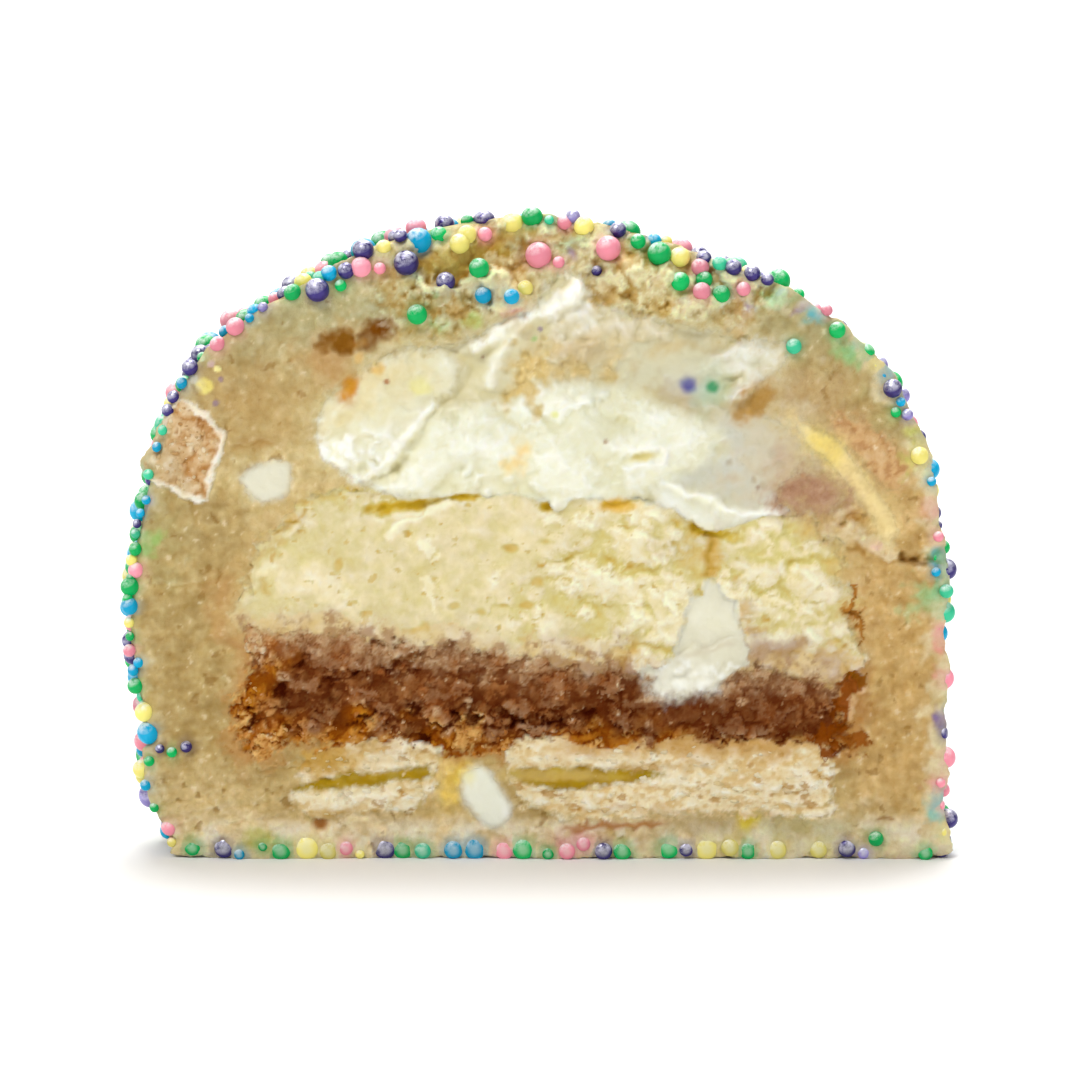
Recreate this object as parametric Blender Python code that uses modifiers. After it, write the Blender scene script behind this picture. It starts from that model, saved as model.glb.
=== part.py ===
"""One half of a domed stuffed cookie, as it stands after a knife has halved it.

A thick shell of cookie dough wraps a small round cheesecake on a crumb crust.
A dollop of cream lies over the cheesecake, and a broken sandwich biscuit with a
lemon filling lies under it. Sweet chips and biscuit chunks sit in the dough.

Every layer is first made whole, turned about the cookie's upright axis, and is
then halved by the same knife. Units are metres, +Z is up, and the cut faces -Y.
The model's origin is the middle of the half's bounding box, on the table.
"""

import math

import bmesh
import bpy
from mathutils import Euler, Matrix, Vector, noise

MM = 0.001
GAP = 0.3 * MM  # air left between pieces that touch in the real thing

# The dough shell
COOKIE_RADIUS = 34.3 * MM
COOKIE_HEIGHT = 54.0 * MM
SHOULDER = 20.0 * MM  # height at which the straight side turns into the dome
DOME_POWER = 2.15  # 2 is an ellipse, more is fuller
FOOT_ROUND = 3.2 * MM
LEFT_TAPER = 2.0 * MM  # how far the foot draws in on the left
LUMP = 0.55 * MM
COOKIE_STEPS = 60

# The round cheesecake and its crumb crust
CAKE_RADIUS = 25.5 * MM
CAKE_X = 0.9 * MM
CAKE_TOP = 30.3 * MM
CRUST_RADIUS = 25.7 * MM
CRUST_X = -0.3 * MM
CRUST_TOP = 16.6 * MM
CRUST_SLOPE = -0.085  # the crust is thinner on the right
CRUST_BOTTOM = 9.9 * MM

# The cream
CREAM_RADIUS = 19.6 * MM
CREAM_X = 0.9 * MM
CREAM_TOP = 44.6 * MM
CREAM_BOTTOM = CAKE_TOP + GAP

# The sandwich biscuit, a common 45 mm one, broken across by the cut
BISCUIT_RADIUS = 22.4 * MM
BISCUIT_X = 2.0 * MM
UPPER_WAFER = (7.3 * MM, 9.6 * MM)
LEMON = (5.8 * MM, 7.0 * MM)
LOWER_WAFER = (3.3 * MM, 5.5 * MM)
LEMON_END = 8.4 * MM  # past here, on the right, the wafers lie on each other
BREAK = (-8.6 * MM, -2.0 * MM)  # the gap between its two pieces

BIG = 0.2  # a size that is well outside the cookie


# ---------------------------------------------------------------- scene set-up
for old in list(bpy.data.objects):
    bpy.data.objects.remove(old, do_unlink=True)

parts = bpy.data.collections.new("stuffed_cookie_half")
cutters = bpy.data.collections.new("cutters")
for group in (parts, cutters):
    bpy.context.scene.collection.children.link(group)
cutters.hide_render = True


def finish(name, colour, roughness):
    """A plain material of one colour."""
    made = bpy.data.materials.new(name)
    made.use_nodes = True
    shader = made.node_tree.nodes["Principled BSDF"]
    shader.inputs["Base Color"].default_value = (*colour, 1.0)
    shader.inputs["Roughness"].default_value = roughness
    shader.inputs["Metallic"].default_value = 0.0
    return made


DOUGH = finish("cookie_dough", (0.55, 0.38, 0.17), 0.75)
CREAM = finish("cream", (0.90, 0.87, 0.72), 0.35)
CAKE = finish("baked_cheesecake", (0.80, 0.71, 0.40), 0.6)
CRUMB = finish("crumb_crust", (0.25, 0.09, 0.025), 0.85)
WAFER = finish("biscuit", (0.72, 0.55, 0.31), 0.85)
LEMON_FILLING = finish("lemon_filling", (0.50, 0.34, 0.03), 0.3)
CHIP = finish("sweet_chip", (0.86, 0.85, 0.72), 0.45)
CHUNK = finish("biscuit_chunk", (0.58, 0.38, 0.19), 0.85)


def object_of(name, mesh, group):
    made = bpy.data.objects.new(name, mesh)
    group.objects.link(made)
    if group is cutters:
        made.hide_render = True
        made.display_type = "WIRE"
    return made


def evaluated(obj, name):
    """A new mesh of the object with its modifiers applied, welded, with the object removed."""
    bpy.context.view_layer.update()
    graph = bpy.context.evaluated_depsgraph_get()
    mesh = bpy.data.meshes.new_from_object(obj.evaluated_get(graph))
    mesh.name = name
    mesh.transform(obj.matrix_world)
    bpy.data.objects.remove(obj, do_unlink=True)
    work = bmesh.new()
    work.from_mesh(mesh)
    bmesh.ops.remove_doubles(work, verts=work.verts, dist=0.002 * MM)
    bmesh.ops.dissolve_degenerate(work, edges=work.edges, dist=0.002 * MM)
    bmesh.ops.recalc_face_normals(work, faces=work.faces)
    work.to_mesh(mesh)
    work.free()
    return mesh


def turned(name, profile, steps):
    """A closed mesh of a profile of (radius, height) points, from the top of the axis down the outer side to its foot."""
    line = bpy.data.meshes.new(name)
    line.from_pydata(
        [(r, 0.0, z) for r, z in profile],
        [(i, i + 1) for i in range(len(profile) - 1)],
        [],
    )
    obj = object_of(name + "_turning", line, cutters)
    screw = obj.modifiers.new("turn", "SCREW")
    screw.axis = "Z"
    screw.angle = math.tau
    screw.steps = screw.render_steps = steps
    screw.use_merge_vertices = True
    screw.merge_threshold = 0.00001
    # half a step round, so that no edge lies in the knife's plane
    obj.rotation_euler = (0, 0, math.pi / steps)
    return evaluated(obj, name)


def moulded(mesh, rule):
    """The mesh with each corner moved to where the rule sends it."""
    for vertex in mesh.vertices:
        vertex.co = rule(vertex.co.copy())
    mesh.update()
    return mesh


def grown(mesh, name, by=GAP):
    """A copy of a closed mesh whose faces stand out by a set distance, to cut room for it."""
    work = bmesh.new()
    work.from_mesh(mesh)
    bmesh.ops.recalc_face_normals(work, faces=work.faces)
    work.normal_update()
    moves = [v.normal * by * min(v.calc_shell_factor(), 1.6) for v in work.verts]
    for vertex, move in zip(work.verts, moves):
        vertex.co += move
    made = bpy.data.meshes.new(name)
    work.to_mesh(made)
    work.free()
    return made


def block(name, low, high):
    """A cutting block between two corners, as a cube primitive."""
    work = bmesh.new()
    bmesh.ops.create_cube(work, size=1.0)
    size = Vector(high) - Vector(low)
    middle = (Vector(high) + Vector(low)) / 2
    bmesh.ops.scale(work, vec=size, verts=work.verts)
    bmesh.ops.translate(work, vec=middle, verts=work.verts)
    mesh = bpy.data.meshes.new(name)
    work.to_mesh(mesh)
    work.free()
    return object_of(name, mesh, cutters)


def cut(obj, *others):
    """Takes the closed cutters out of the piece. EXACT would turn its faces inward where two cutters share the knife's face, so the solver is MANIFOLD."""
    for other in others:
        boolean = obj.modifiers.new("less_" + other.name, "BOOLEAN")
        boolean.operation = "DIFFERENCE"
        boolean.object = other
        boolean.solver = "MANIFOLD"


def cut_mesh(mesh, name, *others):
    """The mesh with the cutters taken out of it, applied."""
    obj = object_of(name + "_whole", mesh, cutters)
    cut(obj, *others)
    return evaluated(obj, name)


def smooth(edge0, edge1, x):
    t = min(1.0, max(0.0, (x - edge0) / (edge1 - edge0)))
    return t * t * (3 - 2 * t)


def bump(x, middle, width):
    return math.exp(-(((x - middle) / width) ** 2))


def wave(p, scale, seed):
    """Smooth unevenness from -1 to 1 that depends only on the place."""
    return noise.noise(p / scale + Vector((seed * 7.3, seed * 3.1, seed * 11.7)))


def arc(cx, cz, rx, rz, start, end, count, power=2.0):
    """Points along a quarter of a superellipse; angles are from the level, in degrees."""
    points = []
    for i in range(count):
        a = math.radians(start + (end - start) * i / (count - 1))
        c, s = math.cos(a), math.sin(a)
        points.append(
            (
                cx + rx * math.copysign(abs(c) ** (2 / power), c),
                cz + rz * math.copysign(abs(s) ** (2 / power), s),
            )
        )
    return points


# ------------------------------------------------------------------- the knife
knife = block("knife", (-BIG, -BIG, -BIG), (BIG, 0.0, BIG))


# ------------------------------------------------------------------- the dough
def dough_profile():
    dome = arc(
        0, SHOULDER, COOKIE_RADIUS, COOKIE_HEIGHT - SHOULDER, 90, 0, 13, DOME_POWER
    )
    side = [(COOKIE_RADIUS, SHOULDER * k) for k in (0.68, 0.4)]
    foot = arc(
        COOKIE_RADIUS - FOOT_ROUND, FOOT_ROUND, FOOT_ROUND, FOOT_ROUND, 0, -90, 4
    )
    return [(0.0, COOKIE_HEIGHT)] + dome[1:] + side + foot + [(0.0, 0.0)]


def dough_shape(p):
    around = p.copy()
    r = math.hypot(p.x, p.y)
    if r < 1e-7:
        return p
    left = (1 - p.x / r) / 2  # 1 on the left of the cut, 0 on the right
    out = -LEFT_TAPER * left * (1 - smooth(0.0, 14 * MM, p.z))
    out += LUMP * wave(around, 11 * MM, 1)
    out += 0.25 * MM * wave(around, 5 * MM, 2) * smooth(2 * MM, 8 * MM, p.z)
    share = min(1.0, r / (12 * MM))
    p.x += p.x / r * out * share
    p.y += p.y / r * out * share
    # the base stays flat
    p.z += 0.8 * MM * wave(around, 13 * MM, 3) * smooth(6 * MM, 34 * MM, around.z)
    return p


dough_mesh = moulded(turned("dough", dough_profile(), COOKIE_STEPS), dough_shape)
dough = object_of("dough", dough_mesh, parts)
dough_mesh.materials.append(DOUGH)


def pebble(name, middle, size, tilt=0.0, seed=1, rings=8, uneven=0.12):
    """A rounded lump, from a sphere primitive."""
    work = bmesh.new()
    bmesh.ops.create_uvsphere(work, u_segments=12, v_segments=rings, radius=1.0)
    turn = Euler((0, math.radians(tilt), 0)).to_matrix()
    for vertex in work.verts:
        p = vertex.co * (1 + uneven * noise.noise(vertex.co * 1.7 + Vector((seed, 0, 0))))
        p = Vector((p.x * size[0], p.y * size[1], p.z * size[2]))
        # turned a little about Z too, so that no corner lies in the knife's plane
        p = Matrix.Rotation(0.13, 3, "Z") @ p
        vertex.co = turn @ p + Vector(middle)
    bmesh.ops.recalc_face_normals(work, faces=work.faces)
    mesh = bpy.data.meshes.new(name)
    work.to_mesh(mesh)
    work.free()
    return mesh


# the hollow that the knife tore out of the top of the cut
torn = object_of(
    "torn_hollow",
    pebble(
        "torn_hollow",
        (-5.0 * MM, -0.8 * MM, 50.3 * MM),
        (7.2 * MM, 4.8 * MM, 2.1 * MM),
        tilt=-4,
        seed=4,
        rings=10,
    ),
    cutters,
)


# ------------------------------------------- the cheesecake, its crust and cream
def layer_profile(radius, bottom, top, rounding, rings=2):
    """A disc with rounded rims, its flat faces divided into rings."""
    flat = radius - rounding
    inner = [flat * k / rings for k in range(1, rings)]
    over = arc(flat, top - rounding, rounding, rounding, 90, 0, 3)
    under = arc(flat, bottom + rounding, rounding, rounding, 0, -90, 3)
    return (
        [(0.0, top)]
        + [(r, top) for r in inner]
        + over
        + under
        + [(r, bottom) for r in reversed(inner)]
        + [(0.0, bottom)]
    )


def crust_top(p):
    return CRUST_TOP + CRUST_SLOPE * p.x + 0.3 * MM * wave(Vector((p.x, p.y, 0)), 9 * MM, 5)


def cake_top(p):
    fall = 2.3 * MM * smooth(10 * MM, 22 * MM, p.x)
    return CAKE_TOP - fall + 0.35 * MM * wave(Vector((p.x, p.y, 0)), 8 * MM, 6)


def cream_top(p):
    """The cream stands highest just right of the middle of the cut, and dips on its left."""
    peak = 2.6 * MM * bump(p.x, 3.2 * MM, 4.5 * MM) * bump(p.y, 0, 12 * MM)
    dip = 1.4 * MM * smooth(-1 * MM, -10 * MM, p.x)
    return peak - dip


def cheesecake_shape(p):
    p.x, y = p.x + CAKE_X, p.y
    middle = (CRUST_TOP + CAKE_TOP) / 2
    if p.z > middle:
        p.z += cake_top(p) - CAKE_TOP
    else:
        p.z += crust_top(p) - CRUST_TOP
    r = math.hypot(p.x, y) or 1.0
    out = 0.35 * MM * wave(p, 7 * MM, 7)
    p.x += p.x / r * out
    p.y += y / r * out
    return p


def crust_shape(p):
    p.x += CRUST_X
    if p.z > (CRUST_TOP + CRUST_BOTTOM) / 2:
        p.z += crust_top(p) - CRUST_TOP
    r = math.hypot(p.x, p.y) or 1.0
    out = 0.3 * MM * wave(p, 6 * MM, 8)
    p.x += p.x / r * out
    p.y += p.y / r * out
    return p


def cream_shape(p):
    p.x += CREAM_X
    share = smooth(CREAM_BOTTOM, CREAM_TOP, p.z)
    p.z += cream_top(p) * share + (cake_top(p) - CAKE_TOP) * (1 - share)
    r = math.hypot(p.x, p.y) or 1.0
    out = 0.7 * MM * wave(p, 8 * MM, 9) * smooth(0, 8 * MM, r)
    p.x += p.x / r * out
    p.y += p.y / r * out
    return p


def cream_profile():
    rise = arc(
        0, CREAM_BOTTOM + 4.5 * MM, CREAM_RADIUS, CREAM_TOP - CREAM_BOTTOM - 4.5 * MM,
        90, 0, 10, 3.0,
    )
    under = arc(
        CREAM_RADIUS - 5 * MM, CREAM_BOTTOM + 4.5 * MM, 5 * MM, 4.5 * MM, 0, -90, 5
    )
    return (
        [(0.0, CREAM_TOP)] + rise[1:] + under[1:]
        + [(CREAM_RADIUS * 0.4, CREAM_BOTTOM), (0.0, CREAM_BOTTOM)]
    )


cake_mesh = moulded(
    turned(
        "cheesecake",
        layer_profile(CAKE_RADIUS, CRUST_TOP + GAP, CAKE_TOP, 1.6 * MM, 3),
        40,
    ),
    cheesecake_shape,
)
crust_mesh = moulded(
    turned(
        "crumb_crust",
        layer_profile(CRUST_RADIUS, CRUST_BOTTOM, CRUST_TOP, 1.0 * MM, 3),
        40,
    ),
    crust_shape,
)
cream_mesh = moulded(turned("cream", cream_profile(), 40), cream_shape)

# a large white chunk lies across the joint of cheesecake and crust
white_chunk_mesh = pebble(
    "white_chunk",
    (13.2 * MM, 0.6 * MM, 18.6 * MM),
    (3.6 * MM, 3.8 * MM, 5.1 * MM),
    tilt=22,
    seed=3,
    rings=10,
)
white_chunk_room = object_of(
    "white_chunk_room", grown(white_chunk_mesh, "white_chunk_room"), cutters
)


def halved(name, mesh, finish_of, *more):
    """The piece as a node: its whole shape less the knife's side and less any other cutter."""
    obj = object_of(name, mesh, parts)
    mesh.materials.append(finish_of)
    cut(obj, knife, *more)
    return obj


rooms = [
    object_of(mesh.name + "_room", grown(mesh, mesh.name + "_room"), cutters)
    for mesh in (cream_mesh, cake_mesh, crust_mesh)
]

halved("cream", cream_mesh, CREAM)
halved("cheesecake", cake_mesh, CAKE, white_chunk_room)
halved("crumb_crust", crust_mesh, CRUMB, white_chunk_room)
halved("white_chunk", white_chunk_mesh, CHIP)


# ------------------------------------------------------- the sandwich biscuit
def biscuit_shape(levels):
    """Past the lemon filling, on the right, the wafers close on each other."""
    low, high = levels
    middle = (low + high) / 2

    def rule(p):
        p.x += BISCUIT_X
        if levels is LOWER_WAFER and p.z > middle:
            p.z += (UPPER_WAFER[0] - GAP - LOWER_WAFER[1]) * smooth(
                LEMON_END + 3.4 * MM, LEMON_END + 6.5 * MM, p.x
            )
        return p

    return rule


left_of_break = block("left_block", (BREAK[0], -BIG, -BIG), (BIG, BIG, BIG))
right_of_break = block("right_block", (-BIG, -BIG, -BIG), (BREAK[1], BIG, BIG))
past_lemon = block("past_lemon", (LEMON_END, -BIG, -BIG), (BIG, BIG, BIG))
room_left = block("room_left", (BREAK[0] + GAP, -BIG, -BIG), (BIG, BIG, BIG))
room_right = block("room_right", (-BIG, -BIG, -BIG), (BREAK[1] - GAP, BIG, BIG))

for part, levels, radius, look in (
    ("wafer_upper", UPPER_WAFER, BISCUIT_RADIUS, WAFER),
    ("lemon_filling", LEMON, BISCUIT_RADIUS - 1.4 * MM, LEMON_FILLING),
    ("wafer_lower", LOWER_WAFER, BISCUIT_RADIUS, WAFER),
):
    rounding = 0.35 * (levels[1] - levels[0])
    for side, cutter in (("left", left_of_break), ("right", right_of_break)):
        mesh = moulded(
            turned(part, layer_profile(radius, *levels, rounding, 6), 32),
            biscuit_shape(levels),
        )
        takes = [cutter]
        if part == "lemon_filling" and side == "right":
            takes.append(past_lemon)
        halved(f"{part}_{side}", cut_mesh(mesh, part, *takes), look)

sandwich = layer_profile(
    BISCUIT_RADIUS + GAP, LOWER_WAFER[0] - GAP, CRUST_BOTTOM + 0.1 * MM, 0.9 * MM, 2
)
for side, cutter in (("left", room_left), ("right", room_right)):
    mesh = turned("sandwich_room", sandwich, 32)
    mesh.transform(Matrix.Translation((BISCUIT_X, 0, 0)))
    rooms.append(
        object_of(
            f"sandwich_room_{side}", cut_mesh(mesh, "sandwich_room", cutter), cutters
        )
    )


# ------------------------------------------- chips and chunks held in the dough
def chunk(name, middle, size, tilt, bevel, look, deep):
    """A broken bit of biscuit: a cube primitive, bevelled all round, tilted in the cut."""
    work = bmesh.new()
    bmesh.ops.create_cube(work, size=1.0)
    for vertex in work.verts:
        p = vertex.co
        skew = 1 + 0.16 * (p.x * 2) * (p.z * 2)
        vertex.co = Vector((p.x * size[0] * skew, p.y * deep * 2, p.z * size[1]))
    bmesh.ops.bevel(
        work,
        geom=work.edges,
        offset=bevel,
        segments=2,
        profile=0.5,
        affect="EDGES",
        clamp_overlap=True,
    )
    bmesh.ops.rotate(
        work,
        cent=(0, 0, 0),
        matrix=Euler((0, math.radians(tilt), 0)).to_matrix(),
        verts=work.verts,
    )
    bmesh.ops.translate(work, vec=Vector((middle[0], 0, middle[1])), verts=work.verts)
    bmesh.ops.recalc_face_normals(work, faces=work.faces)
    mesh = bpy.data.meshes.new(name)
    work.to_mesh(mesh)
    work.free()
    rooms.append(object_of(name + "_room", grown(mesh, name + "_room"), cutters))
    halved(name, mesh, look)


def chip(name, middle, size, tilt, seed, look=CHIP):
    mesh = pebble(name, middle, size, tilt, seed)
    rooms.append(object_of(name + "_room", grown(mesh, name + "_room"), cutters))
    halved(name, mesh, look)


chip("white_chip_low", (-4.9 * MM, 0.5 * MM, 5.9 * MM), (2.0 * MM, 2.4 * MM, 2.6 * MM), -12, 5)
chip("white_chip_left", (-23.0 * MM, 0.3 * MM, 33.2 * MM), (1.9 * MM, 2.2 * MM, 1.5 * MM), -10, 6)
chunk("biscuit_chunk_left", (-29.2 * MM, 34.4 * MM), (5.0 * MM, 7.6 * MM), 14, 1.1 * MM, CHUNK, 5 * MM)
chunk("biscuit_chunk_right", (28.2 * MM, 34.7 * MM), (3.4 * MM, 5.8 * MM), -40, 0.9 * MM, CHUNK, 5 * MM)
chunk("lemon_cream_right", (25.3 * MM, 32.2 * MM), (1.5 * MM, 9.6 * MM), -40, 0.5 * MM, LEMON_FILLING, 5 * MM)
chip("biscuit_chunk_inner", (22.9 * MM, 0.3 * MM, 31.2 * MM), (1.7 * MM, 2.2 * MM, 1.1 * MM), -8, 7, CHUNK)

cut(dough, knife, torn, *rooms)


# -------------------------------------------------------------- origin and base
bpy.context.view_layer.update()
graph = bpy.context.evaluated_depsgraph_get()
whole = dough.evaluated_get(graph)
corners = [Vector(c) for c in whole.bound_box]
low = Vector(min(c[i] for c in corners) for i in range(3))
high = Vector(max(c[i] for c in corners) for i in range(3))

root = bpy.data.objects.new("stuffed_cookie_half", None)
parts.objects.link(root)
root.location = (-(low.x + high.x) / 2, -(low.y + high.y) / 2, -low.z)
for obj in list(parts.objects) + list(cutters.objects):
    if obj is not root:
        obj.parent = root
        if obj.type == "MESH" and obj.name in parts.objects:
            obj.data.shade_smooth()
            obj.data.set_sharp_from_angle(angle=math.radians(35))
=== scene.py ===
"""The looks of one half of a domed stuffed cookie, cut upright.

Every visible layer gets a closed mesh with a finely sculpted cut face. The relief and
the colours of each layer follow rules: smooth noise, rounded crumbs, pits, and named
knife strokes and tears. The sugar pearls and the loose crumbs are real meshes.

Lengths in the functions below are in millimetres, in the plane of the cut: x runs to
the right, z up from the base, and "out" towards the viewer. world() turns them into
the row's frame in metres.
"""

import math

import bpy
import numpy as np
from mathutils import Matrix, Vector, kdtree, noise

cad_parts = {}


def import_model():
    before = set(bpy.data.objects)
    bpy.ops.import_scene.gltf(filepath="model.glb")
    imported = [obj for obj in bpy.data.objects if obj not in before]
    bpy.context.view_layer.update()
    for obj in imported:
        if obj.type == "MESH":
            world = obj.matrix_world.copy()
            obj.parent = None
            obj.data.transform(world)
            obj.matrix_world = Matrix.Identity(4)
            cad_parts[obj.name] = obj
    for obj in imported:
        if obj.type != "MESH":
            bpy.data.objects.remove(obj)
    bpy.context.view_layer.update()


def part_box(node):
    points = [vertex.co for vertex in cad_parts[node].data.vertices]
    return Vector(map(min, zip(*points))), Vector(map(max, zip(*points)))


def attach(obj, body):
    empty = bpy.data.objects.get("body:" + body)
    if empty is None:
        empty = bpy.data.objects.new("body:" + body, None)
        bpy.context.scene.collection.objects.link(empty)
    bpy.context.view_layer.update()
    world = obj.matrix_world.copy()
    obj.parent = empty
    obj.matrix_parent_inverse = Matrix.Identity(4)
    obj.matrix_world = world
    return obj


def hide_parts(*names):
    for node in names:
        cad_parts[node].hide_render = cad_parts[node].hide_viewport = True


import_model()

# ------------------------------------------------------------------ the frame
DOUGH_LOW, DOUGH_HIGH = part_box("dough")
X0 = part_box("lemon_filling_right")[0].x * 1000 + 2.0  # that layer starts at x = -2 mm
Y0 = DOUGH_LOW.y * 1000  # the plane of the cut


def world(x, out, z):
    """Points in millimetres, in the plane of the cut, to the row's frame in metres."""
    return np.stack([x + X0, Y0 - out, z], -1) * 0.001


# ------------------------------------------------ the grid of the cut face, in mm
H = 0.152
XS = np.arange(-36.5, 36.5, H)
ZS = np.arange(-1.4, 56.8, H)
X, Z = np.meshgrid(XS, ZS)
NZ, NX = X.shape
FX = np.fft.rfftfreq(NX, H)[None, :]
FZ = np.fft.fftfreq(NZ, H)[:, None]


def field(seed, size, size_z=None, turn=0.0):
    """Smooth noise of unit spread, with lumps about size across; turn slants long ones, in degrees."""
    size_z = size if size_z is None else size_z
    white = np.random.default_rng(seed).standard_normal((NZ, NX))
    c, s = math.cos(math.radians(turn)), math.sin(math.radians(turn))
    along, across = FX * c + FZ * s, -FX * s + FZ * c
    low = np.exp(-2 * (math.pi * 0.32) ** 2 * ((along * size) ** 2 + (across * size_z) ** 2))
    made = np.fft.irfft2(np.fft.rfft2(white) * low, s=(NZ, NX))
    made -= made.mean()
    return made / (made.std() + 1e-12)


def octaves(seed, size, count=4, fall=0.55, stretch=1.0, turn=0.0):
    """Noise of several sizes added up, of unit spread."""
    made = sum(
        field(seed + k, size * stretch / 2**k, size / 2**k, turn) * fall**k
        for k in range(count)
    )
    return made / made.std()


def blurred(a, size):
    low = np.exp(-2 * (math.pi * size) ** 2 * (FX**2 + FZ**2))
    return np.fft.irfft2(np.fft.rfft2(a) * low, s=(NZ, NX))


def smooth(low, high, x):
    t = np.clip((x - low) / (high - low), 0, 1)
    return t * t * (3 - 2 * t)


def mix(a, b, t):
    return a * (1 - t) + b * t


def cells(seed, size, sx=1.0, sz=1.0, warp=0.25):
    """For each point, the distance to the nearest of scattered seeds, to the next one, and a random number of the nearest."""
    rng = np.random.default_rng(seed)
    jx, jz, tone = (rng.random((64, 64)) for _ in range(3))
    u = (X + warp * size * field(seed + 900, size * 1.5)) / (size * sx)
    v = (Z + warp * size * field(seed + 901, size * 1.5)) / (size * sz)
    iu, iv = np.floor(u).astype(int), np.floor(v).astype(int)
    near = np.full(X.shape, 9.0)
    far = np.full(X.shape, 9.0)
    which = np.zeros(X.shape)
    for du in (-1, 0, 1):
        for dv in (-1, 0, 1):
            a, b = (iu + du) % 64, (iv + dv) % 64
            d = np.hypot(u - (iu + du + 0.1 + 0.8 * jx[b, a]), v - (iv + dv + 0.1 + 0.8 * jz[b, a]))
            closer = d < near
            far = np.where(closer, near, np.minimum(far, d))
            which = np.where(closer, tone[b, a], which)
            near = np.where(closer, d, near)
    return near * size, far * size, which


def grains(seed, size, sx=1.0, sz=1.0, warp=0.25):
    """The height of rounded grains packed side by side, from about 0 to half their size, and a random number of each."""
    near, far, which = cells(seed, size, sx, sz, warp)
    reach = size * (0.42 + 0.28 * which)
    cap = np.sqrt(np.clip(reach**2 - near**2, 0, None))
    split = smooth(0, 0.25 * size, far - near)
    return cap * (0.35 + 0.65 * split), which


def pits(seed, size, share, sx=1.0, sz=1.0, warp=0.35):
    """The depth of scattered hollows, from 0 to 1; share of the cells have one."""
    near, _, which = cells(seed, size, sx, sz, warp)
    reach = size * (0.2 + 0.26 * ((which * 7.31) % 1))
    return np.where(which < share, smooth(reach, reach * 0.35, near), 0)


# ------------------------------------------------------------ outlines and strokes
def curve(points, closed=True, step=0.5):
    """A smooth line through the points (Catmull-Rom), with a point about every step."""
    p = np.array(points, float)
    n = len(p)
    made = []
    for i in range(n if closed else n - 1):
        if closed:
            a, b, c, d = p[i - 1], p[i], p[(i + 1) % n], p[(i + 2) % n]
        else:
            a, b, c, d = p[max(i - 1, 0)], p[i], p[i + 1], p[min(i + 2, n - 1)]
        count = max(1, int(math.ceil(np.hypot(*(c - b)) / step)))
        t = (np.arange(count) / count)[:, None]
        made.append(
            0.5
            * (
                2 * b
                + (c - a) * t
                + (2 * a - 5 * b + 4 * c - d) * t**2
                + (3 * b - a - 3 * c + d) * t**3
            )
        )
    if not closed:
        made.append(p[-1:])
    return np.concatenate(made)


def window(points, margin):
    low, high = points.min(0) - margin, points.max(0) + margin
    c0, c1 = np.searchsorted(XS, [low[0], high[0]])
    r0, r1 = np.searchsorted(ZS, [low[1], high[1]])
    return slice(max(r0, 0), min(r1 + 1, NZ)), slice(max(c0, 0), min(c1 + 1, NX))


def inside(points, margin=4.5):
    """Signed distance to a closed outline: negative inside, and margin at most outside."""
    line = curve(points)
    rows, cols = window(line, margin)
    x, z = X[rows, cols], Z[rows, cols]
    best = np.full(x.shape, margin**2)
    odd = np.zeros(x.shape, bool)
    for (ax, az), (bx, bz) in zip(line, np.roll(line, -1, 0)):
        ex, ez = bx - ax, bz - az
        length2 = ex * ex + ez * ez
        if length2 < 1e-12:
            continue
        t = np.clip(((x - ax) * ex + (z - az) * ez) / length2, 0, 1)
        best = np.minimum(best, (x - ax - t * ex) ** 2 + (z - az - t * ez) ** 2)
        if az != bz:
            crosses = (z >= min(az, bz)) & (z < max(az, bz))
            odd ^= crosses & (x < ax + (z - az) * ex / ez)
    made = np.full(X.shape, margin)
    made[rows, cols] = np.where(odd, -1, 1) * np.sqrt(best)
    return made


class Stroke:
    """An open line across the cut: for each point its distance, its side (+1 is left of the line's direction) and how far along it is."""

    def __init__(self, points, reach=3.0, rough=0.0, seed=0):
        line = curve(points, closed=False, step=0.4)
        self.win = window(line, reach)
        x, z = X[self.win], Z[self.win]
        if rough:
            x = x + rough * field(seed, 1.1)[self.win]
            z = z + rough * field(seed + 1, 1.1)[self.win]
        best = np.full(x.shape, 1e9)
        self.side = np.ones(x.shape)
        self.along = np.zeros(x.shape)
        lengths = np.hypot(*np.diff(line, axis=0).T)
        total, run = lengths.sum(), 0.0
        for (ax, az), (bx, bz), length in zip(line[:-1], line[1:], lengths):
            ex, ez = bx - ax, bz - az
            t = np.clip(((x - ax) * ex + (z - az) * ez) / max(length**2, 1e-12), 0, 1)
            d = (x - ax - t * ex) ** 2 + (z - az - t * ez) ** 2
            closer = d < best
            best = np.where(closer, d, best)
            cross = ex * (z - az) - ez * (x - ax)
            self.side = np.where(closer, np.where(cross >= 0, 1.0, -1.0), self.side)
            self.along = np.where(closer, (run + t * length) / total, self.along)
            run += length
        self.dist = np.sqrt(best)
        self.fade = np.clip(1 - self.dist / reach, 0, 1) ** 0.5

    def taper(self, ends=0.25):
        return smooth(0, ends, self.along) * smooth(1, 1 - ends, self.along)


def ridge(height, points, tall, wide, ends=0.3, rough=0.0, seed=0):
    """Raises (or with a negative number sinks) a soft line."""
    s = Stroke(points, wide * 3, rough, seed)
    height[s.win] += tall * np.exp(-((s.dist / wide) ** 2)) * s.taper(ends)


def fold(height, points, tall, wide, steep=0.25, ends=0.3, rough=0.0, seed=0):
    """A lip that swells over wide on the line's left and drops off steeply on its right."""
    s = Stroke(points, wide * 3, rough, seed)
    d = s.dist * s.side
    swell = np.exp(-np.clip(d, 0, None) / wide) * smooth(-steep, 0, d)
    under = np.exp(-((np.clip(-d, 0, None) - steep) / (0.8 * steep + 0.2)) ** 2) * (d < 0)
    height[s.win] += (tall * swell - 0.45 * tall * under) * s.taper(ends)


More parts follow.
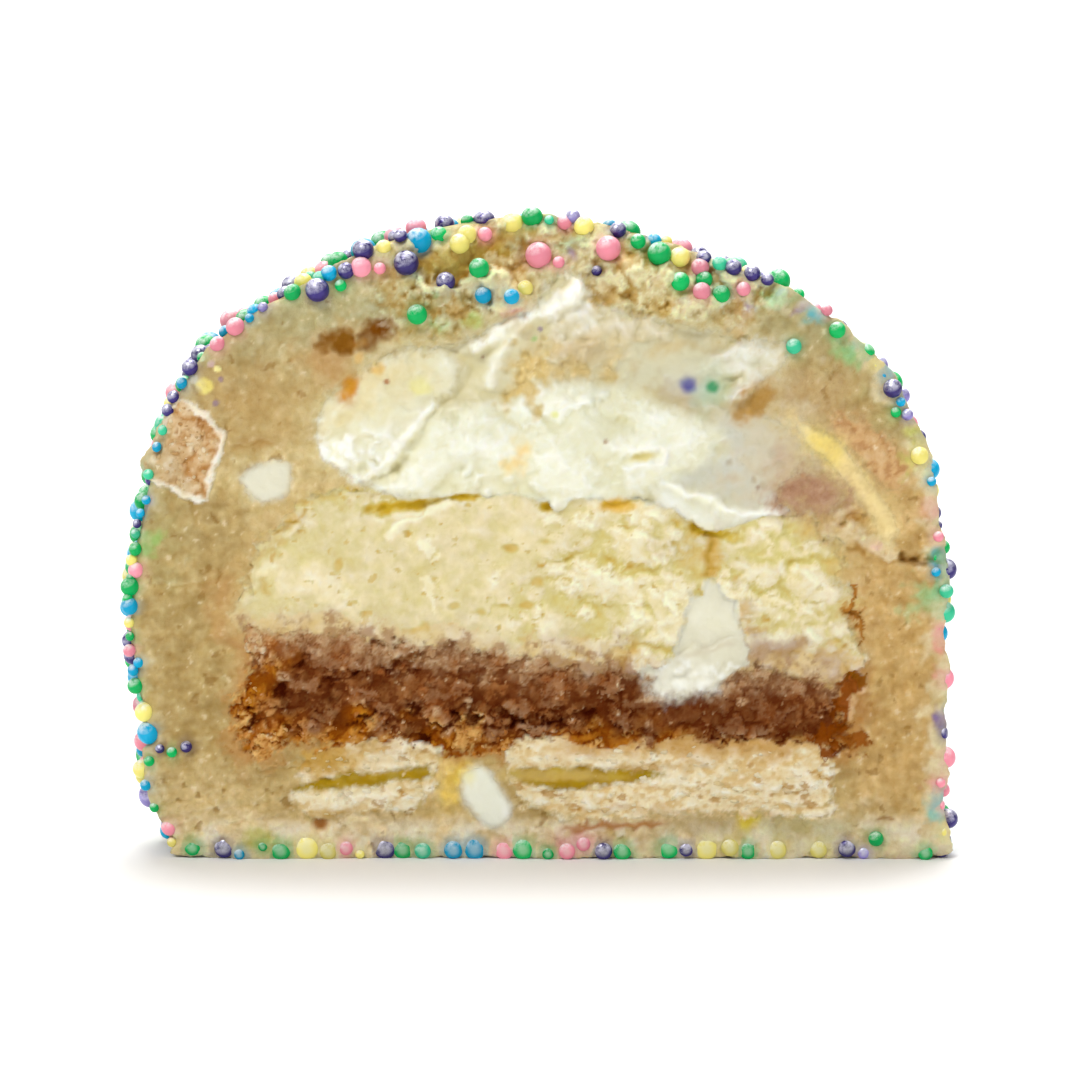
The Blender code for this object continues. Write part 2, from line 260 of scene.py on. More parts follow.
def ledge(height, points, drop, wide, ends=0.2, rough=0.15, seed=0):
    """A tear: the face drops on the line's right and comes back up over wide."""
    s = Stroke(points, wide * 2.2, rough, seed)
    d = -s.dist * s.side
    height[s.win] -= drop * smooth(-0.12, 0.16, d) * np.exp(-np.clip(d, 0, None) / wide) * s.taper(ends) * s.fade


def spot(x, z, wide, tall=None, turn=0.0, edge=0.5, rough=0.0, seed=0):
    """1 inside an oval patch, falling to 0 over its edge (a share of its size)."""
    tall = wide if tall is None else tall
    c, s = math.cos(math.radians(turn)), math.sin(math.radians(turn))
    dx, dz = X - x, Z - z
    r = np.hypot((dx * c + dz * s) / wide, (-dx * s + dz * c) / tall)
    if rough:
        r = r + rough * octaves(seed, 1.6, 3)
    return smooth(1 + edge, 1 - edge, r)


# ---------------------------------------------------------------------- colours
def colour(r, g, b):
    """A colour as seen on a screen, 0 to 255, to linear."""
    c = np.array([r, g, b]) / 255
    return np.where(c <= 0.04045, c / 12.92, ((c + 0.055) / 1.055) ** 2.4)


def plain(c):
    return np.broadcast_to(np.asarray(c, float), X.shape + (3,)).copy()


def paint(base, c, amount):
    """Lays a colour over another, amount from 0 to 1 at each point."""
    amount = np.clip(amount, 0, 1)[..., None]
    return base * (1 - amount) + np.asarray(c) * amount


def painted_relief_shading(base, height, size, strength, absorb, pale=0.90):
    """Paints shade into hollows, deeper in colour, and paints crests paler as if lit, following the relief."""
    hollow = np.clip(blurred(height, size) - height, -0.25, 1.2)
    made = base * np.exp(-strength * hollow[..., None] * np.asarray(absorb))
    made[..., 2] = np.minimum(made[..., 2], np.maximum(base[..., 2], pale * made[..., 1]))
    return made


# ----------------------------------------------------------------- mesh building
class Parts:
    """Vertices, faces and a colour for each vertex, gathered into one mesh."""

    def __init__(self):
        self.points, self.colours, self.quads, self.tris, self.count = [], [], [], [], 0

    def add(self, points, colours=None):
        points = np.asarray(points, float).reshape(-1, 3)
        start = self.count
        self.points.append(points)
        if colours is None:
            colours = np.ones((len(points), 3))
        self.colours.append(np.broadcast_to(colours, (len(points), 3)).astype(float))
        self.count += len(points)
        return start

    def mesh(self, name):
        points = np.concatenate(self.points)
        colours = np.concatenate(self.colours)
        quads = np.concatenate(self.quads) if self.quads else np.zeros((0, 4), int)
        tris = np.concatenate(self.tris) if self.tris else np.zeros((0, 3), int)
        made = bpy.data.meshes.new(name)
        made.vertices.add(len(points))
        made.vertices.foreach_set("co", points.astype(np.float32).ravel())
        corners = np.concatenate([quads.ravel(), tris.ravel()]).astype(np.int32)
        made.loops.add(len(corners))
        made.loops.foreach_set("vertex_index", corners)
        starts = np.concatenate(
            [np.arange(len(quads)) * 4, len(quads) * 4 + np.arange(len(tris)) * 3]
        ).astype(np.int32)
        made.polygons.add(len(starts))
        made.polygons.foreach_set("loop_start", starts)
        made.update(calc_edges=True)
        made.validate()
        made.shade_smooth()
        tint = made.color_attributes.new("tint", "FLOAT_COLOR", "POINT")
        rgba = np.ones((len(points), 4), np.float32)
        rgba[:, :3] = colours
        tint.data.foreach_set("color", rgba.ravel())
        return made


def piece(name, mesh, material, slot, *nodes):
    made = bpy.data.objects.new(name, mesh)
    bpy.context.scene.collection.objects.link(made)
    made.data.materials.append(material)
    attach(made, "root")
    if nodes:
        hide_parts(*nodes)
    return made


def cleaned(cell):
    """The cells without the places where two of them meet only at a corner, and without stray islands."""
    cell = cell.copy()
    cell[[0, -1], :] = False
    cell[:, [0, -1]] = False
    for _ in range(8):
        a, b, c, d = cell[:-1, :-1], cell[:-1, 1:], cell[1:, :-1], cell[1:, 1:]
        first = a & d & ~b & ~c
        second = b & c & ~a & ~d
        if not (first.any() or second.any()):
            break
        cell[:-1, :-1] &= ~first
        cell[:-1, 1:] &= ~second
        # a cell with three open sides is a spike
        full = np.pad(cell, 1)
        sides = full[:-2, 1:-1].astype(int) + full[2:, 1:-1] + full[1:-1, :-2] + full[1:-1, 2:]
        cell &= sides >= 2
    return cell


def loops_of(cell):
    """The closed boundary loops of a set of cells, as lists of (row, column) grid points; the cells lie on the left."""
    full = np.pad(cell, 1)
    nxt = {}

    def edge(rows, cols, r0, c0, r1, c1):
        for r, c in zip(rows, cols):
            nxt.setdefault((r + r0, c + c0), []).append((r + r1, c + c1))

    here = full[1:-1, 1:-1]
    for other, ends in (
        (full[:-2, 1:-1], (0, 0, 0, 1)),  # below
        (full[1:-1, 2:], (0, 1, 1, 1)),  # right
        (full[2:, 1:-1], (1, 1, 1, 0)),  # above
        (full[1:-1, :-2], (1, 0, 0, 0)),  # left
    ):
        rows, cols = np.nonzero(here & ~other)
        edge(rows.tolist(), cols.tolist(), *ends)
    loops = []
    while nxt:
        start = next(iter(nxt))
        loop, at = [], start
        while at in nxt:
            loop.append(at)
            to = nxt[at].pop()
            if not nxt[at]:
                del nxt[at]
            at = to
            if at == start:
                break
        loops.append(np.array(loop))
    return sorted(loops, key=lambda p: abs(area_of(p)), reverse=True)


def zipped(parts, a, b, pa, pb, flip=False):
    """Triangles between two closed loops of vertex numbers that run the same way round."""
    pa, pb = np.asarray(pa), np.asarray(pb)
    start = int(np.argmin(((pb - pa[0]) ** 2).sum(1)))
    b, pb = np.roll(b, -start), np.roll(pb, -start, 0)
    n, m = len(a), len(b)
    sa = np.concatenate([[0], np.cumsum(np.linalg.norm(np.roll(pa, -1, 0) - pa, axis=1))])
    sb = np.concatenate([[0], np.cumsum(np.linalg.norm(np.roll(pb, -1, 0) - pb, axis=1))])
    i = j = 0
    tris = []
    while i < n or j < m:
        ai, bj = a[i % n], b[j % m]
        forward_a = np.linalg.norm(pa[(i + 1) % n] - pb[j % m]) if i < n else 1e9
        forward_b = np.linalg.norm(pb[(j + 1) % m] - pa[i % n]) if j < m else 1e9
        # keep both loops level, so that no part of either is skipped
        if i < n and j < m:
            lag = sa[i] / sa[-1] - sb[j] / sb[-1]
            forward_a += max(0.0, lag) * 60
            forward_b += max(0.0, -lag) * 60
        if forward_a <= forward_b:
            tris.append((ai, bj, a[(i + 1) % n]))
            i += 1
        else:
            tris.append((ai, bj, b[(j + 1) % m]))
            j += 1
    tris = np.array(tris)
    parts.tris.append(tris[:, ::-1] if flip else tris)


def front(parts, cell, level, height, tone, spread=0.0, seed=1):
    """The grid part of a cut face. Returns its boundary loops as vertex numbers and points (x, z, out)."""
    used = np.zeros(X.shape, bool)
    for dr in (0, 1):
        for dc in (0, 1):
            used[dr : dr + cell.shape[0], dc : dc + cell.shape[1]] |= cell
    number = np.full(X.shape, -1)
    number[used] = np.arange(used.sum())
    x, z = X.copy(), Z.copy()
    if spread:
        x += spread * field(seed + 50, 0.5)
        z += spread * field(seed + 51, 0.5)
    gz, gx = np.gradient(level, H)
    g2 = np.clip(gx**2 + gz**2, 0.25, None)
    loops = loops_of(cell)
    for loop in loops:
        r, c = loop[:, 0], loop[:, 1]
        step = np.clip(level[r, c] / g2[r, c], -0.6 * H, 0.6 * H)
        x[r, c] = X[r, c] - step * gx[r, c]
        z[r, c] = Z[r, c] - step * gz[r, c]
    start = parts.add(world(x[used], height[used], z[used]), tone[used])
    rows, cols = np.nonzero(cell)
    quads = np.stack(
        [number[rows, cols], number[rows, cols + 1], number[rows + 1, cols + 1], number[rows + 1, cols]], 1
    )
    parts.quads.append(quads + start)
    made = []
    for loop in loops:
        r, c = loop[:, 0], loop[:, 1]
        made.append((number[r, c] + start, np.stack([x[r, c], z[r, c], height[r, c]], 1)))
    return made


def area_of(points):
    x, z = points[:, 0], points[:, 1]
    return 0.5 * float(np.sum(x * np.roll(z, -1) - z * np.roll(x, -1)))


def envelope(points, count):
    """The top and bottom of an outline at evenly eased places across it."""
    line = curve(points, step=0.25)
    a, b = line, np.roll(line, -1, 0)
    low, high = line[:, 0].min(), line[:, 0].max()
    xs = low + (high - low) * (1 - np.cos(math.pi * np.arange(count + 1) / count)) / 2
    tops, bottoms = [], []
    for x in xs[1:-1]:
        hit = (np.minimum(a[:, 0], b[:, 0]) <= x) & (np.maximum(a[:, 0], b[:, 0]) > x)
        t = (x - a[hit, 0]) / (b[hit, 0] - a[hit, 0])
        z = a[hit, 1] + t * (b[hit, 1] - a[hit, 1])
        tops.append(z.max())
        bottoms.append(z.min())
    left, right = line[line[:, 0].argmin()], line[line[:, 0].argmax()]
    return xs, np.array(tops), np.array(bottoms), left, right


def backed(parts, loop, points, deep, power, sunk, tone, count=60, arc=10):
    """Closes a filling behind its cut face: columns over its top, down its back and in along its bottom."""
    xs, tops, bottoms, left, right = envelope(points, count)
    n = count - 1  # columns
    angle = math.pi * np.arange(arc + 1) / arc
    c, s = np.cos(angle), np.sin(angle)
    up = np.sign(c) * np.abs(c) ** (2 / power)
    back = np.abs(s) ** (2 / power)
    middle, half = (tops + bottoms) / 2, (tops - bottoms) / 2
    depth = np.maximum(deep(xs[1:-1]) - sunk, 0.6)
    zz = middle[:, None] + half[:, None] * up[None, :]
    yy = sunk + depth[:, None] * back[None, :]
    xx = np.repeat(xs[1:-1, None], arc + 1, 1)
    start = parts.add(world(xx.ravel(), -yy.ravel(), zz.ravel()), tone)
    poles = parts.add(
        world(np.array([left[0], right[0]]), np.array([-sunk, -sunk]), np.array([left[1], right[1]])), tone
    )
    k = arc + 1
    col, row = np.meshgrid(np.arange(n - 1), np.arange(arc), indexing="ij")
    a = start + col * k + row
    parts.quads.append(np.stack([a, a + k, a + k + 1, a + 1], -1).reshape(-1, 4))
    rows = np.arange(arc)
    parts.tris.append(np.stack([np.full(arc, poles), start + rows, start + rows + 1], 1))
    last = start + (n - 1) * k
    parts.tris.append(np.stack([np.full(arc, poles + 1), last + rows + 1, last + rows], 1))
    # the ring at the front of the back: left pole, bottoms to the right, right pole, tops to the left
    bottom_ids = start + np.arange(n) * k + arc
    top_ids = start + np.arange(n) * k
    ring = np.concatenate([[poles], bottom_ids, [poles + 1], top_ids[::-1]])
    ring_points = np.concatenate(
        [
            [[left[0], left[1]]],
            np.stack([xs[1:-1], bottoms], 1),
            [[right[0], right[1]]],
            np.stack([xs[1:-1], tops], 1)[::-1],
        ]
    )
    ring_points = np.column_stack([ring_points, np.full(len(ring_points), -sunk)])
    ids, pts = loop
    if area_of(pts) * area_of(ring_points) < 0:
        ring, ring_points = ring[::-1], ring_points[::-1]
    zipped(parts, ids, ring, pts, ring_points)


def layer(name, points, level, height, tone, material, slot, nodes, deep, power=5.0, grow=0.9, sunk=2.8, count=60, arc=10, seed=1):
    """One filling: its cut face where level is under grow, and a closed back."""
    parts = Parts()
    cut = level - grow
    corner = cut[:-1, :-1] + cut[1:, :-1] + cut[:-1, 1:] + cut[1:, 1:]
    cell = cleaned(corner < 0)
    loops = loops_of(cell)
    keep = loops[0]
    # only the largest island stays, without holes
    cell = filled(cell, keep)
    made = front(parts, cell, cut, height, tone, 0.02, seed)
    backed(parts, made[0], points, deep, power, sunk, tone[cell_centre(points)], count, arc)
    return piece(name, parts.mesh(name), material, slot, *nodes)


def cell_centre(points):
    p = np.array(points, float).mean(0)
    return int(np.searchsorted(ZS, p[1])), int(np.searchsorted(XS, p[0]))


def filled(cell, loop):
    """The cells inside one boundary loop, found by counting crossings along each row."""
    flips = np.zeros((cell.shape[0], cell.shape[1] + 1), bool)
    a, b = loop, np.roll(loop, -1, 0)
    for (r0, c0), (r1, c1) in zip(a.tolist(), b.tolist()):
        if c0 == c1:
            flips[min(r0, r1), c0] ^= True
    return np.logical_xor.accumulate(flips, axis=1)[:, :-1]


def domed(parts, loop, points, deep, floor, sunk, tone, inner=False, step=0.55, lump=None):
    """Closes the dough behind its cut face, round the back: level rings from its left side to its right, down to a flat base."""
    line = curve(points, step=0.25)
    a, b = line, np.roll(line, -1, 0)
    top = line[line[:, 1].argmax()]
    # even steps down the right side
    zs = [top[1]]
    fine = np.linspace(top[1], floor, 2000)[1:-1]
    lows, highs = [], []
    for z in fine:
        hit = (np.minimum(a[:, 1], b[:, 1]) <= z) & (np.maximum(a[:, 1], b[:, 1]) > z)
        t = (z - a[hit, 1]) / (b[hit, 1] - a[hit, 1])
        x = a[hit, 0] + t * (b[hit, 0] - a[hit, 0])
        lows.append(x.min())
        highs.append(x.max())
    lows, highs = np.array(lows), np.array(highs)
    run = np.cumsum(np.hypot(np.diff(highs, prepend=top[0]), np.diff(fine, prepend=top[1])))
    want = np.arange(1, max(3, int(run[-1] / step))) * step
    xl, xr, zz = (np.interp(want, run, v) for v in (lows, highs, fine))
    xl, xr, zz = (np.append(v, e) for v, e in ((xl, lows[-1]), (xr, highs[-1]), (zz, floor)))
    middle = (xl[-1] + xr[-1]) / 2
    count = int((xr[-1] - middle) / step / 1.3)
    share = np.linspace(1, 0, count + 1)[1:-1]
    xl = np.append(xl, middle + (xl[-1] - middle) * share)
    xr = np.append(xr, middle + (xr[-1] - middle) * share)
    zz = np.append(zz, np.full(len(share), floor))
    n = len(zz)
    arc = int(math.pi * deep(10.0) / step) if not inner else 40
    angle = math.pi * (1 - np.arange(arc + 1) / arc)
    c, s = np.cos(angle), np.sin(angle)
    s[0] = s[-1] = 0.0
    centre, half = (xl + xr) / 2, (xr - xl) / 2
    xx = centre[:, None] + half[:, None] * c[None, :]
    depth = half * deep(zz) / deep(10.0)
    if callable(sunk):
        start_l, start_r, start_top = sunk(xl, zz), sunk(xr, zz), float(sunk(top[:1], top[1:])[0])
        start_low = float(sunk(np.array([middle]), np.array([floor]))[0])
    else:
        start_l = start_r = np.full(n, sunk)
        start_top = start_low = sunk
    begin = start_l[:, None] * (1 - (1 + c) / 2)[None, :] + start_r[:, None] * ((1 + c) / 2)[None, :]
    yy = begin * (1 - s)[None, :] + np.maximum(depth[:, None], begin + 0.01) * s[None, :]
    zs = np.repeat(zz[:, None], arc + 1, 1)
    if lump is not None:
        xx, yy, zs = lump(xx, yy, zs, centre[:, None] + 0 * xx, s[None, :] + 0 * xx)
    start = parts.add(world(xx.ravel(), -yy.ravel(), zs.ravel()), tone(xx.ravel(), yy.ravel(), zs.ravel()))
    px, py, pz = np.array([top[0], middle]), np.array([start_top, start_low]), np.array([top[1], floor])
    poles = parts.add(world(px, -py, pz), tone(px, py, pz))
    k = arc + 1
    col, row = np.meshgrid(np.arange(n - 1), np.arange(arc), indexing="ij")
    q = start + col * k + row
    quads = np.stack([q, q + 1, q + k + 1, q + k], -1).reshape(-1, 4)
    rows = np.arange(arc)
    last = start + (n - 1) * k
    tris = np.concatenate(
        [
            np.stack([np.full(arc, poles), start + rows + 1, start + rows], 1),
            np.stack([np.full(arc, poles + 1), last + rows, last + rows + 1], 1),
        ]
    )
    parts.quads.append(quads[:, ::-1] if inner else quads)
    parts.tris.append(tris[:, ::-1] if inner else tris)
    left, right = start + np.arange(n) * k, start + np.arange(n) * k + arc
    ring = np.concatenate([[poles], left, [poles + 1], right[::-1]])
    pts = np.concatenate(
        [
            [[top[0], top[1], -start_top]],
            np.stack([xl, zz, -start_l], 1),
            [[middle, floor, -start_low]],
            np.stack([xr, zz, -start_r], 1)[::-1],
        ]
    )
    ids, at = loop
    if inner:
        ring, pts = ring[::-1], pts[::-1]
    zipped(parts, ids, ring, at, pts)
    return xx, yy, zs


# --------------------------------------------------------- outlines, in millimetres
DOUGH = [
    (-29.6, 0.0), (-31.2, 1.4), (-32.6, 3.8), (-33.4, 7.2), (-33.5, 9.4), (-32.6, 10.4), (-33.2, 12.0),
    (-34.0, 15.6), (-34.3, 20.7), (-34.0, 25.0), (-33.3, 29.3), (-32.0, 33.9), (-30.7, 38.3), (-28.2, 42.3),
    (-24.8, 45.2), (-19.4, 48.6), (-14.5, 51.2), (-8.6, 53.0), (-0.7, 54.1), (5.3, 53.3), (10.2, 52.0),
    (15.1, 50.1), (20.0, 48.2), (24.9, 45.0), (28.9, 41.3), (31.3, 36.9), (32.7, 32.9), (33.2, 28.2),
    (34.3, 23.2), (33.9, 19.5), (34.4, 15.2), (34.0, 12.6), (34.3, 8.0), (34.0, 4.6), (34.5, 1.9), (33.4, 0.2),
    (20.0, 0.0), (5.0, 0.0), (-12.0, 0.0),
]
CREAM = [
    (-18.5, 35.0), (-18.4, 37.2), (-17.7, 38.8), (-16.4, 40.1), (-13.6, 42.0), (-11.9, 43.0), (-9.1, 43.3),
    (-6.9, 43.4), (-4.9, 44.4), (-2.9, 45.5), (-0.9, 46.4), (0.3, 48.0), (1.3, 49.3), (2.6, 49.2), (3.5, 48.0),
    (4.3, 46.9), (6.9, 46.1), (10.8, 45.1), (14.5, 44.4), (16.3, 43.8), (18.1, 43.8), (20.1, 43.5), (20.3, 42.5),
    (19.6, 41.3), (18.3, 40.5), (17.5, 39.6), (17.4, 38.4), (18.3, 37.6), (19.8, 37.0), (20.9, 36.0),
    (21.4, 34.4), (20.8, 32.6), (19.8, 31.3), (19.6, 30.1), (20.1, 29.4), (18.1, 29.1), (16.3, 28.5),
    (14.5, 28.0), (12.9, 28.4), (11.0, 29.7), (9.0, 30.3), (7.1, 30.5), (5.1, 30.6), (3.1, 30.7), (1.2, 30.2),
    (-0.6, 30.6), (-2.3, 30.9), (-4.5, 30.9), (-5.7, 31.2), (-8.0, 30.7), (-10.5, 30.6), (-13.0, 31.1),
    (-15.0, 31.9), (-16.2, 32.5), (-17.8, 33.8),
]
CAKE = [
    (-24.7, 24.6), (-24.0, 26.4), (-23.2, 27.6), (-21.6, 28.3), (-21.4, 29.2), (-20.6, 30.1), (-19.7, 30.6),
    (-17.0, 30.9), (-14.5, 31.3), (-10.0, 31.8), (0.0, 32.0), (10.0, 31.6), (17.0, 30.6), (20.4, 29.4),
    (22.3, 29.8), (22.7, 28.0), (24.5, 26.7), (25.2, 25.5), (25.0, 24.4), (25.6, 22.9), (26.0, 21.3),
    (26.5, 19.0), (27.2, 17.3), (26.8, 15.9), (25.0, 15.3), (21.0, 15.9), (17.6, 16.5), (13.0, 15.6),
    (7.6, 16.1), (3.7, 16.3), (-1.0, 17.5), (-5.0, 18.0), (-10.0, 18.3), (-15.0, 18.9), (-20.0, 19.3),
    (-24.0, 19.6), (-26.0, 20.6), (-25.2, 22.0),
]
CRUST = [
    (-24.6, 19.6), (-24.1, 16.9), (-25.1, 14.6), (-26.0, 13.6), (-26.1, 12.0), (-25.9, 10.6), (-25.0, 9.2),
    (-23.4, 8.8), (-22.0, 9.7), (-20.4, 10.0), (-16.5, 9.4), (-13.0, 9.3), (-9.0, 9.0), (-5.0, 9.3),
    (0.0, 9.5), (5.0, 9.8), (15.0, 9.8), (20.0, 9.5), (23.6, 9.1), (25.2, 9.0), (26.2, 10.3), (25.1, 11.7),
    (24.7, 13.0), (25.3, 14.5), (26.4, 15.7), (25.0, 17.6), (20.0, 18.5), (0.0, 20.0), (-20.0, 21.0),
]
BISCUIT_LEFT = [
    (-21.3, 5.1), (-20.4, 6.3), (-20.2, 8.6), (-18.0, 10.2), (-13.0, 10.4), (-10.0, 10.4), (-8.8, 9.0),
    (-8.9, 7.0), (-9.4, 5.0), (-11.9, 4.2), (-16.5, 3.7), (-19.0, 3.4),
]
BISCUIT_RIGHT = [
    (-3.0, 7.2), (-2.7, 9.4), (0.0, 10.5), (8.0, 10.7), (18.0, 10.7), (23.5, 9.9), (24.6, 8.0), (24.4, 5.2),
    (23.9, 3.9), (19.5, 3.8), (13.0, 3.9), (5.5, 3.5), (0.5, 3.7), (-1.6, 5.0),
]
LEMON_LEFT = [(-21.0, 6.0), (-17.5, 7.2), (-12.0, 7.7), (-9.6, 8.0), (-9.6, 6.9), (-12.0, 6.6), (-16.0, 6.1)]
LEMON_RIGHT = [(-2.9, 7.6), (2.0, 7.9), (6.0, 7.7), (10.6, 7.3), (6.0, 6.4), (2.0, 6.0), (-1.0, 6.5)]
WHITE_CHUNK = [
    (14.15, 23.8), (14.75, 23.5), (14.95, 22.6), (15.35, 22.3), (16.05, 22.1), (16.25, 21.3), (16.45, 20.5),
    (16.75, 19.7), (16.95, 19.0), (17.25, 18.0), (17.25, 17.3), (16.95, 16.5), (16.25, 16.0), (15.55, 15.5),
    (14.95, 15.1), (14.75, 14.3), (14.05, 14.1), (13.25, 14.2), (12.25, 13.8), (11.05, 13.7), (10.05, 13.8),
    (9.35, 14.1), (9.05, 14.9), (9.5, 15.5), (8.75, 15.4), (8.45, 16.0), (8.75, 16.6), (9.55, 16.4),
    (10.05, 16.8), (10.75, 17.1), (11.25, 18.3), (11.55, 19.2), (11.85, 20.2), (11.65, 21.0), (12.25, 21.6),
    (12.45, 22.3), (12.15, 22.9), (12.65, 22.8), (13.15, 22.6), (13.55, 23.1), (13.75, 23.7),
]
CHIP_LOW = [(-6.9, 6.9), (-6.2, 7.7), (-5.0, 8.0), (-4.0, 7.0), (-3.0, 5.4), (-2.5, 4.2), (-3.4, 2.9), (-4.4, 2.7), (-5.6, 3.6), (-6.6, 4.9)]
CHIP_LEFT = [(-25.1, 32.2), (-24.4, 33.1), (-23.1, 33.6), (-21.5, 33.8), (-21.0, 33.4), (-20.9, 32.3), (-21.2, 31.2), (-22.1, 30.5), (-23.7, 30.5), (-24.7, 31.3)]
CHUNK_LEFT = [
    (-30.2, 38.9), (-28.5, 38.4), (-27.0, 36.9), (-26.4, 35.9), (-26.7, 34.2), (-27.4, 32.1), (-27.9, 30.5),
    (-29.3, 30.5), (-30.8, 31.2), (-32.3, 32.2), (-33.2, 33.3), (-32.4, 34.7), (-31.9, 36.2), (-31.0, 37.8),
]
CHUNK_RIGHT = [
    (23.9, 37.6), (26.0, 37.2), (28.6, 35.7), (30.2, 33.9), (30.2, 32.0), (29.0, 31.3), (27.6, 32.2),
    (26.2, 33.9), (24.8, 35.4),
]
LEMON_STRIPE = [
    (20.9, 37.1), (22.6, 36.6), (24.6, 35.4), (25.7, 34.0), (26.9, 32.4), (28.5, 30.5), (29.6, 28.2),
    (28.9, 26.9), (27.7, 28.0), (26.6, 30.2), (25.0, 32.2), (23.5, 33.9), (21.8, 35.4),
]
CHUNK_INNER = [(19.6, 31.6), (21.2, 32.6), (23.2, 32.6), (24.8, 31.6), (24.9, 30.2), (23.2, 29.4), (20.9, 29.4), (19.5, 30.3)]

# ------------------------------------------------- signed distances, with torn edges
TORN = 0.22 * octaves(3, 1.5, 4, 0.7)
D_DOUGH = inside(DOUGH)
L_DOUGH = D_DOUGH + 0.12 * octaves(5, 2.0, 3)
L_CREAM = inside(CREAM) + 0.10 * octaves(6, 1.3, 3)
L_CAKE = inside(CAKE) + 1.5 * TORN
L_CRUST = inside(CRUST) + 1.2 * 0.22 * octaves(8, 1.2, 4, 0.75)
L_BISL = inside(BISCUIT_LEFT) + 0.8 * TORN
L_BISR = inside(BISCUIT_RIGHT) + 0.8 * TORN
L_LEML = inside(LEMON_LEFT) + 0.10 * octaves(9, 1.2, 3)
L_LEMR = inside(LEMON_RIGHT) + 0.10 * octaves(9, 1.2, 3)
L_WHITE = inside(WHITE_CHUNK) + 0.08 * octaves(11, 1.0, 3, 0.6)
L_CHIPLO = inside(CHIP_LOW) + 0.05 * octaves(12, 1.0, 2)
L_CHIPLE = inside(CHIP_LEFT) + 0.05 * octaves(13, 1.0, 2)
L_CHL = inside(CHUNK_LEFT) + 0.08 * octaves(14, 0.9, 3)
L_CHR = inside(CHUNK_RIGHT) + 0.10 * octaves(15, 0.9, 3)
L_STRIPE = inside(LEMON_STRIPE) + 0.08 * octaves(16, 1.2, 3)
L_INNER = inside(CHUNK_INNER) + 0.15 * octaves(17, 1.2, 3)
L_FILL = np.minimum.reduce([L_CREAM, L_CAKE, L_CRUST, L_BISL, L_BISR, L_CHIPLO])

# -------------------------------------------------------------------- the materials
def stuff(name, rough, scatter, reach, radius, hollow_shade, size, relief, grain=0.25, coat=0.0, hollow_shade_tint=(0.75, 0.62, 0.42), specular=0.4):
    """Food with its own tint for each point; shade is painted into the hollows of its fine lumps, and light spreads
    inside it.
    """
    made = bpy.data.materials.new(name)
    made.use_nodes = True
    tree = made.node_tree
    nodes, links = tree.nodes, tree.links
    shader = nodes["Principled BSDF"]
    tint = nodes.new("ShaderNodeAttribute")
    tint.attribute_name = "tint"
    place = nodes.new("ShaderNodeTexCoord")
    speck = nodes.new("ShaderNodeTexNoise")
    speck.inputs["Scale"].default_value = size
    speck.inputs["Detail"].default_value = 6.0
    speck.inputs["Roughness"].default_value = 0.70
    links.new(place.outputs["Object"], speck.inputs["Vector"])
    share = nodes.new("ShaderNodeMapRange")
    share.inputs["From Min"].default_value = 0.62
    share.inputs["From Max"].default_value = 0.36
    share.inputs["To Min"].default_value = 0.0
    share.inputs["To Max"].default_value = hollow_shade
    links.new(speck.outputs["Fac"], share.inputs["Value"])
    # painted shade: where the fine lumps are low, the tint is multiplied by a deeper colour
    deep = nodes.new("ShaderNodeMix")
    deep.data_type = "RGBA"
    deep.blend_type = "MULTIPLY"
    deep.inputs["B"].default_value = (*hollow_shade_tint, 1.0)
    links.new(share.outputs["Result"], deep.inputs["Factor"])
    links.new(tint.outputs["Color"], deep.inputs["A"])
    links.new(deep.outputs["Result"], shader.inputs["Base Color"])
    lumps = nodes.new("ShaderNodeBump")
    lumps.inputs["Strength"].default_value = 1.0
    lumps.inputs["Distance"].default_value = relief
    links.new(speck.outputs["Fac"], lumps.inputs["Height"])
    fine = nodes.new("ShaderNodeTexNoise")
    fine.inputs["Scale"].default_value = size * 3.2
    fine.inputs["Detail"].default_value = 3.0
    links.new(place.outputs["Object"], fine.inputs["Vector"])
    bump = nodes.new("ShaderNodeBump")
    bump.inputs["Strength"].default_value = grain
    bump.inputs["Distance"].default_value = 0.00012
    links.new(fine.outputs["Fac"], bump.inputs["Height"])
    links.new(lumps.outputs["Normal"], bump.inputs["Normal"])
    links.new(bump.outputs["Normal"], shader.inputs["Normal"])
    sheen = nodes.new("ShaderNodeMapRange")
    sheen.inputs["From Min"].default_value = 0.3
    sheen.inputs["From Max"].default_value = 0.7
    sheen.inputs["To Min"].default_value = min(rough + 0.12, 1.0)
    sheen.inputs["To Max"].default_value = max(rough - 0.08, 0.05)
    links.new(speck.outputs["Fac"], sheen.inputs["Value"])
    links.new(sheen.outputs["Result"], shader.inputs["Roughness"])
    shader.inputs["Subsurface Weight"].default_value = scatter
    shader.inputs["Subsurface Radius"].default_value = radius
    shader.inputs["Subsurface Scale"].default_value = reach
    # dark, moist places shine less than pale ones
    split = nodes.new("ShaderNodeSeparateColor")
    links.new(tint.outputs["Color"], split.inputs["Color"])
    shine = nodes.new("ShaderNodeMapRange")
    shine.inputs["From Min"].default_value = 0.02
    shine.inputs["From Max"].default_value = 0.30
    shine.inputs["To Min"].default_value = 0.15 * specular
    shine.inputs["To Max"].default_value = specular
    links.new(split.outputs["Blue"], shine.inputs["Value"])
    links.new(shine.outputs["Result"], shader.inputs["Specular IOR Level"])
    shader.inputs["Coat Weight"].default_value = coat
    shader.inputs["Coat Roughness"].default_value = 0.25
    return made


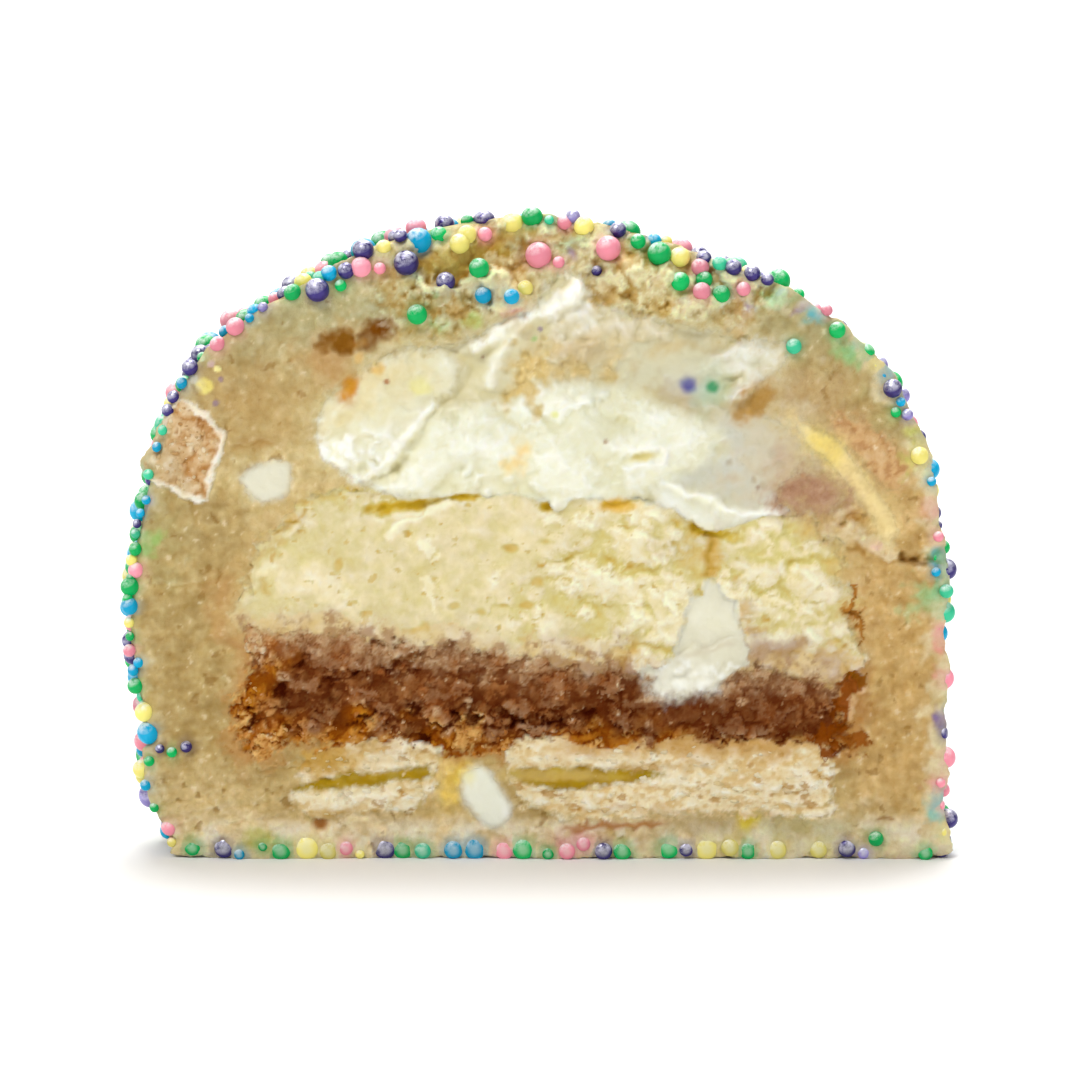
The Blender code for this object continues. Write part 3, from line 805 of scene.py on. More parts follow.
DOUGH_LOOK = stuff("cookie_dough", 0.50, 0.45, 0.00040, (1.0, 0.62, 0.28), 0.24, 2300, 0.00016, 0.25, specular=0.25)
CREAM_LOOK = stuff("cream", 0.38, 0.50, 0.00070, (1.0, 0.85, 0.55), 0.05, 1100, 0.00006, 0.08, 0.04, specular=0.3)
CAKE_LOOK = stuff("cheesecake", 0.52, 0.45, 0.00045, (1.0, 0.8, 0.4), 0.12, 2300, 0.00011, 0.2, hollow_shade_tint=(0.88, 0.78, 0.50), specular=0.2)
CRUST_LOOK = stuff("crumb_crust", 0.55, 0.35, 0.00035, (1.0, 0.45, 0.2), 0.35, 2300, 0.00024, 0.3, hollow_shade_tint=(0.70, 0.48, 0.30), specular=0.12)
BISCUIT_LOOK = stuff("biscuit", 0.60, 0.35, 0.00035, (1.0, 0.7, 0.4), 0.22, 2800, 0.00018, 0.3, hollow_shade_tint=(0.86, 0.74, 0.50), specular=0.15)
LEMON_LOOK = stuff("lemon_filling", 0.26, 0.50, 0.00080, (1.0, 0.7, 0.12), 0.12, 1500, 0.00008, 0.08, 0.15, specular=0.25)
WHITE_LOOK = stuff("sweet_chip", 0.36, 0.60, 0.00090, (1.0, 0.95, 0.8), 0.05, 1500, 0.00007, 0.10, 0.06, hollow_shade_tint=(0.85, 0.8, 0.7), specular=0.3)
CRUMB_LOOK = stuff("loose_crumbs", 0.45, 0.50, 0.00040, (1.0, 0.6, 0.3), 0.15, 3000, 0.00010, 0.2, specular=0.3)

# --------------------------------------------------------- the relief and the tints
MACRO = 0.20 * octaves(10, 13.0, 2)  # the knife's path from top to base


def wash(tint, c, x, z, wide, tall=None, turn=0.0, amount=1.0, edge=0.5, rough=0.25, seed=0):
    """A soft stain."""
    return paint(tint, colour(*c), amount * spot(x, z, wide, tall, turn, edge, rough, seed))


def dab(tint, height, c, x, z, wide, tall=None, turn=0.0, rise=0.0, amount=1.0, edge=0.35, rough=0.12, seed=0):
    """A small coloured place that also rises or sinks."""
    there = spot(x, z, wide, tall, turn, edge, rough, seed)
    height += rise * there
    return paint(tint, colour(*c), amount * there)


def along(tint, c, points, wide, amount=1.0, ends=0.25, rough=0.0, seed=0):
    """A stain that follows a line."""
    s = Stroke(points, wide * 3, rough, seed)
    share = np.zeros(X.shape)
    share[s.win] = np.exp(-((s.dist / wide) ** 2)) * s.taper(ends)
    return paint(tint, colour(*c), amount * share)


def speckled(tint, seed, size, share, c, amount, where=1.0):
    """Scattered dots."""
    return paint(tint, colour(*c), amount * pits(seed, size, share) * where)


def between(line, points):
    """How far each place lies above a broken line given by its points."""
    xs, zs = zip(*points)
    return line - np.interp(X, xs, zs)


def billow(seed, size, count=4, fall=0.62, stretch=1.0, turn=0.0):
    """Lumps of several sizes that swell between fine creases, of unit spread."""
    made = sum(np.abs(field(seed + k, size * stretch / 2**k, size / 2**k, turn)) * fall**k for k in range(count))
    made -= made.mean()
    return made / made.std()


def varied(tint, seed, size, amount, hue=(0.8, 1.0, 1.6), count=4, fall=0.7):
    """The uneven depth of food that lets light in: paler in places, and more golden in others."""
    wave = np.clip(octaves(seed, size, count, fall), -2.2, 2.2)[..., None]
    return np.clip(tint * np.exp(amount * wave * np.asarray(hue)), 0, 0.96)


def pocks(seed, size, share, stretch=1.0, edge=0.8):
    """The depth of scattered uneven hollows, from 0 to 1, which cover about this share of the face."""
    wave = octaves(seed, size, 3, 0.5, stretch)
    level = np.quantile(wave, 1 - share)
    return smooth(level, level + edge, wave)


FOOT = [(-25.95, 19.3), (-23.35, 19.1), (-19.95, 19.4), (-16.95, 19.4), (-14.45, 18.5), (-10.85, 18.2), (-7.35, 18.4), (-4.05, 17.7), (-1.95, 16.8), (1.05, 17.6), (5.05, 17.1), (9.05, 16.1), (13.05, 14.9), (17.05, 15.5), (21.05, 15.9), (25.05, 15.5), (28.05, 15.3)]
ABOVE_FOOT = between(Z, FOOT) + 0.25 * octaves(300, 1.3, 3, 0.7)

def ragged(a, seed, size, far):
    """The same map with every place shifted a little, so that its edges turn jagged."""
    row = (Z - ZS[0] + far * octaves(seed, size, 3, 0.5)) / H
    col = (X - XS[0] + far * octaves(seed + 700, size, 3, 0.5)) / H
    return a[np.clip(np.round(row).astype(int), 0, NZ - 1), np.clip(np.round(col).astype(int), 0, NX - 1)]


# ------------------------------------------------------------------ the dough
TOP_TORN = smooth(43.5, 47.0, Z + 0.8 * field(301, 4.0)) * smooth(-17.0, -10.5, X) * smooth(23.5, 16.0, X)
dough_h = MACRO + 0.14 * octaves(20, 9.0, 2, 0.4) + 0.040 * billow(24, 2.4, 3, 0.5) + 0.022 * octaves(27, 0.7, 2)
drag = smooth(27, 20, Z) * smooth(-19, -23, X) + 0.8 * smooth(8, 4, Z) * smooth(-20, -23, X)
dough_h += 0.020 * drag * field(31, 3.0, 0.45, 8)
dough_pores = pocks(33, 0.9, 0.05)
dough_h -= 0.09 * dough_pores
torn_lumps = ragged(billow(35, 3.4, 3, 0.42), 555, 1.2, 0.20)
dough_h += TOP_TORN * (0.22 * torn_lumps + 0.025 * octaves(38, 0.7, 2))
dough_h -= 2.2 * smooth(48.0, 54.6, Z) * smooth(-19.0, -9.0, X) * smooth(25.0, 15.0, X)
low_right = smooth(27.5, 24.0, X) * smooth(26, 20, Z)
dough_h += 0.05 * smooth(22, 26, X) * smooth(32, 26, Z) * billow(29, 2.2, 3, 0.5)

dough_t = plain(colour(186, 161, 105))
dough_t = wash(dough_t, (198, 171, 118), -24.95, 40.5, 7.0, 6.0, 40, 0.7, 0.8)
dough_t = wash(dough_t, (224, 206, 152), -21.15, 32.3, 4.6, 3.6, 0, 0.75, 0.8, 0.3, 326)
dough_t = wash(dough_t, (206, 188, 136), -21.95, 37, 4.0, 3.0, 40, 0.5, 0.8)
dough_t = wash(dough_t, (202, 190, 142), -14.95, 45.5, 6.0, 2.4, 20, 0.6, 0.8)
dough_t = paint(dough_t, colour(169, 170, 129), 0.55 * smooth(38, 47, Z))
dough_t = paint(dough_t, colour(208, 192, 136), 0.45 * TOP_TORN)
dough_t = paint(dough_t, colour(207, 171, 108), 0.85 * smooth(24, 28, X) * smooth(40, 30, Z))
dough_t = paint(dough_t, colour(242, 228, 196), 0.9 * smooth(4.9, 1.6, Z + 0.9 * octaves(328, 2.6, 3)))
dough_t = paint(dough_t, colour(208, 188, 140), 0.5 * smooth(9, 4, Z) * smooth(-24, -27, X))
dough_t = paint(dough_t, colour(210, 184, 126), 0.5 * smooth(9, 4, Z))
dough_t = wash(dough_t, (222, 194, 122), -7.85, 6.5, 2.4, 3.2, 0, 0.9, 0.7)
dough_t = wash(dough_t, (238, 206, 84), -7.15, 6.8, 0.8, 1.1, -30, 0.7, 0.8, 0.4, 350)
dough_t = wash(dough_t, (206, 176, 120), -23.15, 16.5, 2.4, 5.0, 0, 0.6, 0.8, 0.3, 346)
# the pearls' dye and the light of the thin skin
dough_t = wash(dough_t, (178, 170, 118), -32.35, 28.5, 1.8, 4.0, 10, 0.5, 0.9, 0.3, 347)
dough_t = wash(dough_t, (176, 168, 116), 29.25, 37, 2.0, 3.2, 30, 0.45, 0.9, 0.3, 348)
dough_t = varied(dough_t, 302, 4.5, 0.050, (0.8, 0.9, 1.2), 3)
dough_t = varied(dough_t, 303, 0.8, 0.085, (0.8, 1.0, 1.5), 2, 0.8)
# painted shade: the pores are painted darker
dough_t = paint(dough_t, colour(150, 116, 62), 0.5 * dough_pores)
dough_t = paint(dough_t, colour(238, 226, 190), 0.40 * pocks(304, 0.5, 0.05))

dough_t = paint(dough_t, colour(240, 232, 210), 0.85 * smooth(3.8, 2.4, Z) * smooth(-0.7, 0.8, octaves(331, 2.0, 3)))
dough_t = wash(dough_t, (188, 186, 84), -23.15, 1.2, 2.0, 0.9, 0, 0.7, 0.8, 0.4, 483)
dough_t = wash(dough_t, (178, 174, 118), 21.25, 2.8, 4.0, 1.2, 0, 0.6, 0.9, 0.3, 484)
dough_t = wash(dough_t, (180, 158, 108), 14.05, 3.4, 4.6, 1.0, 0, 0.6, 0.9, 0.3, 485)
dough_t = wash(dough_t, (216, 194, 52), 17.25, 3.2, 0.85, 0.95, 0, 0.85, 0.7, 0.2, 486)
dough_t = wash(dough_t, (206, 150, 140), 2.55, 1.6, 1.6, 0.9, 0, 0.5, 0.9, 0.3, 487)
# painted shade: a golden-brown wash on the shadow side of a hollow at the upper left
dough_t = wash(dough_t, (184, 150, 88), -22.95, 37.8, 3.2, 3.8, 20, 0.50, 0.8, 0.3, 561)
# pearls crushed into the dough at the upper left
for px, pz, w, t, turn, c in ((-27.95, 40.1, 0.70, 0.55, 30, (238, 222, 124)), (-28.85, 40.6, 0.34, 0.40, 0, (194, 192, 200)), (-26.95, 41.4, 0.28, 0.24, 0, (242, 228, 152)), (-27.45, 41.8, 0.30, 0.26, 0, (204, 172, 172)), (-28.25, 42.3, 0.34, 0.30, 20, (228, 234, 216)), (-26.65, 40.6, 0.20, 0.20, 0, (150, 120, 140)), (-27.05, 38.6, 0.22, 0.20, 0, (150, 120, 140))):
    dough_t = dab(dough_t, dough_h, c, px, pz, w, t, turn, 0.10, 0.9, 0.35, 0.25, 560)
# the melted skin on the right
skin = smooth(-2.2, -0.3, D_DOUGH + 0.6 * octaves(488, 1.6, 3)) * smooth(23, 27, X)
dough_t = paint(dough_t, colour(236, 224, 184), 0.75 * skin)
for px, pz, w, t, turn, c in ((19.25, 48.1, 1.0, 0.8, 30, (120, 190, 110)), (19.85, 47, 1.1, 0.5, 10, (110, 206, 160)), (22.65, 46.1, 0.9, 0.7, 35, (60, 186, 206)), (21.65, 46.8, 0.9, 0.4, 40, (170, 150, 180)), (20.05, 47.8, 0.4, 0.3, 0, (90, 190, 210)), (26.25, 43.5, 0.8, 0.6, 45, (70, 190, 200)), (25.65, 42.7, 0.9, 1.1, 30, (150, 200, 130)), (28.85, 40.9, 0.5, 0.9, 20, (40, 180, 200)), (30.85, 35.3, 0.7, 1.8, -20, (212, 220, 110)), (32.35, 32.3, 0.5, 0.5, 0, (60, 180, 200)), (32.25, 33.3, 0.8, 1.0, 0, (236, 232, 190)), (33.05, 25, 0.9, 0.9, 0, (30, 160, 190)), (33.45, 23.1, 1.1, 0.7, 10, (60, 186, 130)), (32.25, 22.3, 1.6, 1.4, 0, (170, 200, 140)), (33.65, 19, 0.5, 1.6, -8, (236, 150, 150)), (33.95, 11.5, 0.5, 1.2, 10, (120, 100, 170)), (33.65, 6.5, 0.8, 1.0, 0, (240, 180, 180)), (33.45, 4, 0.8, 1.4, 0, (110, 200, 200)), (15.05, 47, 1.4, 0.5, -10, (206, 196, 220)), (11.65, 46.7, 0.9, 0.5, 30, (196, 176, 206)), (16.85, 46.2, 0.3, 0.4, 0, (170, 130, 170)), (2.35, 51.9, 1.1, 0.8, 0, (206, 226, 200)), (0.65, 49.9, 0.7, 0.5, -20, (232, 170, 190)), (2.55, 50.9, 0.3, 0.5, 20, (160, 130, 180)), (10.55, 48.3, 0.5, 0.4, 0, (236, 214, 60)), (-1.95, 46.3, 0.9, 0.7, 30, (232, 180, 180)), (-2.15, 46.9, 0.4, 0.3, 0, (170, 130, 160)), (-8.85, 44.8, 0.9, 0.6, -20, (170, 216, 150)), (-10.05, 48.8, 0.5, 0.5, 0, (150, 190, 160)), (-8.75, 47.7, 0.3, 0.3, 0, (120, 200, 130)), (-5.55, 45.5, 0.5, 0.5, 0, (190, 214, 130)), (-8.65, 51.7, 0.8, 0.4, 0, (190, 180, 206)), (-31.95, 38, 0.6, 1.0, 20, (190, 180, 150)), (-32.95, 27.3, 0.8, 0.9, 0, (150, 196, 110)), (-33.25, 30.3, 0.6, 0.6, 0, (190, 160, 180)), (-32.75, 33.3, 0.5, 0.6, 0, (60, 180, 160)), (-34.35, 24.5, 0.5, 0.6, 0, (240, 190, 200))):
    dough_t = wash(dough_t, c, px, pz, w, t, turn, 0.8, 0.8, 0.5, 489)
# painted shade in a small hole at the top right, with a darker golden place round it
dough_t = dab(dough_t, dough_h, (96, 56, 20), 16.75, 44, 0.5, 0.4, 0, -0.3, 0.9, 0.6, 0.4, 521)
dough_t = wash(dough_t, (196, 150, 76), 16.65, 44.5, 1.0, 0.8, 20, 0.8, 0.8, 0.4, 522)
dough_t = wash(dough_t, (110, 80, 50), 15.45, 44.6, 0.22, 0.2, 0, 0.9)
# torn flaps at the right, above the crack
for px, pz, w, t, turn, seed in ((24.25, 28.3, 1.3, 0.8, -10, 523), (25.65, 27.6, 1.8, 0.9, 8, 524), (27.45, 27.1, 1.1, 0.7, 20, 525), (25.05, 29.4, 1.3, 0.6, 10, 526), (28.65, 26.3, 0.9, 0.7, 20, 527)):
    there = spot(px, pz, w, t, turn, 0.4, 0.35, seed)
    dough_h += 0.20 * there
    dough_t = paint(dough_t, colour(226, 204, 158), 0.75 * there)
# painted shadow: dark lines along the sunk creases beside the flaps
for line, wide, c in (([(27.65, 29.5), (26.45, 29.1), (25.45, 28.9)], 0.40, (186, 140, 56)), ([(24.85, 26.9), (26.25, 26.5), (27.45, 26.1)], 0.35, (196, 152, 84)), ([(29.35, 25.5), (30.85, 25.2), (32.45, 25.6)], 0.25, (120, 82, 32))):
    s = Stroke(line, wide * 3, 0.25, 528)
    dough_h[s.win] -= 0.25 * np.exp(-((s.dist / wide) ** 2)) * s.taper(0.25)
    dough_t = along(dough_t, c, line, wide, 0.9, 0.25, 0.25, 528)
dough_t = wash(dough_t, (240, 200, 196), 27.65, 26.6, 0.7, 0.4, 0, 0.8, 0.6)

# the torn pocket under the top and its ragged lip
POCKET = [(-10.85, 50.4), (-10.55, 51.2), (-9.45, 51.6), (-7.95, 51.8), (-6.45, 52), (-5.15, 52.3), (-4.35, 52.6), (-3.55, 52.2), (-2.85, 51.2), (-2.45, 50.1), (-1.95, 49), (-1.85, 48.2), (-2.35, 48.7), (-2.85, 49.5), (-3.75, 49.7), (-4.65, 49.5), (-5.15, 49.7), (-5.75, 49.1), (-6.45, 48.6), (-7.05, 48.2), (-7.55, 48.2), (-8.05, 48.6), (-8.95, 48.2), (-9.45, 48.6), (-10.05, 49.1), (-10.65, 49.5)]
L_POCKET = inside(POCKET) + 0.20 * octaves(306, 1.1, 3)
LIP = np.interp(X, *zip(*[(-11.35, 48.7), (-10.05, 48.6), (-8.95, 48.2), (-7.55, 48.2), (-6.45, 48.6), (-5.15, 49.7), (-3.75, 49.7), (-2.85, 49.5), (-1.85, 48.2)]))
hollow = smooth(0.30, -0.50, L_POCKET)
dough_h = mix(dough_h, MACRO - 0.6 - 0.8 * smooth(3.6, 0.3, Z - LIP) - 1.1 * smooth(49.5, 53.5, Z) + 0.06 * octaves(307, 1.6, 2), hollow)
lip = np.exp(-(((L_POCKET - 0.35) / 0.4) ** 2)) * smooth(0.5, -0.3, Z - LIP)
dough_h += (0.22 + 0.06 * billow(344, 1.2, 2, 0.5)) * lip
# painted shade: the pocket is painted a darker golden, deepest towards its right
dough_t = paint(dough_t, colour(196, 172, 92), 0.95 * smooth(0.5, -0.4, L_POCKET))
dough_t = wash(dough_t, (172, 132, 42), -4.15, 50.7, 1.9, 1.4, -20, 0.85, 0.6)
dough_t = wash(dough_t, (190, 168, 86), -7.95, 49.1, 2.6, 0.8, 0, 0.6, 0.5)
dough_t = paint(dough_t, colour(214, 198, 150), 0.55 * lip)
# a second small hollow on its right, above the cream, painted darker as shade
dough_t = dab(dough_t, dough_h, (196, 150, 76), -1.65, 48.7, 0.8, 1.3, 10, -0.6, 0.85, 0.6)
# sugary crust lumps at the top right
lump = spot(8.45, 48.4, 2.6, 1.7, -20, 0.4, 0.3, 308)
dough_h += lump * (0.40 + 0.14 * billow(309, 1.8, 3, 0.5))
dough_t = paint(dough_t, colour(222, 204, 146), 0.75 * lump)
# painted shade in two sunk hollows beside the lumps
dough_t = dab(dough_t, dough_h, (204, 164, 84), 5.25, 47.5, 1.4, 0.9, 10, -0.6, 0.8, 0.6, 0.3)
dough_t = dab(dough_t, dough_h, (216, 186, 102), 9.65, 46.2, 1.8, 0.6, 18, -0.4, 0.75, 0.6, 0.3)
dough_t = dab(dough_t, dough_h, (222, 206, 152), -0.15, 52.5, 1.6, 0.7, -8, 0.3, 0.8)
dough_t = wash(dough_t, (232, 226, 206), 15.05, 47.3, 2.4, 1.6, -30, 0.55)
dough_t = dab(dough_t, dough_h, (222, 218, 206), 15.05, 49.1, 1.1, 0.45, -20, 0.1, 0.8)
# hollows at the upper left, painted dark brown as shade
dough_t = wash(dough_t, (194, 152, 96), -17.55, 41.9, 1.8, 2.4, 25, 0.7, 0.8, 0.3, 310)
dough_t = wash(dough_t, (200, 162, 100), -15.15, 43.7, 3.0, 1.4, 12, 0.65, 0.8, 0.4, 327)
dough_t = dab(dough_t, dough_h, (136, 86, 0), -16.35, 43.9, 1.6, 0.90, 12, -0.30, 0.95, 0.50, 0.30, 311)
dough_t = dab(dough_t, dough_h, (122, 70, 0), -13.85, 44.4, 1.50, 1.25, 25, -0.30, 1.0, 0.40, 0.22, 312)
dough_t = dab(dough_t, dough_h, (182, 132, 60), -15.15, 43.6, 0.8, 0.4, 20, -0.2, 0.7, 0.8, 0.4, 343)
# tear lines, with painted shade along three of them
ledge(dough_h, [(-33.55, 23.3), (-32.15, 23.6), (-30.65, 23.3), (-29.15, 23.6), (-27.75, 23.3)], 0.16, 0.8, seed=314)
ledge(dough_h, [(-26.35, 34.5), (-24.95, 35.1), (-23.45, 35.5), (-21.65, 35.3)], 0.22, 0.6, seed=315)
ledge(dough_h, [(34.25, 25.2), (32.55, 25.7), (31.05, 25.4), (29.25, 25.6)], 0.45, 0.7, 0.2, 0.3, 316)
ledge(dough_h, [(27.65, 28.9), (26.25, 29.4), (25.25, 28.9), (24.45, 28.1)], 0.45, 0.5, 0.2, 0.3, 317)
ledge(dough_h, [(-24.95, 8.5), (-23.15, 7.8), (-21.15, 8), (-18.95, 8.5)], 0.2, 0.6, seed=318)
dough_t = along(dough_t, (176, 138, 78), [(-26.05, 34.7), (-24.45, 35.3), (-21.85, 35.2)], 0.4, 0.5)
dough_t = along(dough_t, (190, 140, 60), [(27.45, 29.1), (26.25, 29.5), (25.35, 28.8)], 0.6, 0.85, 0.25, 0.2, 342)
dough_t = along(dough_t, (150, 106, 48), [(33.65, 25.5), (31.25, 25.3), (29.35, 25.6)], 0.25, 0.7, 0.25, 0.2, 345)
dough_t = dab(dough_t, dough_h, (170, 106, 44), -18.85, 3, 0.5, 0.45, 0, -0.2, 0.85, 0.7, 0.3, 410)
dough_t = along(dough_t, (176, 112, 48), [(1.05, 2.5), (4.05, 2.7), (6.05, 2.7), (9.05, 3.2), (11.25, 3.5)], 0.3, 0.85, 0.2, 0.25, 319)
dough_t = along(dough_t, (150, 100, 50), [(27.95, 3.3), (29.05, 3.6), (29.95, 3.3)], 0.12, 0.7)
dough_t = wash(dough_t, (196, 140, 82), -24.95, 11.5, 1.0, 3.5, 0, 0.45, 0.8)
dough_t = wash(dough_t, (200, 146, 84), -26.25, 21.3, 1.4, 2.6, 0, 0.45, 0.9, 0.4, 320)
dough_t = wash(dough_t, (190, 146, 92), -24.75, 18.3, 1.2, 1.5, 0, 0.5, 0.9, 0.4, 321)
dough_t = wash(dough_t, (204, 164, 110), 26.25, 18.5, 1.2, 5.0, 0, 0.5, 0.9, 0.3, 322)
dough_t = wash(dough_t, (208, 198, 176), 19.55, 34.5, 3.0, 4.5, 10, 0.7, 0.8, 0.3, 324)
dough_t = wash(dough_t, (210, 186, 134), 24.05, 26.5, 2.6, 1.8, 0, 0.6, 0.8)
dough_t = wash(dough_t, (198, 166, 124), 22.05, 39.5, 4.5, 2.4, -20, 0.4, 0.9)
# amber cracks beside the right end of the crust and the cheesecake
dough_t = wash(dough_t, (176, 122, 66), 25.65, 13.3, 1.9, 3.2, 0, 0.6, 0.9, 0.4, 412)
for px, pz, w, t in ((25.95, 13.7, 0.6, 0.5), (25.65, 12.7, 0.5, 0.6), (24.75, 9.1, 0.5, 0.4), (26.85, 14.5, 0.7, 0.4)):
    dough_t = dab(dough_t, dough_h, (216, 178, 128), px, pz, w, t, 0, 0.2, 0.8, 0.5, 0.4, 529)
chunks = ragged(billow(552, 3.4, 2, 0.45), 553, 1.1, 0.28)
torn_zone = TOP_TORN * smooth(0.2, 1.0, L_CREAM)
dough_h += 0.26 * torn_zone * chunks
# painted light on the high chunks and painted shade between them
dough_t = paint(dough_t, colour(232, 218, 176), 0.60 * torn_zone * smooth(0.0, 1.2, chunks))
dough_t = paint(dough_t, colour(196, 158, 84), 0.60 * torn_zone * smooth(-0.3, -1.2, chunks))
dough_t = dough_t * (1 - 0.07 * smooth(20, 25, X) * smooth(38, 30, Z))[..., None]
# by its own skin the dough is paler and takes up a little of the pearls' sugar
dough_t = paint(dough_t, colour(216, 206, 168), 0.5 * smooth(-1.6, 0.0, D_DOUGH + 0.5 * octaves(325, 1.5, 3)))
# a stain next to the fillings
near_cake = smooth(2.6, 0.0, L_CAKE + 0.5 * octaves(329, 2.0, 3)) * (L_CREAM > 0.6)
dough_t = paint(dough_t, colour(212, 184, 126), 0.6 * near_cake)
near_crust = smooth(1.4, 0.0, L_CRUST + 0.4 * octaves(397, 1.3, 3)) * smooth(19.5, 16.5, Z)
dough_t = paint(dough_t, colour(188, 138, 76), 0.6 * near_crust)
near_cream = smooth(2.4, 0.0, L_CREAM + 0.5 * octaves(396, 2.0, 3))
dough_t = paint(dough_t, colour(212, 196, 146), 0.6 * near_cream)

# painted shade in the dough's hollows and painted light on its crests
dough_t = painted_relief_shading(dough_t, dough_h, 0.9, 0.50, (0.30, 0.60, 1.6), 0.60)
dough_t = painted_relief_shading(dough_t, dough_h, 0.3, 1.5, (0.30, 0.65, 1.3), 0.60)

# ------------------------------------------------------------------ the cream
def pillow(points, base, tall, wide, fall=1.2, rough=0.12, seed=0):
    """A lobe of cream: its height, which rises from its outline like a cushion, and how far inside its outline each place is."""
    level = inside(points) + rough * octaves(seed, 1.7, 4, 0.6)
    return base + tall * (1 - np.exp(np.clip(level, -9, 0) / wide)) - fall * np.clip(level, 0, 3), level


L_CREAM -= 0.9 * spot(1.35, 30.4, 0.6, 0.9) + 0.7 * spot(-4.55, 31.3, 0.5, 0.5) + 0.6 * spot(19.25, 29.7, 1.8, 0.35)
LOBES = {
    "body": ([(-11.85, 32.7), (-11.15, 34.7), (-9.75, 36.6), (-7.95, 37.9), (-4.95, 38.8), (-2.45, 38.7), (-0.65, 39.7), (1.05, 40.4), (4.45, 40.4), (7.55, 39.9), (9.65, 38.8), (11.65, 37.6), (13.85, 36.9), (15.45, 35.7), (15.05, 34.2), (12.25, 33.3), (10.85, 31.9), (8.45, 30.9), (5.05, 30.3), (1.55, 29.7), (-1.95, 30.3), (-4.95, 30.9), (-7.95, 30.5), (-10.95, 30.6), (-13.15, 30.9), (-14.55, 31.4), (-13.35, 32.3)], 0.00, 1.05, 2.0, 0.8, 0.12, 401),
    "flat": ([(-18.95, 35.3), (-18.35, 37.1), (-17.65, 38.5), (-16.35, 39.9), (-14.75, 41), (-12.45, 42.1), (-9.95, 42.7), (-7.75, 42.3), (-7.15, 40.7), (-8.35, 39.1), (-9.85, 37.3), (-11.15, 35.5), (-12.45, 33.8), (-13.85, 32.6), (-15.85, 32), (-17.35, 33.3)], 0.10, 0.30, 1.2, 0.9, 0.22, 402),
    "right": ([(9.05, 37.1), (14.05, 37.2), (15.65, 37.4), (18.55, 37.3), (20.35, 36.1), (21.05, 33.9), (20.65, 31.3), (20.35, 29.5), (18.25, 29.4), (16.55, 29.4), (15.05, 29.9), (13.85, 30.6), (12.05, 30.9), (10.25, 31.7), (8.05, 33), (8.25, 35)], 0.15, 0.40, 1.8, 0.5, 0.14, 403),
    "lip": ([(8.95, 31.9), (10.55, 31.9), (12.25, 31.1), (14.15, 30.7), (15.25, 30), (16.65, 29.6), (18.55, 29.6), (20.05, 29.5), (18.85, 29.1), (16.65, 28.6), (15.05, 27.9), (13.45, 28), (11.65, 28.8), (10.05, 29.9), (9.05, 30.9)], 0.15, 0.42, 0.8, 0.9, 0.08, 404),
    "back": ([(0.65, 41.7), (5.05, 43.5), (10.05, 44.1), (14.05, 43.7), (15.25, 42.5), (14.85, 40), (15.45, 37.9), (13.65, 37.2), (11.25, 37.9), (9.05, 38.9), (7.05, 39.7), (4.45, 40.1), (1.05, 39.9)], -0.15, 0.35, 1.4, 0.5, 0.16, 405),
    "torn": ([(12.85, 41.1), (13.95, 42.3), (16.15, 43.3), (17.75, 43.9), (20.25, 43.9), (20.75, 42.7), (20.05, 41.3), (18.75, 40.6), (17.35, 39.6), (15.75, 38.6), (14.95, 39.1), (15.85, 40.1), (16.65, 41.1), (15.05, 41.2)], 0.10, 0.50, 0.6, 1.6, 0.18, 406),
    "peak": ([(0.65, 43.5), (0.75, 46.3), (1.55, 48.3), (2.75, 49.3), (4.05, 48.8), (4.85, 47.4), (6.55, 46.4), (9.05, 45.8), (10.65, 44.7), (10.05, 43.5), (7.25, 43.2), (5.25, 43.3), (3.55, 42.3), (1.45, 42.2)], 0.05, 0.60, 0.9, 1.2, 0.22, 407),
}
lobes = {}
stack = 0 * X
for name, (points, base, tall, wide, fall, rough, seed) in LOBES.items():
    high, lobes[name] = pillow(points, base, tall, wide, fall, rough, seed)
    stack = stack + np.exp(np.clip(high, -1.5, 3) / 0.10)
cream_h = 0.10 * np.log(stack + math.exp(-6.0))
in_body, in_flat, in_right, in_lip, in_back, in_torn, in_peak = (smooth(s, -s - 0.2, lobes[k]) for k, s in zip(LOBES, (0.7, 0.6, 1.6, 0.9, 1.1, 0.5, 0.6)))
cream_h += MACRO + 0.10 * octaves(40, 6.0, 2) + 0.085 * octaves(43, 2.8, 3, 0.5) * (0.5 + 0.5 * in_body) + 0.024 * billow(44, 1.2, 3, 0.5) + 0.020 * field(41, 3.0, 0.6, 12)
cream_h += 0.35 * spot(1.05, 34.5, 9.0, 2.6, -3, 0.9) * in_body - 0.25 * spot(-7.95, 32.3, 7.0, 1.4, -4, 0.9)
# the knife's crease, with its thin bright lip
ridge(cream_h, [(-16.15, 32.3), (-14.75, 32.5), (-13.65, 33.1), (-12.45, 34.3), (-11.35, 35.6), (-10.05, 37.2), (-8.55, 39)], 0.28, 0.46, 0.1, 0.25, 408)
fluff = billow(530, 1.9, 3, 0.5)
low_flap = in_flat * smooth(37.2, 35.2, Z + 0.4 * field(531, 2.0))
folds = ragged(billow(545, 4.6, 3, 0.5, 1.7, 8), 546, 1.2, 0.25)
cream_h += (0.05 + 0.12 * low_flap) * fluff * in_flat + 0.16 * folds * in_body + 0.02 * fluff * in_body
ridge(cream_h, [(-11.65, 32.7), (-10.95, 34.4), (-9.75, 36.3), (-8.55, 37.9)], -0.32, 0.8)
ridge(cream_h, [(-15.85, 36.2), (-14.75, 36.4), (-13.55, 36.3), (-12.15, 36.4)], 0.22, 0.40, 0.3, 0.15, 430)
ridge(cream_h, [(-15.75, 34.4), (-14.55, 34.9), (-13.15, 34.8)], 0.26, 0.55, 0.3, 0.15, 409)
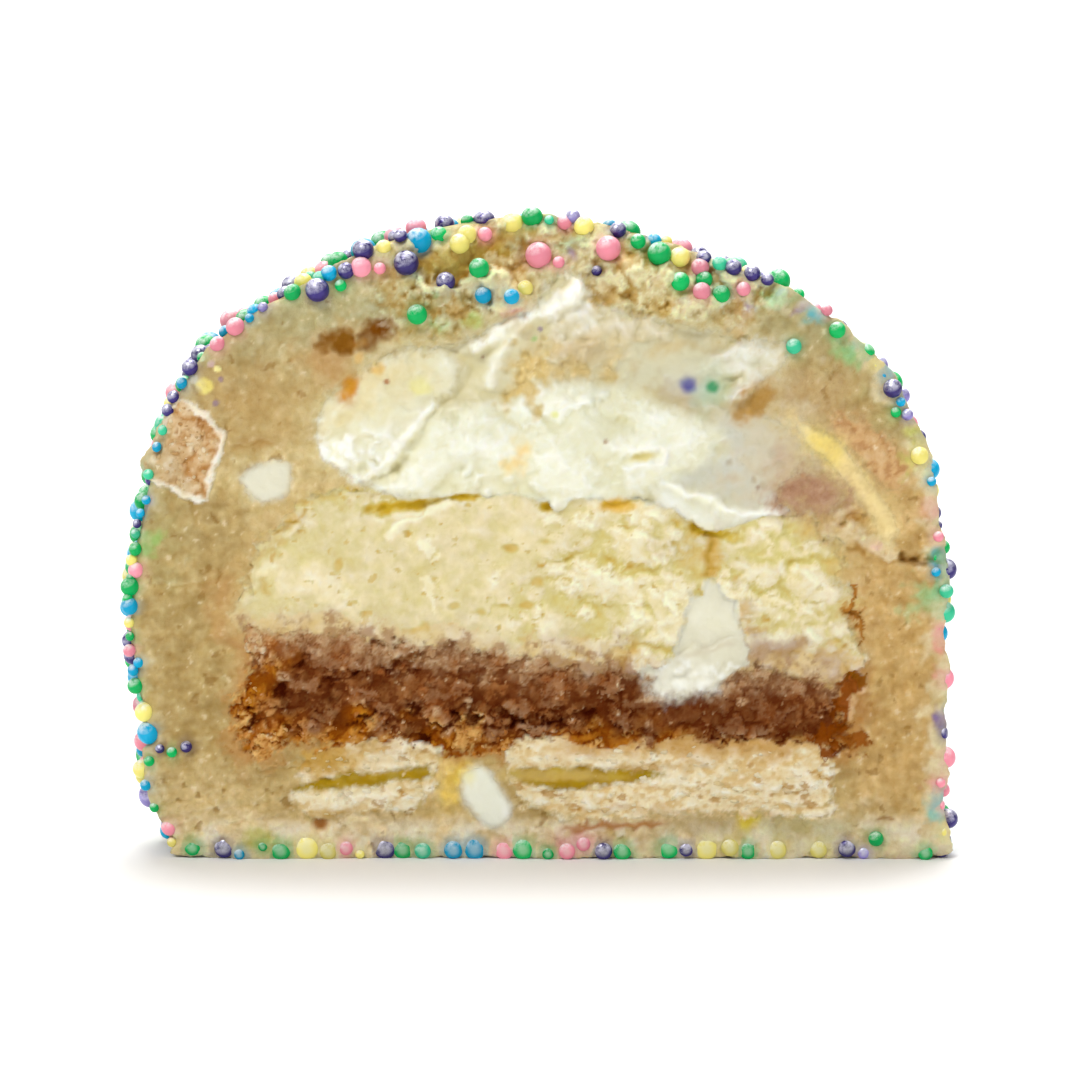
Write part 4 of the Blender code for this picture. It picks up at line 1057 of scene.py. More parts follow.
ridge(cream_h, [(-18.85, 35.5), (-18.15, 35.1), (-17.35, 34.3), (-16.55, 33.1), (-15.65, 32.1)], 0.16, 0.70, 0.15, 0.35, 410)
ridge(cream_h, [(-16.35, 33.3), (-15.35, 33.1), (-14.35, 33.7)], -0.28, 0.5)
ridge(cream_h, [(-10.45, 39.5), (-9.45, 40.4), (-8.65, 41.4)], 0.24, 0.45, 0.3, 0.15, 431)
ridge(cream_h, [(-15.35, 38.5), (-13.15, 39.5), (-10.95, 39.7)], 0.14, 0.9, 0.3, 0.3, 411)
ridge(cream_h, [(-16.95, 37.3), (-15.15, 37.9), (-12.95, 37.9)], -0.12, 0.7, 0.3, 0.3, 432)
cream_h -= 0.30 * spot(-7.25, 37.3, 0.35, 0.5, 0, 0.8) + 0.30 * spot(-15.45, 37, 1.8, 1.0, 30, 0.8)
fold(cream_h, [(1.25, 36.3), (-0.35, 37.2), (-1.25, 38.1), (-1.65, 38.7)], 0.22, 0.9, 0.3, 0.35, 0.15, 433)
ridge(cream_h, [(-7.95, 34.1), (-5.35, 34.9), (-2.95, 36.1)], 0.20, 0.9, 0.3, 0.25, 412)
ridge(cream_h, [(-0.95, 32.3), (1.25, 33.9), (4.05, 34.5), (6.25, 34.7)], 0.22, 0.9, 0.3, 0.25, 413)
ridge(cream_h, [(1.05, 38.5), (4.05, 38.9), (7.05, 38.5), (10.05, 37.5)], 0.18, 0.8, 0.3, 0.25, 414)
ridge(cream_h, [(2.55, 31.5), (5.05, 32.1), (8.05, 31.7)], -0.20, 0.7, 0.3, 0.2, 434)
ridge(cream_h, [(-7.95, 33), (-4.95, 33.9), (-2.45, 33.5)], -0.16, 0.8, 0.3, 0.2, 435)
ridge(cream_h, [(5.05, 37.1), (8.05, 36.3), (11.55, 35.9)], -0.16, 0.8, 0.3, 0.2, 436)
# small torn tips over the lower edge
for px, pz, w, t, turn in ((-6.25, 32.9, 0.6, 0.3, 50), (-5.45, 32.2, 0.3, 0.7, 0), (-4.55, 31.2, 0.35, 0.45, 0), (1.35, 30.3, 0.5, 0.7, 0), (-5.15, 32.6, 0.35, 0.25, 0), (-2.95, 32.3, 0.5, 0.3, 20), (-0.45, 31.7, 0.6, 0.3, -20)):
    cream_h += 0.30 * spot(px, pz, w, t, turn, 0.6, 0.2, 415)
# the smear that rises to the torn peak
ridge(cream_h, [(4.25, 48.5), (2.25, 47.3), (0.65, 46.4), (-0.95, 45.9), (-2.75, 45.2), (-4.45, 43.9), (-6.35, 43)], 0.80, 0.60, 0.08, 0.14, 416)
ridge(cream_h, [(-0.85, 46.1), (-2.15, 44.7), (-3.15, 43.3), (-4.15, 41.5), (-4.75, 39.3)], 0.60, 0.65, 0.1, 0.14, 417)
cream_h += 0.35 * spot(-6.05, 43, 0.9, 0.42, 10, 0.7)
ridge(cream_h, [(-4.95, 42), (-6.25, 40.7), (-7.55, 39.1)], -0.28, 0.9)
# golden crumb shows through between the strands, and painted shade lies in the sunk groove below the upper mass
crumb_gap_and_shade = spot(-1.25, 41.5, 1.25, 2.5, -8, 0.8, 0.5, 330)
crumb_gap_and_shade = np.maximum(crumb_gap_and_shade, 0.75 * spot(3.05, 41.3, 2.9, 0.6, 0, 0.9, 0.5, 331))
crumb_gap_and_shade = np.maximum(crumb_gap_and_shade, 0.7 * spot(0.65, 42.7, 1.0, 0.8, 30, 0.8, 0.5, 332))
cream_h -= crumb_gap_and_shade * (0.34 - 0.12 * billow(333, 1.0, 3))
# the crumbly peak
cream_h += in_peak * 0.16 * billow(335, 2.2, 3, 0.5)
ridge(cream_h, [(6.15, 45.1), (6.25, 44.5), (6.05, 43.8)], -0.35, 0.3, 0.3, 0.1, 418)
ridge(cream_h, [(1.85, 43.5), (2.65, 44.2), (4.05, 43.8), (5.05, 44.2)], -0.30, 0.35, 0.3, 0.15, 419)
ridge(cream_h, [(5.25, 41.6), (6.25, 42.4), (8.05, 42.7)], 0.30, 0.5, 0.3, 0.15, 420)
cream_h += in_torn * 0.10 * billow(421, 1.6, 3, 0.5)
ridge(cream_h, [(13.05, 41.3), (14.05, 42), (14.95, 42.5), (16.25, 43), (17.65, 43.6), (19.95, 43.7)], 0.35, 0.35, 0.1, 0.16, 422)
ridge(cream_h, [(15.45, 38.9), (16.15, 39.5), (16.95, 39.9), (17.95, 40.6), (18.35, 41.2)], 0.35, 0.35, 0.1, 0.16, 423)
cream_h -= 0.40 * spot(18.35, 42.2, 1.1, 0.55, 10, 0.7, 0.3, 424)
ridge(cream_h, [(11.05, 38.3), (12.25, 38), (13.25, 38.1), (14.25, 38.2), (15.45, 37.5)], 0.30, 0.4, 0.15, 0.16, 425)
# the hollow with a curled edge, and the bright top of the fold
cream_h -= 0.42 * spot(8.25, 34.2, 1.15, 0.36, 12, 0.8, 0.3, 426)
ridge(cream_h, [(10.55, 34.6), (10.05, 34.1), (9.25, 33.6), (7.55, 33.3), (5.85, 33.3)], 0.42, 0.38, 0.15, 0.14, 427)
ridge(cream_h, [(9.15, 32), (10.65, 31.9), (12.25, 31), (14.15, 30.6), (15.15, 29.9), (16.55, 29.5), (18.25, 29.5), (20.15, 29.5), (22.05, 29.6)], 0.28, 0.33, 0.06, 0.14, 428)
cream_h -= 0.22 * spot(7.05, 37, 1.4, 0.5, -10, 0.8, 0.3, 429)
cream_h -= 0.07 * pocks(339, 1.6, 0.06) + 0.06 * pocks(338, 0.8, 0.03)

# the lobes are tinted one by one: the recessed back gets painted shade, and the body and the lip get painted light
cream_t = plain(colour(214, 207, 172))
cream_t = paint(cream_t, colour(188, 172, 128), 0.95 * in_back)
cream_t = paint(cream_t, colour(202, 203, 192), 0.95 * in_right)
cream_t = paint(cream_t, colour(227, 223, 192), 0.9 * in_flat)
cream_t = paint(cream_t, colour(228, 228, 204), 0.95 * in_body * smooth(17.5, 12.5, X + 0.5 * octaves(437, 2.0, 3)))
cream_t = paint(cream_t, colour(225, 224, 208), 0.9 * in_torn)
cream_t = paint(cream_t, colour(212, 202, 168), 0.9 * in_peak)
cream_t = paint(cream_t, colour(228, 228, 208), 0.9 * in_lip)
cream_t = varied(cream_t, 340, 3.0, 0.030, (0.6, 0.8, 1.8))
cream_t = wash(cream_t, (224, 210, 160), -14.75, 40.7, 4.4, 2.2, 30, 0.8, 0.9, 0.4, 438)
cream_t = wash(cream_t, (218, 194, 138), -15.75, 41.8, 2.4, 1.3, 30, 0.6, 0.9, 0.4, 439)
# painted highlights on the flap's ridge and the body's upper swell, and painted shade along the dip below
cream_t = wash(cream_t, (234, 234, 218), -13.95, 34.2, 3.2, 1.8, 0, 0.7, 0.9)
cream_t = wash(cream_t, (233, 233, 212), -6.95, 35, 9.0, 2.2, 0, 0.6, 0.9)
cream_t = wash(cream_t, (222, 217, 180), -7.95, 31.7, 6.0, 0.9, -3, 0.6, 0.9)
cream_t = wash(cream_t, (206, 196, 168), 19.25, 34.3, 3.0, 4.8, 8, 0.85, 0.9, 0.4, 440)
cream_t = wash(cream_t, (188, 156, 124), 20.75, 32.3, 2.0, 2.4, 8, 0.7, 0.9, 0.4, 547)
cream_t = wash(cream_t, (234, 232, 218), 2.85, 47.3, 2.4, 2.0, -22, 0.7, 0.7, 0.4, 441)
cream_t = wash(cream_t, (220, 198, 150), 4.05, 43.5, 2.2, 0.8, 10, 0.5, 0.9, 0.4, 442)
cream_t = wash(cream_t, (216, 196, 146), 9.05, 42.5, 2.2, 0.9, 10, 0.45, 0.9, 0.4, 443)
# painted highlights along the two raised smears
cream_t = along(cream_t, (246, 246, 230), [(4.25, 48.5), (2.25, 47.3), (0.65, 46.4), (-0.95, 45.9), (-2.75, 45.2), (-4.45, 43.9), (-6.35, 43)], 0.6, 0.8, 0.05, 0.1, 444)
cream_t = along(cream_t, (238, 236, 212), [(-0.85, 46.1), (-2.15, 44.7), (-3.15, 43.3), (-4.15, 41.5), (-4.75, 39.3)], 0.7, 0.7, 0.1, 0.1, 445)
# painted highlights on the fluffy crests and fold tops, painted shade in the fold hollows
cream_t = paint(cream_t, colour(250, 250, 240), 0.8 * low_flap * smooth(-0.5, 1.2, fluff))
cream_t = paint(cream_t, colour(240, 240, 222), 0.6 * in_body * smooth(-0.2, 1.6, folds))
cream_t = paint(cream_t, colour(220, 214, 176), 0.35 * in_body * smooth(-0.5, -1.4, folds))
# painted highlights along the crease's lip, the flap's rim and the lower fold's top
cream_t = along(cream_t, (248, 248, 236), [(-16.15, 32.3), (-14.75, 32.5), (-13.65, 33.1), (-12.45, 34.3), (-11.35, 35.6), (-10.05, 37.2), (-8.55, 39)], 0.4, 0.8, 0.1, 0.1, 446)
cream_t = along(cream_t, (248, 248, 236), [(-18.85, 35.5), (-18.15, 35.1), (-17.35, 34.3), (-16.55, 33.1), (-15.65, 32.1)], 0.8, 0.7, 0.1, 0.3, 447)
cream_t = along(cream_t, (247, 248, 234), [(9.15, 32), (10.65, 31.9), (12.25, 31), (14.15, 30.6), (15.15, 29.9), (16.55, 29.5), (18.25, 29.5), (20.15, 29.5)], 0.35, 0.8, 0.1, 0.1, 448)
# the crumb's colour, and painted shade in the sunk places between the strands
cream_t = paint(cream_t, colour(218, 192, 128), 0.85 * crumb_gap_and_shade)
cream_t = speckled(cream_t, 341, 0.6, 0.3, (238, 220, 172), 0.6, crumb_gap_and_shade)
cream_t = wash(cream_t, (242, 220, 156), -2.25, 33.7, 1.1, 1.7, 0, 0.8, 0.7, 0.4, 449)
cream_t = wash(cream_t, (234, 198, 124), -1.85, 34.1, 0.5, 0.8, 0, 0.6, 0.8, 0.4, 450)
# painted shade in the hollow with the curled edge
cream_t = wash(cream_t, (216, 200, 112), 8.35, 34.2, 1.0, 0.26, 12, 0.75, 0.7, 0.2, 451)
cream_t = wash(cream_t, (190, 138, 58), 17.95, 38.8, 1.7, 1.0, 30, 0.9, 0.8, 0.4, 452)
cream_t = wash(cream_t, (224, 180, 106), 17.55, 38.2, 0.6, 0.4, 20, 0.7, 0.7, 0.3, 453)
cream_t = wash(cream_t, (196, 194, 200), 12.15, 40, 1.7, 1.4, 0, 0.5, 0.9, 0.2)
cream_t = wash(cream_t, (74, 68, 150), 12.15, 40.1, 0.62, 0.62, 0, 0.95, 0.8, 0.2)
cream_t = wash(cream_t, (178, 208, 182), 13.95, 39.5, 1.4, 1.6, 0, 0.6, 0.9, 0.2)
cream_t = wash(cream_t, (40, 146, 90), 14.15, 39.9, 0.42, 0.42, 0, 0.9, 0.8, 0.2)
for px, pz, r, c in ((5.25, 35.5, 0.2, (176, 150, 120)), (-0.15, 44.7, 0.2, (150, 130, 160)), (-12.85, 40.4, 0.22, (176, 110, 60)), (17.95, 31.6, 0.2, (160, 134, 116)), (-0.65, 43.9, 0.26, (150, 200, 120)), (-4.95, 42.4, 0.16, (170, 140, 120)), (1.05, 37.7, 0.3, (226, 226, 150)), (-10.05, 39.7, 0.35, (230, 226, 170)), (-13.55, 41.5, 0.5, (232, 206, 140))):
    cream_t = wash(cream_t, c, px, pz, r, r, 0, 0.85, 0.5, 0.1)
# orange places on the flap, which show the dough through
for px, pz, w, t, c in ((-16.05, 39.6, 1.0, 1.05, (182, 112, 0)), (-15.15, 42.3, 0.55, 0.5, (212, 168, 90)), (-13.95, 41.4, 0.8, 0.5, (218, 182, 104)), (-10.15, 39.8, 0.7, 0.6, (228, 222, 156)), (-17.45, 41.7, 1.2, 1.3, (180, 128, 66))):
    cream_t = wash(cream_t, c, px, pz, w, t, 0, 0.9, 0.8, 0.35, 454)
# small pits, painted darker as shade
for px, pz, w in ((19.15, 34.5, 0.45), (17.65, 32.2, 0.2), (18.35, 31.7, 0.3), (15.55, 33.7, 0.3), (19.85, 33.5, 0.35)):
    there = spot(px, pz, w, w, 0, 0.7, 0.2, 532)
    cream_h -= 0.14 * there
    cream_t = paint(cream_t, colour(186, 172, 150), 0.6 * there)
# painted shade in the cream's hollows and painted light on its crests
cream_t = painted_relief_shading(cream_t, cream_h, 0.9, 0.50, (0.12, 0.20, 0.66))
cream_t = painted_relief_shading(cream_t, cream_h, 0.3, 0.9, (0.10, 0.16, 0.60))

# -------------------------------------------------------------- the cheesecake
curdy = smooth(-2.0, 8.0, X + 3.0 * field(350, 5.0))
curdy = np.maximum(curdy, 0.5 * smooth(-1.8, -0.3, L_CAKE) * smooth(24.5, 26.5, Z))
curds = ragged(billow(62, 4.0, 3, 0.45, 1.3), 534, 1.6, 0.16)
crumb = ragged(billow(59, 1.7, 2, 0.5, 1.2), 535, 0.9, 0.06)
upper = np.clip(-np.gradient(curds, H, axis=0), -2, 2)
cake_h = MACRO + 0.08 + 0.12 * octaves(60, 5.0, 3) + 0.030 * octaves(61, 1.6, 3)
cake_h += curdy * (0.20 * curds + 0.055 * crumb) + (1 - curdy) * 0.020 * crumb
holes = pocks(65, 0.8, 0.10, 1.6) * smooth(-0.2, 0.9, octaves(349, 5.0, 2) + 0.9 * spot(-2.95, 21, 9.0, 3.6, 0, 0.8))
pores = pocks(66, 0.55, 0.05, 1.3)
cake_h -= 0.11 * holes + 0.05 * pores
fold(cake_h, [(-6.35, 30.6), (-7.35, 30.5), (-8.35, 30.2), (-9.85, 29.5), (-11.25, 28.9), (-12.55, 28.4), (-13.05, 27.3)], 0.16, 1.3, 0.3, 0.1, 0.25, 351)
ledge(cake_h, [(-0.45, 25.5), (2.55, 25.9), (5.05, 25.3)], 0.20, 0.6, 0.2, 0.35, 352)
ledge(cake_h, [(5.05, 21.3), (7.55, 21.7), (10.05, 20.9)], 0.25, 0.6, 0.2, 0.35, 353)
ledge(cake_h, [(-5.15, 21.2), (-3.95, 21.6), (-2.55, 21.4), (-1.15, 21.6)], 0.16, 0.5, 0.2, 0.35, 354)
ridge(cake_h, [(13.85, 28.3), (14.05, 26.9), (13.95, 25.3), (13.85, 23.9)], -0.45, 0.8, 0.2, 0.25, 355)
ridge(cake_h, [(9.05, 28.5), (10.25, 27.3), (10.65, 25.5)], -0.30, 0.4, 0.25, 0.25, 356)
cake_h += 0.35 * spot(9.95, 26.5, 0.8, 1.1, 10, 0.5, 0.35, 357)
cake_h += 0.35 * spot(18.55, 26, 3.0, 2.6, 10, 0.8, 0.2, 358)
cake_h += 0.25 * spot(11.85, 26, 1.4, 1.9, 10, 0.7, 0.3, 455)
shade = 0.0 * X
for px, pz, w, t, turn, sink in ((-11.25, 30.1, 2.6, 0.50, 5, 0.55), (-7.25, 30.9, 1.7, 0.34, -4, 0.4), (0.55, 30, 0.9, 0.38, 0, 0.4), (6.25, 30.2, 1.2, 0.45, 6, 0.5), (-15.35, 31.5, 0.9, 0.25, 0, 0.3), (14.05, 27.9, 2.2, 0.6, -10, 0.5)):
    there = spot(px, pz, w, t, turn, 0.6, 0.25, 359)
    cake_h -= sink * there
    shade = np.maximum(shade, there)
CURLS = (
    ([(-26.25, 26.9), (-25.35, 26.5), (-24.35, 25.7)], 0.55), ([(-24.15, 21.3), (-24.25, 22.9), (-23.95, 24.3), (-23.25, 25.2), (-22.15, 25.5)], 0.80),
    ([(-24.15, 27.5), (-23.15, 28), (-21.95, 27.7), (-20.55, 28.1)], 0.75), ([(-24.95, 28.7), (-23.75, 28.9), (-22.75, 28.5)], 0.6), ([(-24.35, 26.7), (-23.15, 26.9), (-22.15, 26.7)], 0.5),
    ([(-20.55, 30.1), (-19.75, 29.5), (-20.35, 28.7)], 0.6),
)
for line, wide in CURLS:
    ridge(cake_h, line, 0.12, wide, 0.2, 0.35, 360)
ridge(cake_h, [(-22.85, 28.1), (-21.65, 28.4), (-20.45, 28.9)], -0.35, 0.25, 0.2, 0.2, 361)
cake_h -= 0.5 * spot(-24.65, 25, 0.35, 0.4, 0, 0.7)
for px, pz, w, t, turn in ((-5.25, 21.1, 0.7, 0.28, 0), (-3.15, 21.7, 0.6, 0.25, 0), (-1.25, 21.6, 0.7, 0.24, 0), (-2.05, 20.7, 0.6, 0.5, 0), (-1.55, 18.8, 0.5, 0.2, 8), (-10.95, 19.5, 0.5, 0.25, 5), (-9.85, 19.9, 0.45, 0.4, 0), (-16.95, 25, 0.3, 0.5, -20), (0.35, 27.1, 0.6, 0.3, 0), (-2.55, 26.5, 0.5, 0.25, 0), (2.05, 24.8, 0.5, 0.25, 0), (-7.35, 21.7, 0.35, 0.25, 0), (-8.95, 23.9, 0.4, 0.3, 20), (-0.45, 23.7, 0.4, 0.35, 0)):
    there = spot(px, pz, w, t, turn, 0.7, 0.35, 456)
    cake_h -= 0.12 * there
    holes = np.maximum(holes, there)
# pale flakes that stand up
flakes = 0.0 * X
for px, pz, w, t, turn in ((9.95, 26.5, 0.85, 1.0, 10), (6.35, 24.6, 0.35, 0.35, 0), (3.65, 20.7, 0.5, 0.9, 35), (6.65, 19.5, 1.2, 0.5, 10), (8.05, 21.3, 0.5, 0.7, 0), (10.55, 22.1, 0.9, 0.7, 0), (17.55, 22.3, 0.8, 0.9, -30), (19.15, 20.7, 1.6, 0.5, -8), (21.55, 21.3, 0.8, 0.4, 0), (23.55, 19.3, 1.0, 0.5, 10), (15.05, 24.5, 0.5, 0.35, 20), (26.05, 18.7, 0.35, 0.9, -10), (25.65, 17.3, 0.6, 0.5, 0), (18.55, 28, 0.6, 0.4, 0), (4.05, 28.5, 0.9, 0.4, -20), (2.55, 23.3, 0.8, 0.3, 10), (1.05, 28.9, 0.7, 0.35, 0), (-9.55, 26.3, 0.45, 0.5, 0), (-16.45, 22.7, 0.6, 0.25, 10), (-3.75, 24.5, 0.7, 0.4, -10), (-9.35, 22.9, 0.35, 0.8, 20), (-0.45, 21.3, 0.6, 0.3, 0)):
    flakes = np.maximum(flakes, spot(px, pz, w, t, turn, 0.45, 0.5, 457))
cake_h += 0.12 * flakes * smooth(-3, 4, X) + 0.04 * flakes

cake_t = plain(colour(227, 213, 169))
cake_t = varied(cake_t, 362, 4.0, 0.035, (0.7, 1.0, 2.0), 3, 0.6)
cake_t = varied(cake_t, 369, 1.2, 0.035, (0.7, 1.0, 2.0), 3, 0.8)
# painted light on the curds' tops and on their upward slopes, painted shade in the hollows between them
cake_t = paint(cake_t, colour(238, 230, 192), 0.40 * curdy * smooth(-0.2, 1.6, curds + 0.4 * crumb))
cake_t = paint(cake_t, colour(246, 241, 212), 0.45 * curdy * smooth(0.35, 1.3, upper))
cake_t = paint(cake_t, colour(228, 197, 122), 0.60 * curdy * smooth(0.0, -1.3, curds + 0.4 * crumb))
# painted shade in the holes and pores
cake_t = paint(cake_t, colour(210, 180, 96), 0.62 * holes)
cake_t = paint(cake_t, colour(214, 178, 100), 0.6 * pores)
cake_t = paint(cake_t, colour(242, 238, 208), 0.55 * ragged(flakes, 536, 0.7, 0.25))
cake_t = along(cake_t, (240, 234, 206), [(-7.15, 30.4), (-8.35, 30), (-9.75, 29.3), (-11.15, 28.7), (-12.45, 28.2), (-12.95, 27.2)], 0.32, 0.8, 0.1, 0.25, 365)
for line, wide in CURLS + (([(26.45, 18.7), (26.25, 17.5), (26.85, 16.1)], 0.6),):
    cake_t = along(cake_t, (238, 233, 192), line, 0.6 * wide, 0.5, 0.2, 0.45, 360)
cake_t = wash(cake_t, (212, 184, 116), 11.85, 26, 1.6, 2.2, 10, 0.7, 0.9, 0.4, 458)
cake_t = wash(cake_t, (236, 218, 162), 18.65, 26.3, 3.4, 2.6, 10, 0.4, 0.9)
cake_t = wash(cake_t, (222, 206, 156), 16.25, 26.7, 1.0, 2.0, 0, 0.5, 0.9)
cake_t = wash(cake_t, (220, 172, 110), 16.65, 21.1, 0.8, 1.7, 0, 0.8, 0.7, 0.4, 459)
# painted shadow in the gaps between the curls at the left end
for line, wide, c in (([(-22.75, 28.9), (-21.55, 28.5), (-20.35, 28.9), (-19.75, 29.9)], 0.4, (186, 144, 50)), ([(-22.15, 26.3), (-22.75, 25.7)], 0.3, (206, 172, 100)), ([(-22.75, 24.5), (-23.05, 23.3), (-23.15, 22.3)], 0.35, (206, 184, 118))):
    cake_t = along(cake_t, c, line, wide, 0.9, 0.2, 0.3, 460)
cake_t = wash(cake_t, (224, 196, 142), 25.05, 25.5, 1.6, 5.0, 0, 0.5, 0.9)
cake_t = wash(cake_t, (228, 218, 188), 23.05, 19.5, 4.5, 3.0, 0, 0.55, 0.9, 0.4, 461)
# painted shade in the small sunk hole at the left end
cake_t = wash(cake_t, (150, 100, 50), -24.65, 25, 0.32, 0.4, 0, 0.9)
# painted shade in the upright groove under the cream's fold
cake_t = along(cake_t, (196, 158, 66), [(13.85, 28.3), (14.05, 26.9), (13.95, 25.3), (13.85, 23.9)], 0.85, 0.85, 0.2, 0.3, 462)
# painted shade along the top edge, under the cream
cake_t = paint(cake_t, colour(212, 188, 112), 0.5 * smooth(-1.9, -0.3, L_CAKE) * smooth(25.3, 27.0, Z))
cake_t = paint(cake_t, colour(230, 182, 50), 0.95 * shade)
brown = 0.42 * octaves(367, 2.2, 4, 0.65) + 0.28 * ragged(octaves(537, 1.0, 3, 0.7), 538, 0.5, 0.15)
cake_t = paint(cake_t, colour(214, 194, 152), 0.7 * smooth(3.6, 0.9, ABOVE_FOOT + brown))
cake_t = paint(cake_t, colour(170, 134, 94), 0.85 * smooth(1.2, -0.3, ABOVE_FOOT + 1.3 * brown))
cake_t = wash(cake_t, (156, 112, 84), 18.75, 17.7, 2.4, 1.1, -10, 0.6, 0.9, 0.4, 463)
cake_t = wash(cake_t, (172, 140, 116), 25.05, 16, 2.4, 1.4, -10, 0.6, 0.9, 0.4, 464)
# the side that lies in the dough takes on its colour
cake_t = paint(cake_t, colour(216, 190, 134), 0.7 * smooth(-1.7, 0.1, L_CAKE + 0.55 * octaves(368, 1.4, 3)) * smooth(17.5, 20.0, np.abs(X)))
# painted shade in the cheesecake's hollows and painted light on its crests
cake_t = painted_relief_shading(cake_t, cake_h, 0.9, 0.60, (0.12, 0.40, 1.6), 0.74)
cake_t = painted_relief_shading(cake_t, cake_h, 0.3, 1.5, (0.12, 0.40, 1.4), 0.74)

redness = mix(1.13, 1.55, smooth(0.62, 0.36, cake_t[..., 1]))
cake_t[..., 0] = np.where(ABOVE_FOOT > 1.5, np.minimum(cake_t[..., 0], redness * cake_t[..., 1]), cake_t[..., 0])

# ------------------------------------------------------------ the crumb crust
dense = smooth(0.8, -0.4, ABOVE_FOOT) * smooth(12.2, 14.2, Z + 0.9 * field(370, 3.0) - 0.05 * (X + 10)) * smooth(-24.5, -20, X)
dense = np.maximum(dense, 0.75 * smooth(4, 12, X) * smooth(10.3, 11.6, Z))
loose = 1 - dense
lumps = billow(70, 2.0, 4, 0.5)


def lumpy(seed, size, sx=1.15, sz=0.9, warp=0.5):
    """Crumbs pressed side by side: their height from 0 to about 1, and a random number of each."""
    dome, each = grains(seed, size, sx, sz, warp)
    return 0.65 * dome / (0.5 * size) + 0.35 * each, each


big, big_tone = (ragged(v, 539, 0.8, 0.20) for v in lumpy(71, 1.7, 1.45, 0.80, 0.25))
fine, fine_tone = (ragged(v, 540, 0.5, 0.13) for v in lumpy(72, 0.8, 1.2, 0.9, 0.2))
grit = ragged(octaves(77, 0.5, 2, 0.6), 541, 0.4, 0.1)
crust_h = MACRO - 0.32 + 0.08 * octaves(73, 4.0, 2) + (0.22 + 0.24 * loose) * big + (0.09 + 0.07 * loose) * fine + 0.03 * grit
hole = 0.0 * X
for px, pz, w, t, turn in ((-7.35, 12.9, 1.9, 0.55, -6), (-6.55, 11.7, 0.8, 0.5, 0), (-9.05, 10.8, 0.7, 0.35, 20), (-18.55, 15.1, 0.7, 0.30, 20), (-21.25, 11.1, 0.7, 0.5, 0), (-20.45, 16.4, 0.3, 0.7, -20), (-12.45, 12.9, 1.6, 0.4, -4), (-24.35, 11.8, 0.5, 0.8, 20), (1.05, 11.7, 1.4, 0.4, 0), (9.05, 11.1, 1.1, 0.3, 5), (5.05, 12.3, 2.2, 0.5, 0), (-14.95, 12.3, 1.3, 0.4, 10), (-2.95, 12.3, 1.2, 0.5, 0), (-22.95, 13.9, 1.2, 0.4, 30), (-24.65, 14.5, 0.6, 0.8, 0), (-20.35, 17.9, 0.7, 0.5, -30), (-19.45, 17.6, 0.5, 0.25, 0), (-12.45, 16.7, 1.0, 0.3, 20), (-15.45, 15.9, 0.8, 0.3, 0), (-10.75, 15.4, 0.6, 0.4, 0), (5.55, 14.5, 1.0, 0.5, 0), (-10.95, 17.3, 0.5, 0.3, 20)):
    there = spot(px, pz, w, t, turn, 0.8, 0.7, 371)
    there = there * smooth(-0.5, 0.6, octaves(533, 0.9, 3))
    crust_h -= 0.28 * there
    hole = np.maximum(hole, there)
low = smooth(12.6, 10.6, Z + 0.9 * field(372, 2.0) + 0.9 * smooth(-9, 3, X)) * smooth(15, 9, X) + smooth(-21.0, -24.5, X + 1.0 * field(373, 2.0))
low = np.clip(low, 0, 1)
hole = ragged(hole, 542, 0.6, 0.2)
crust_t = plain(colour(136, 82, 40))
crust_t = varied(crust_t, 374, 2.2, 0.14, (0.8, 1.1, 1.5), 3, 0.7)
crust_t = varied(crust_t, 379, 0.5, 0.12, (0.7, 1.0, 1.5), 2, 0.8)
crust_t = crust_t * np.exp(0.40 * (big_tone - 0.5) + 0.45 * (fine_tone - 0.5))[..., None]
# painted light on the tops of some big crumbs
crust_t = paint(crust_t, colour(160, 116, 80), 0.50 * smooth(0.55, 0.95, big) * smooth(0.3, 0.8, big_tone) * (1 - low))
crust_t = paint(crust_t, colour(184, 110, 20), 0.88 * low)
crust_t = paint(crust_t, colour(210, 154, 84), 0.85 * low * smooth(0.42, 0.80, 0.75 * big_tone + 0.25 * fine_tone + 0.45 * (big - 0.6)))
crust_t = paint(crust_t, colour(202, 166, 124), 0.85 * smooth(-2.8, 0.2, ABOVE_FOOT + brown - 0.3 * lumps))
crust_t = wash(crust_t, (112, 60, 26), 15.05, 12.3, 10.0, 1.6, 0, 0.6, 0.9, 0.3, 465)
crust_t = wash(crust_t, (112, 60, 26), 11.05, 13.9, 6.0, 1.0, 0, 0.5, 0.9, 0.3, 466)
crust_t = wash(crust_t, (196, 142, 84), -23.25, 12.3, 0.95, 1.1, 0, 0.7, 0.7, 0.3, 543)
crust_t = paint(crust_t, colour(176, 120, 52), 0.6 * smooth(10.8, 9.6, Z + 0.4 * octaves(467, 1.2, 3)) * smooth(10, 16, X))
crust_t = paint(crust_t, colour(226, 194, 146), 0.60 * pocks(375, 0.5, 0.04) * smooth(0.8, -0.6, ABOVE_FOOT))
for px, pz, w, t in ((-6.35, 13.6, 0.6, 0.35), (-8.85, 12.8, 0.35, 0.45), (-15.65, 12.4, 0.35, 0.3), (-21.55, 15.6, 0.6, 0.4), (-21.15, 17.5, 0.6, 0.5), (-7.95, 11, 0.4, 0.5), (8.95, 11.5, 0.35, 0.6), (9.05, 13.7, 1.2, 0.4), (17.05, 13.5, 0.5, 0.3)):
    crust_t = dab(crust_t, crust_h, (204, 162, 116), px, pz, 0.8 * w, 0.8 * t, 0, 0.15, 0.7, 0.6, 0.5, 544)
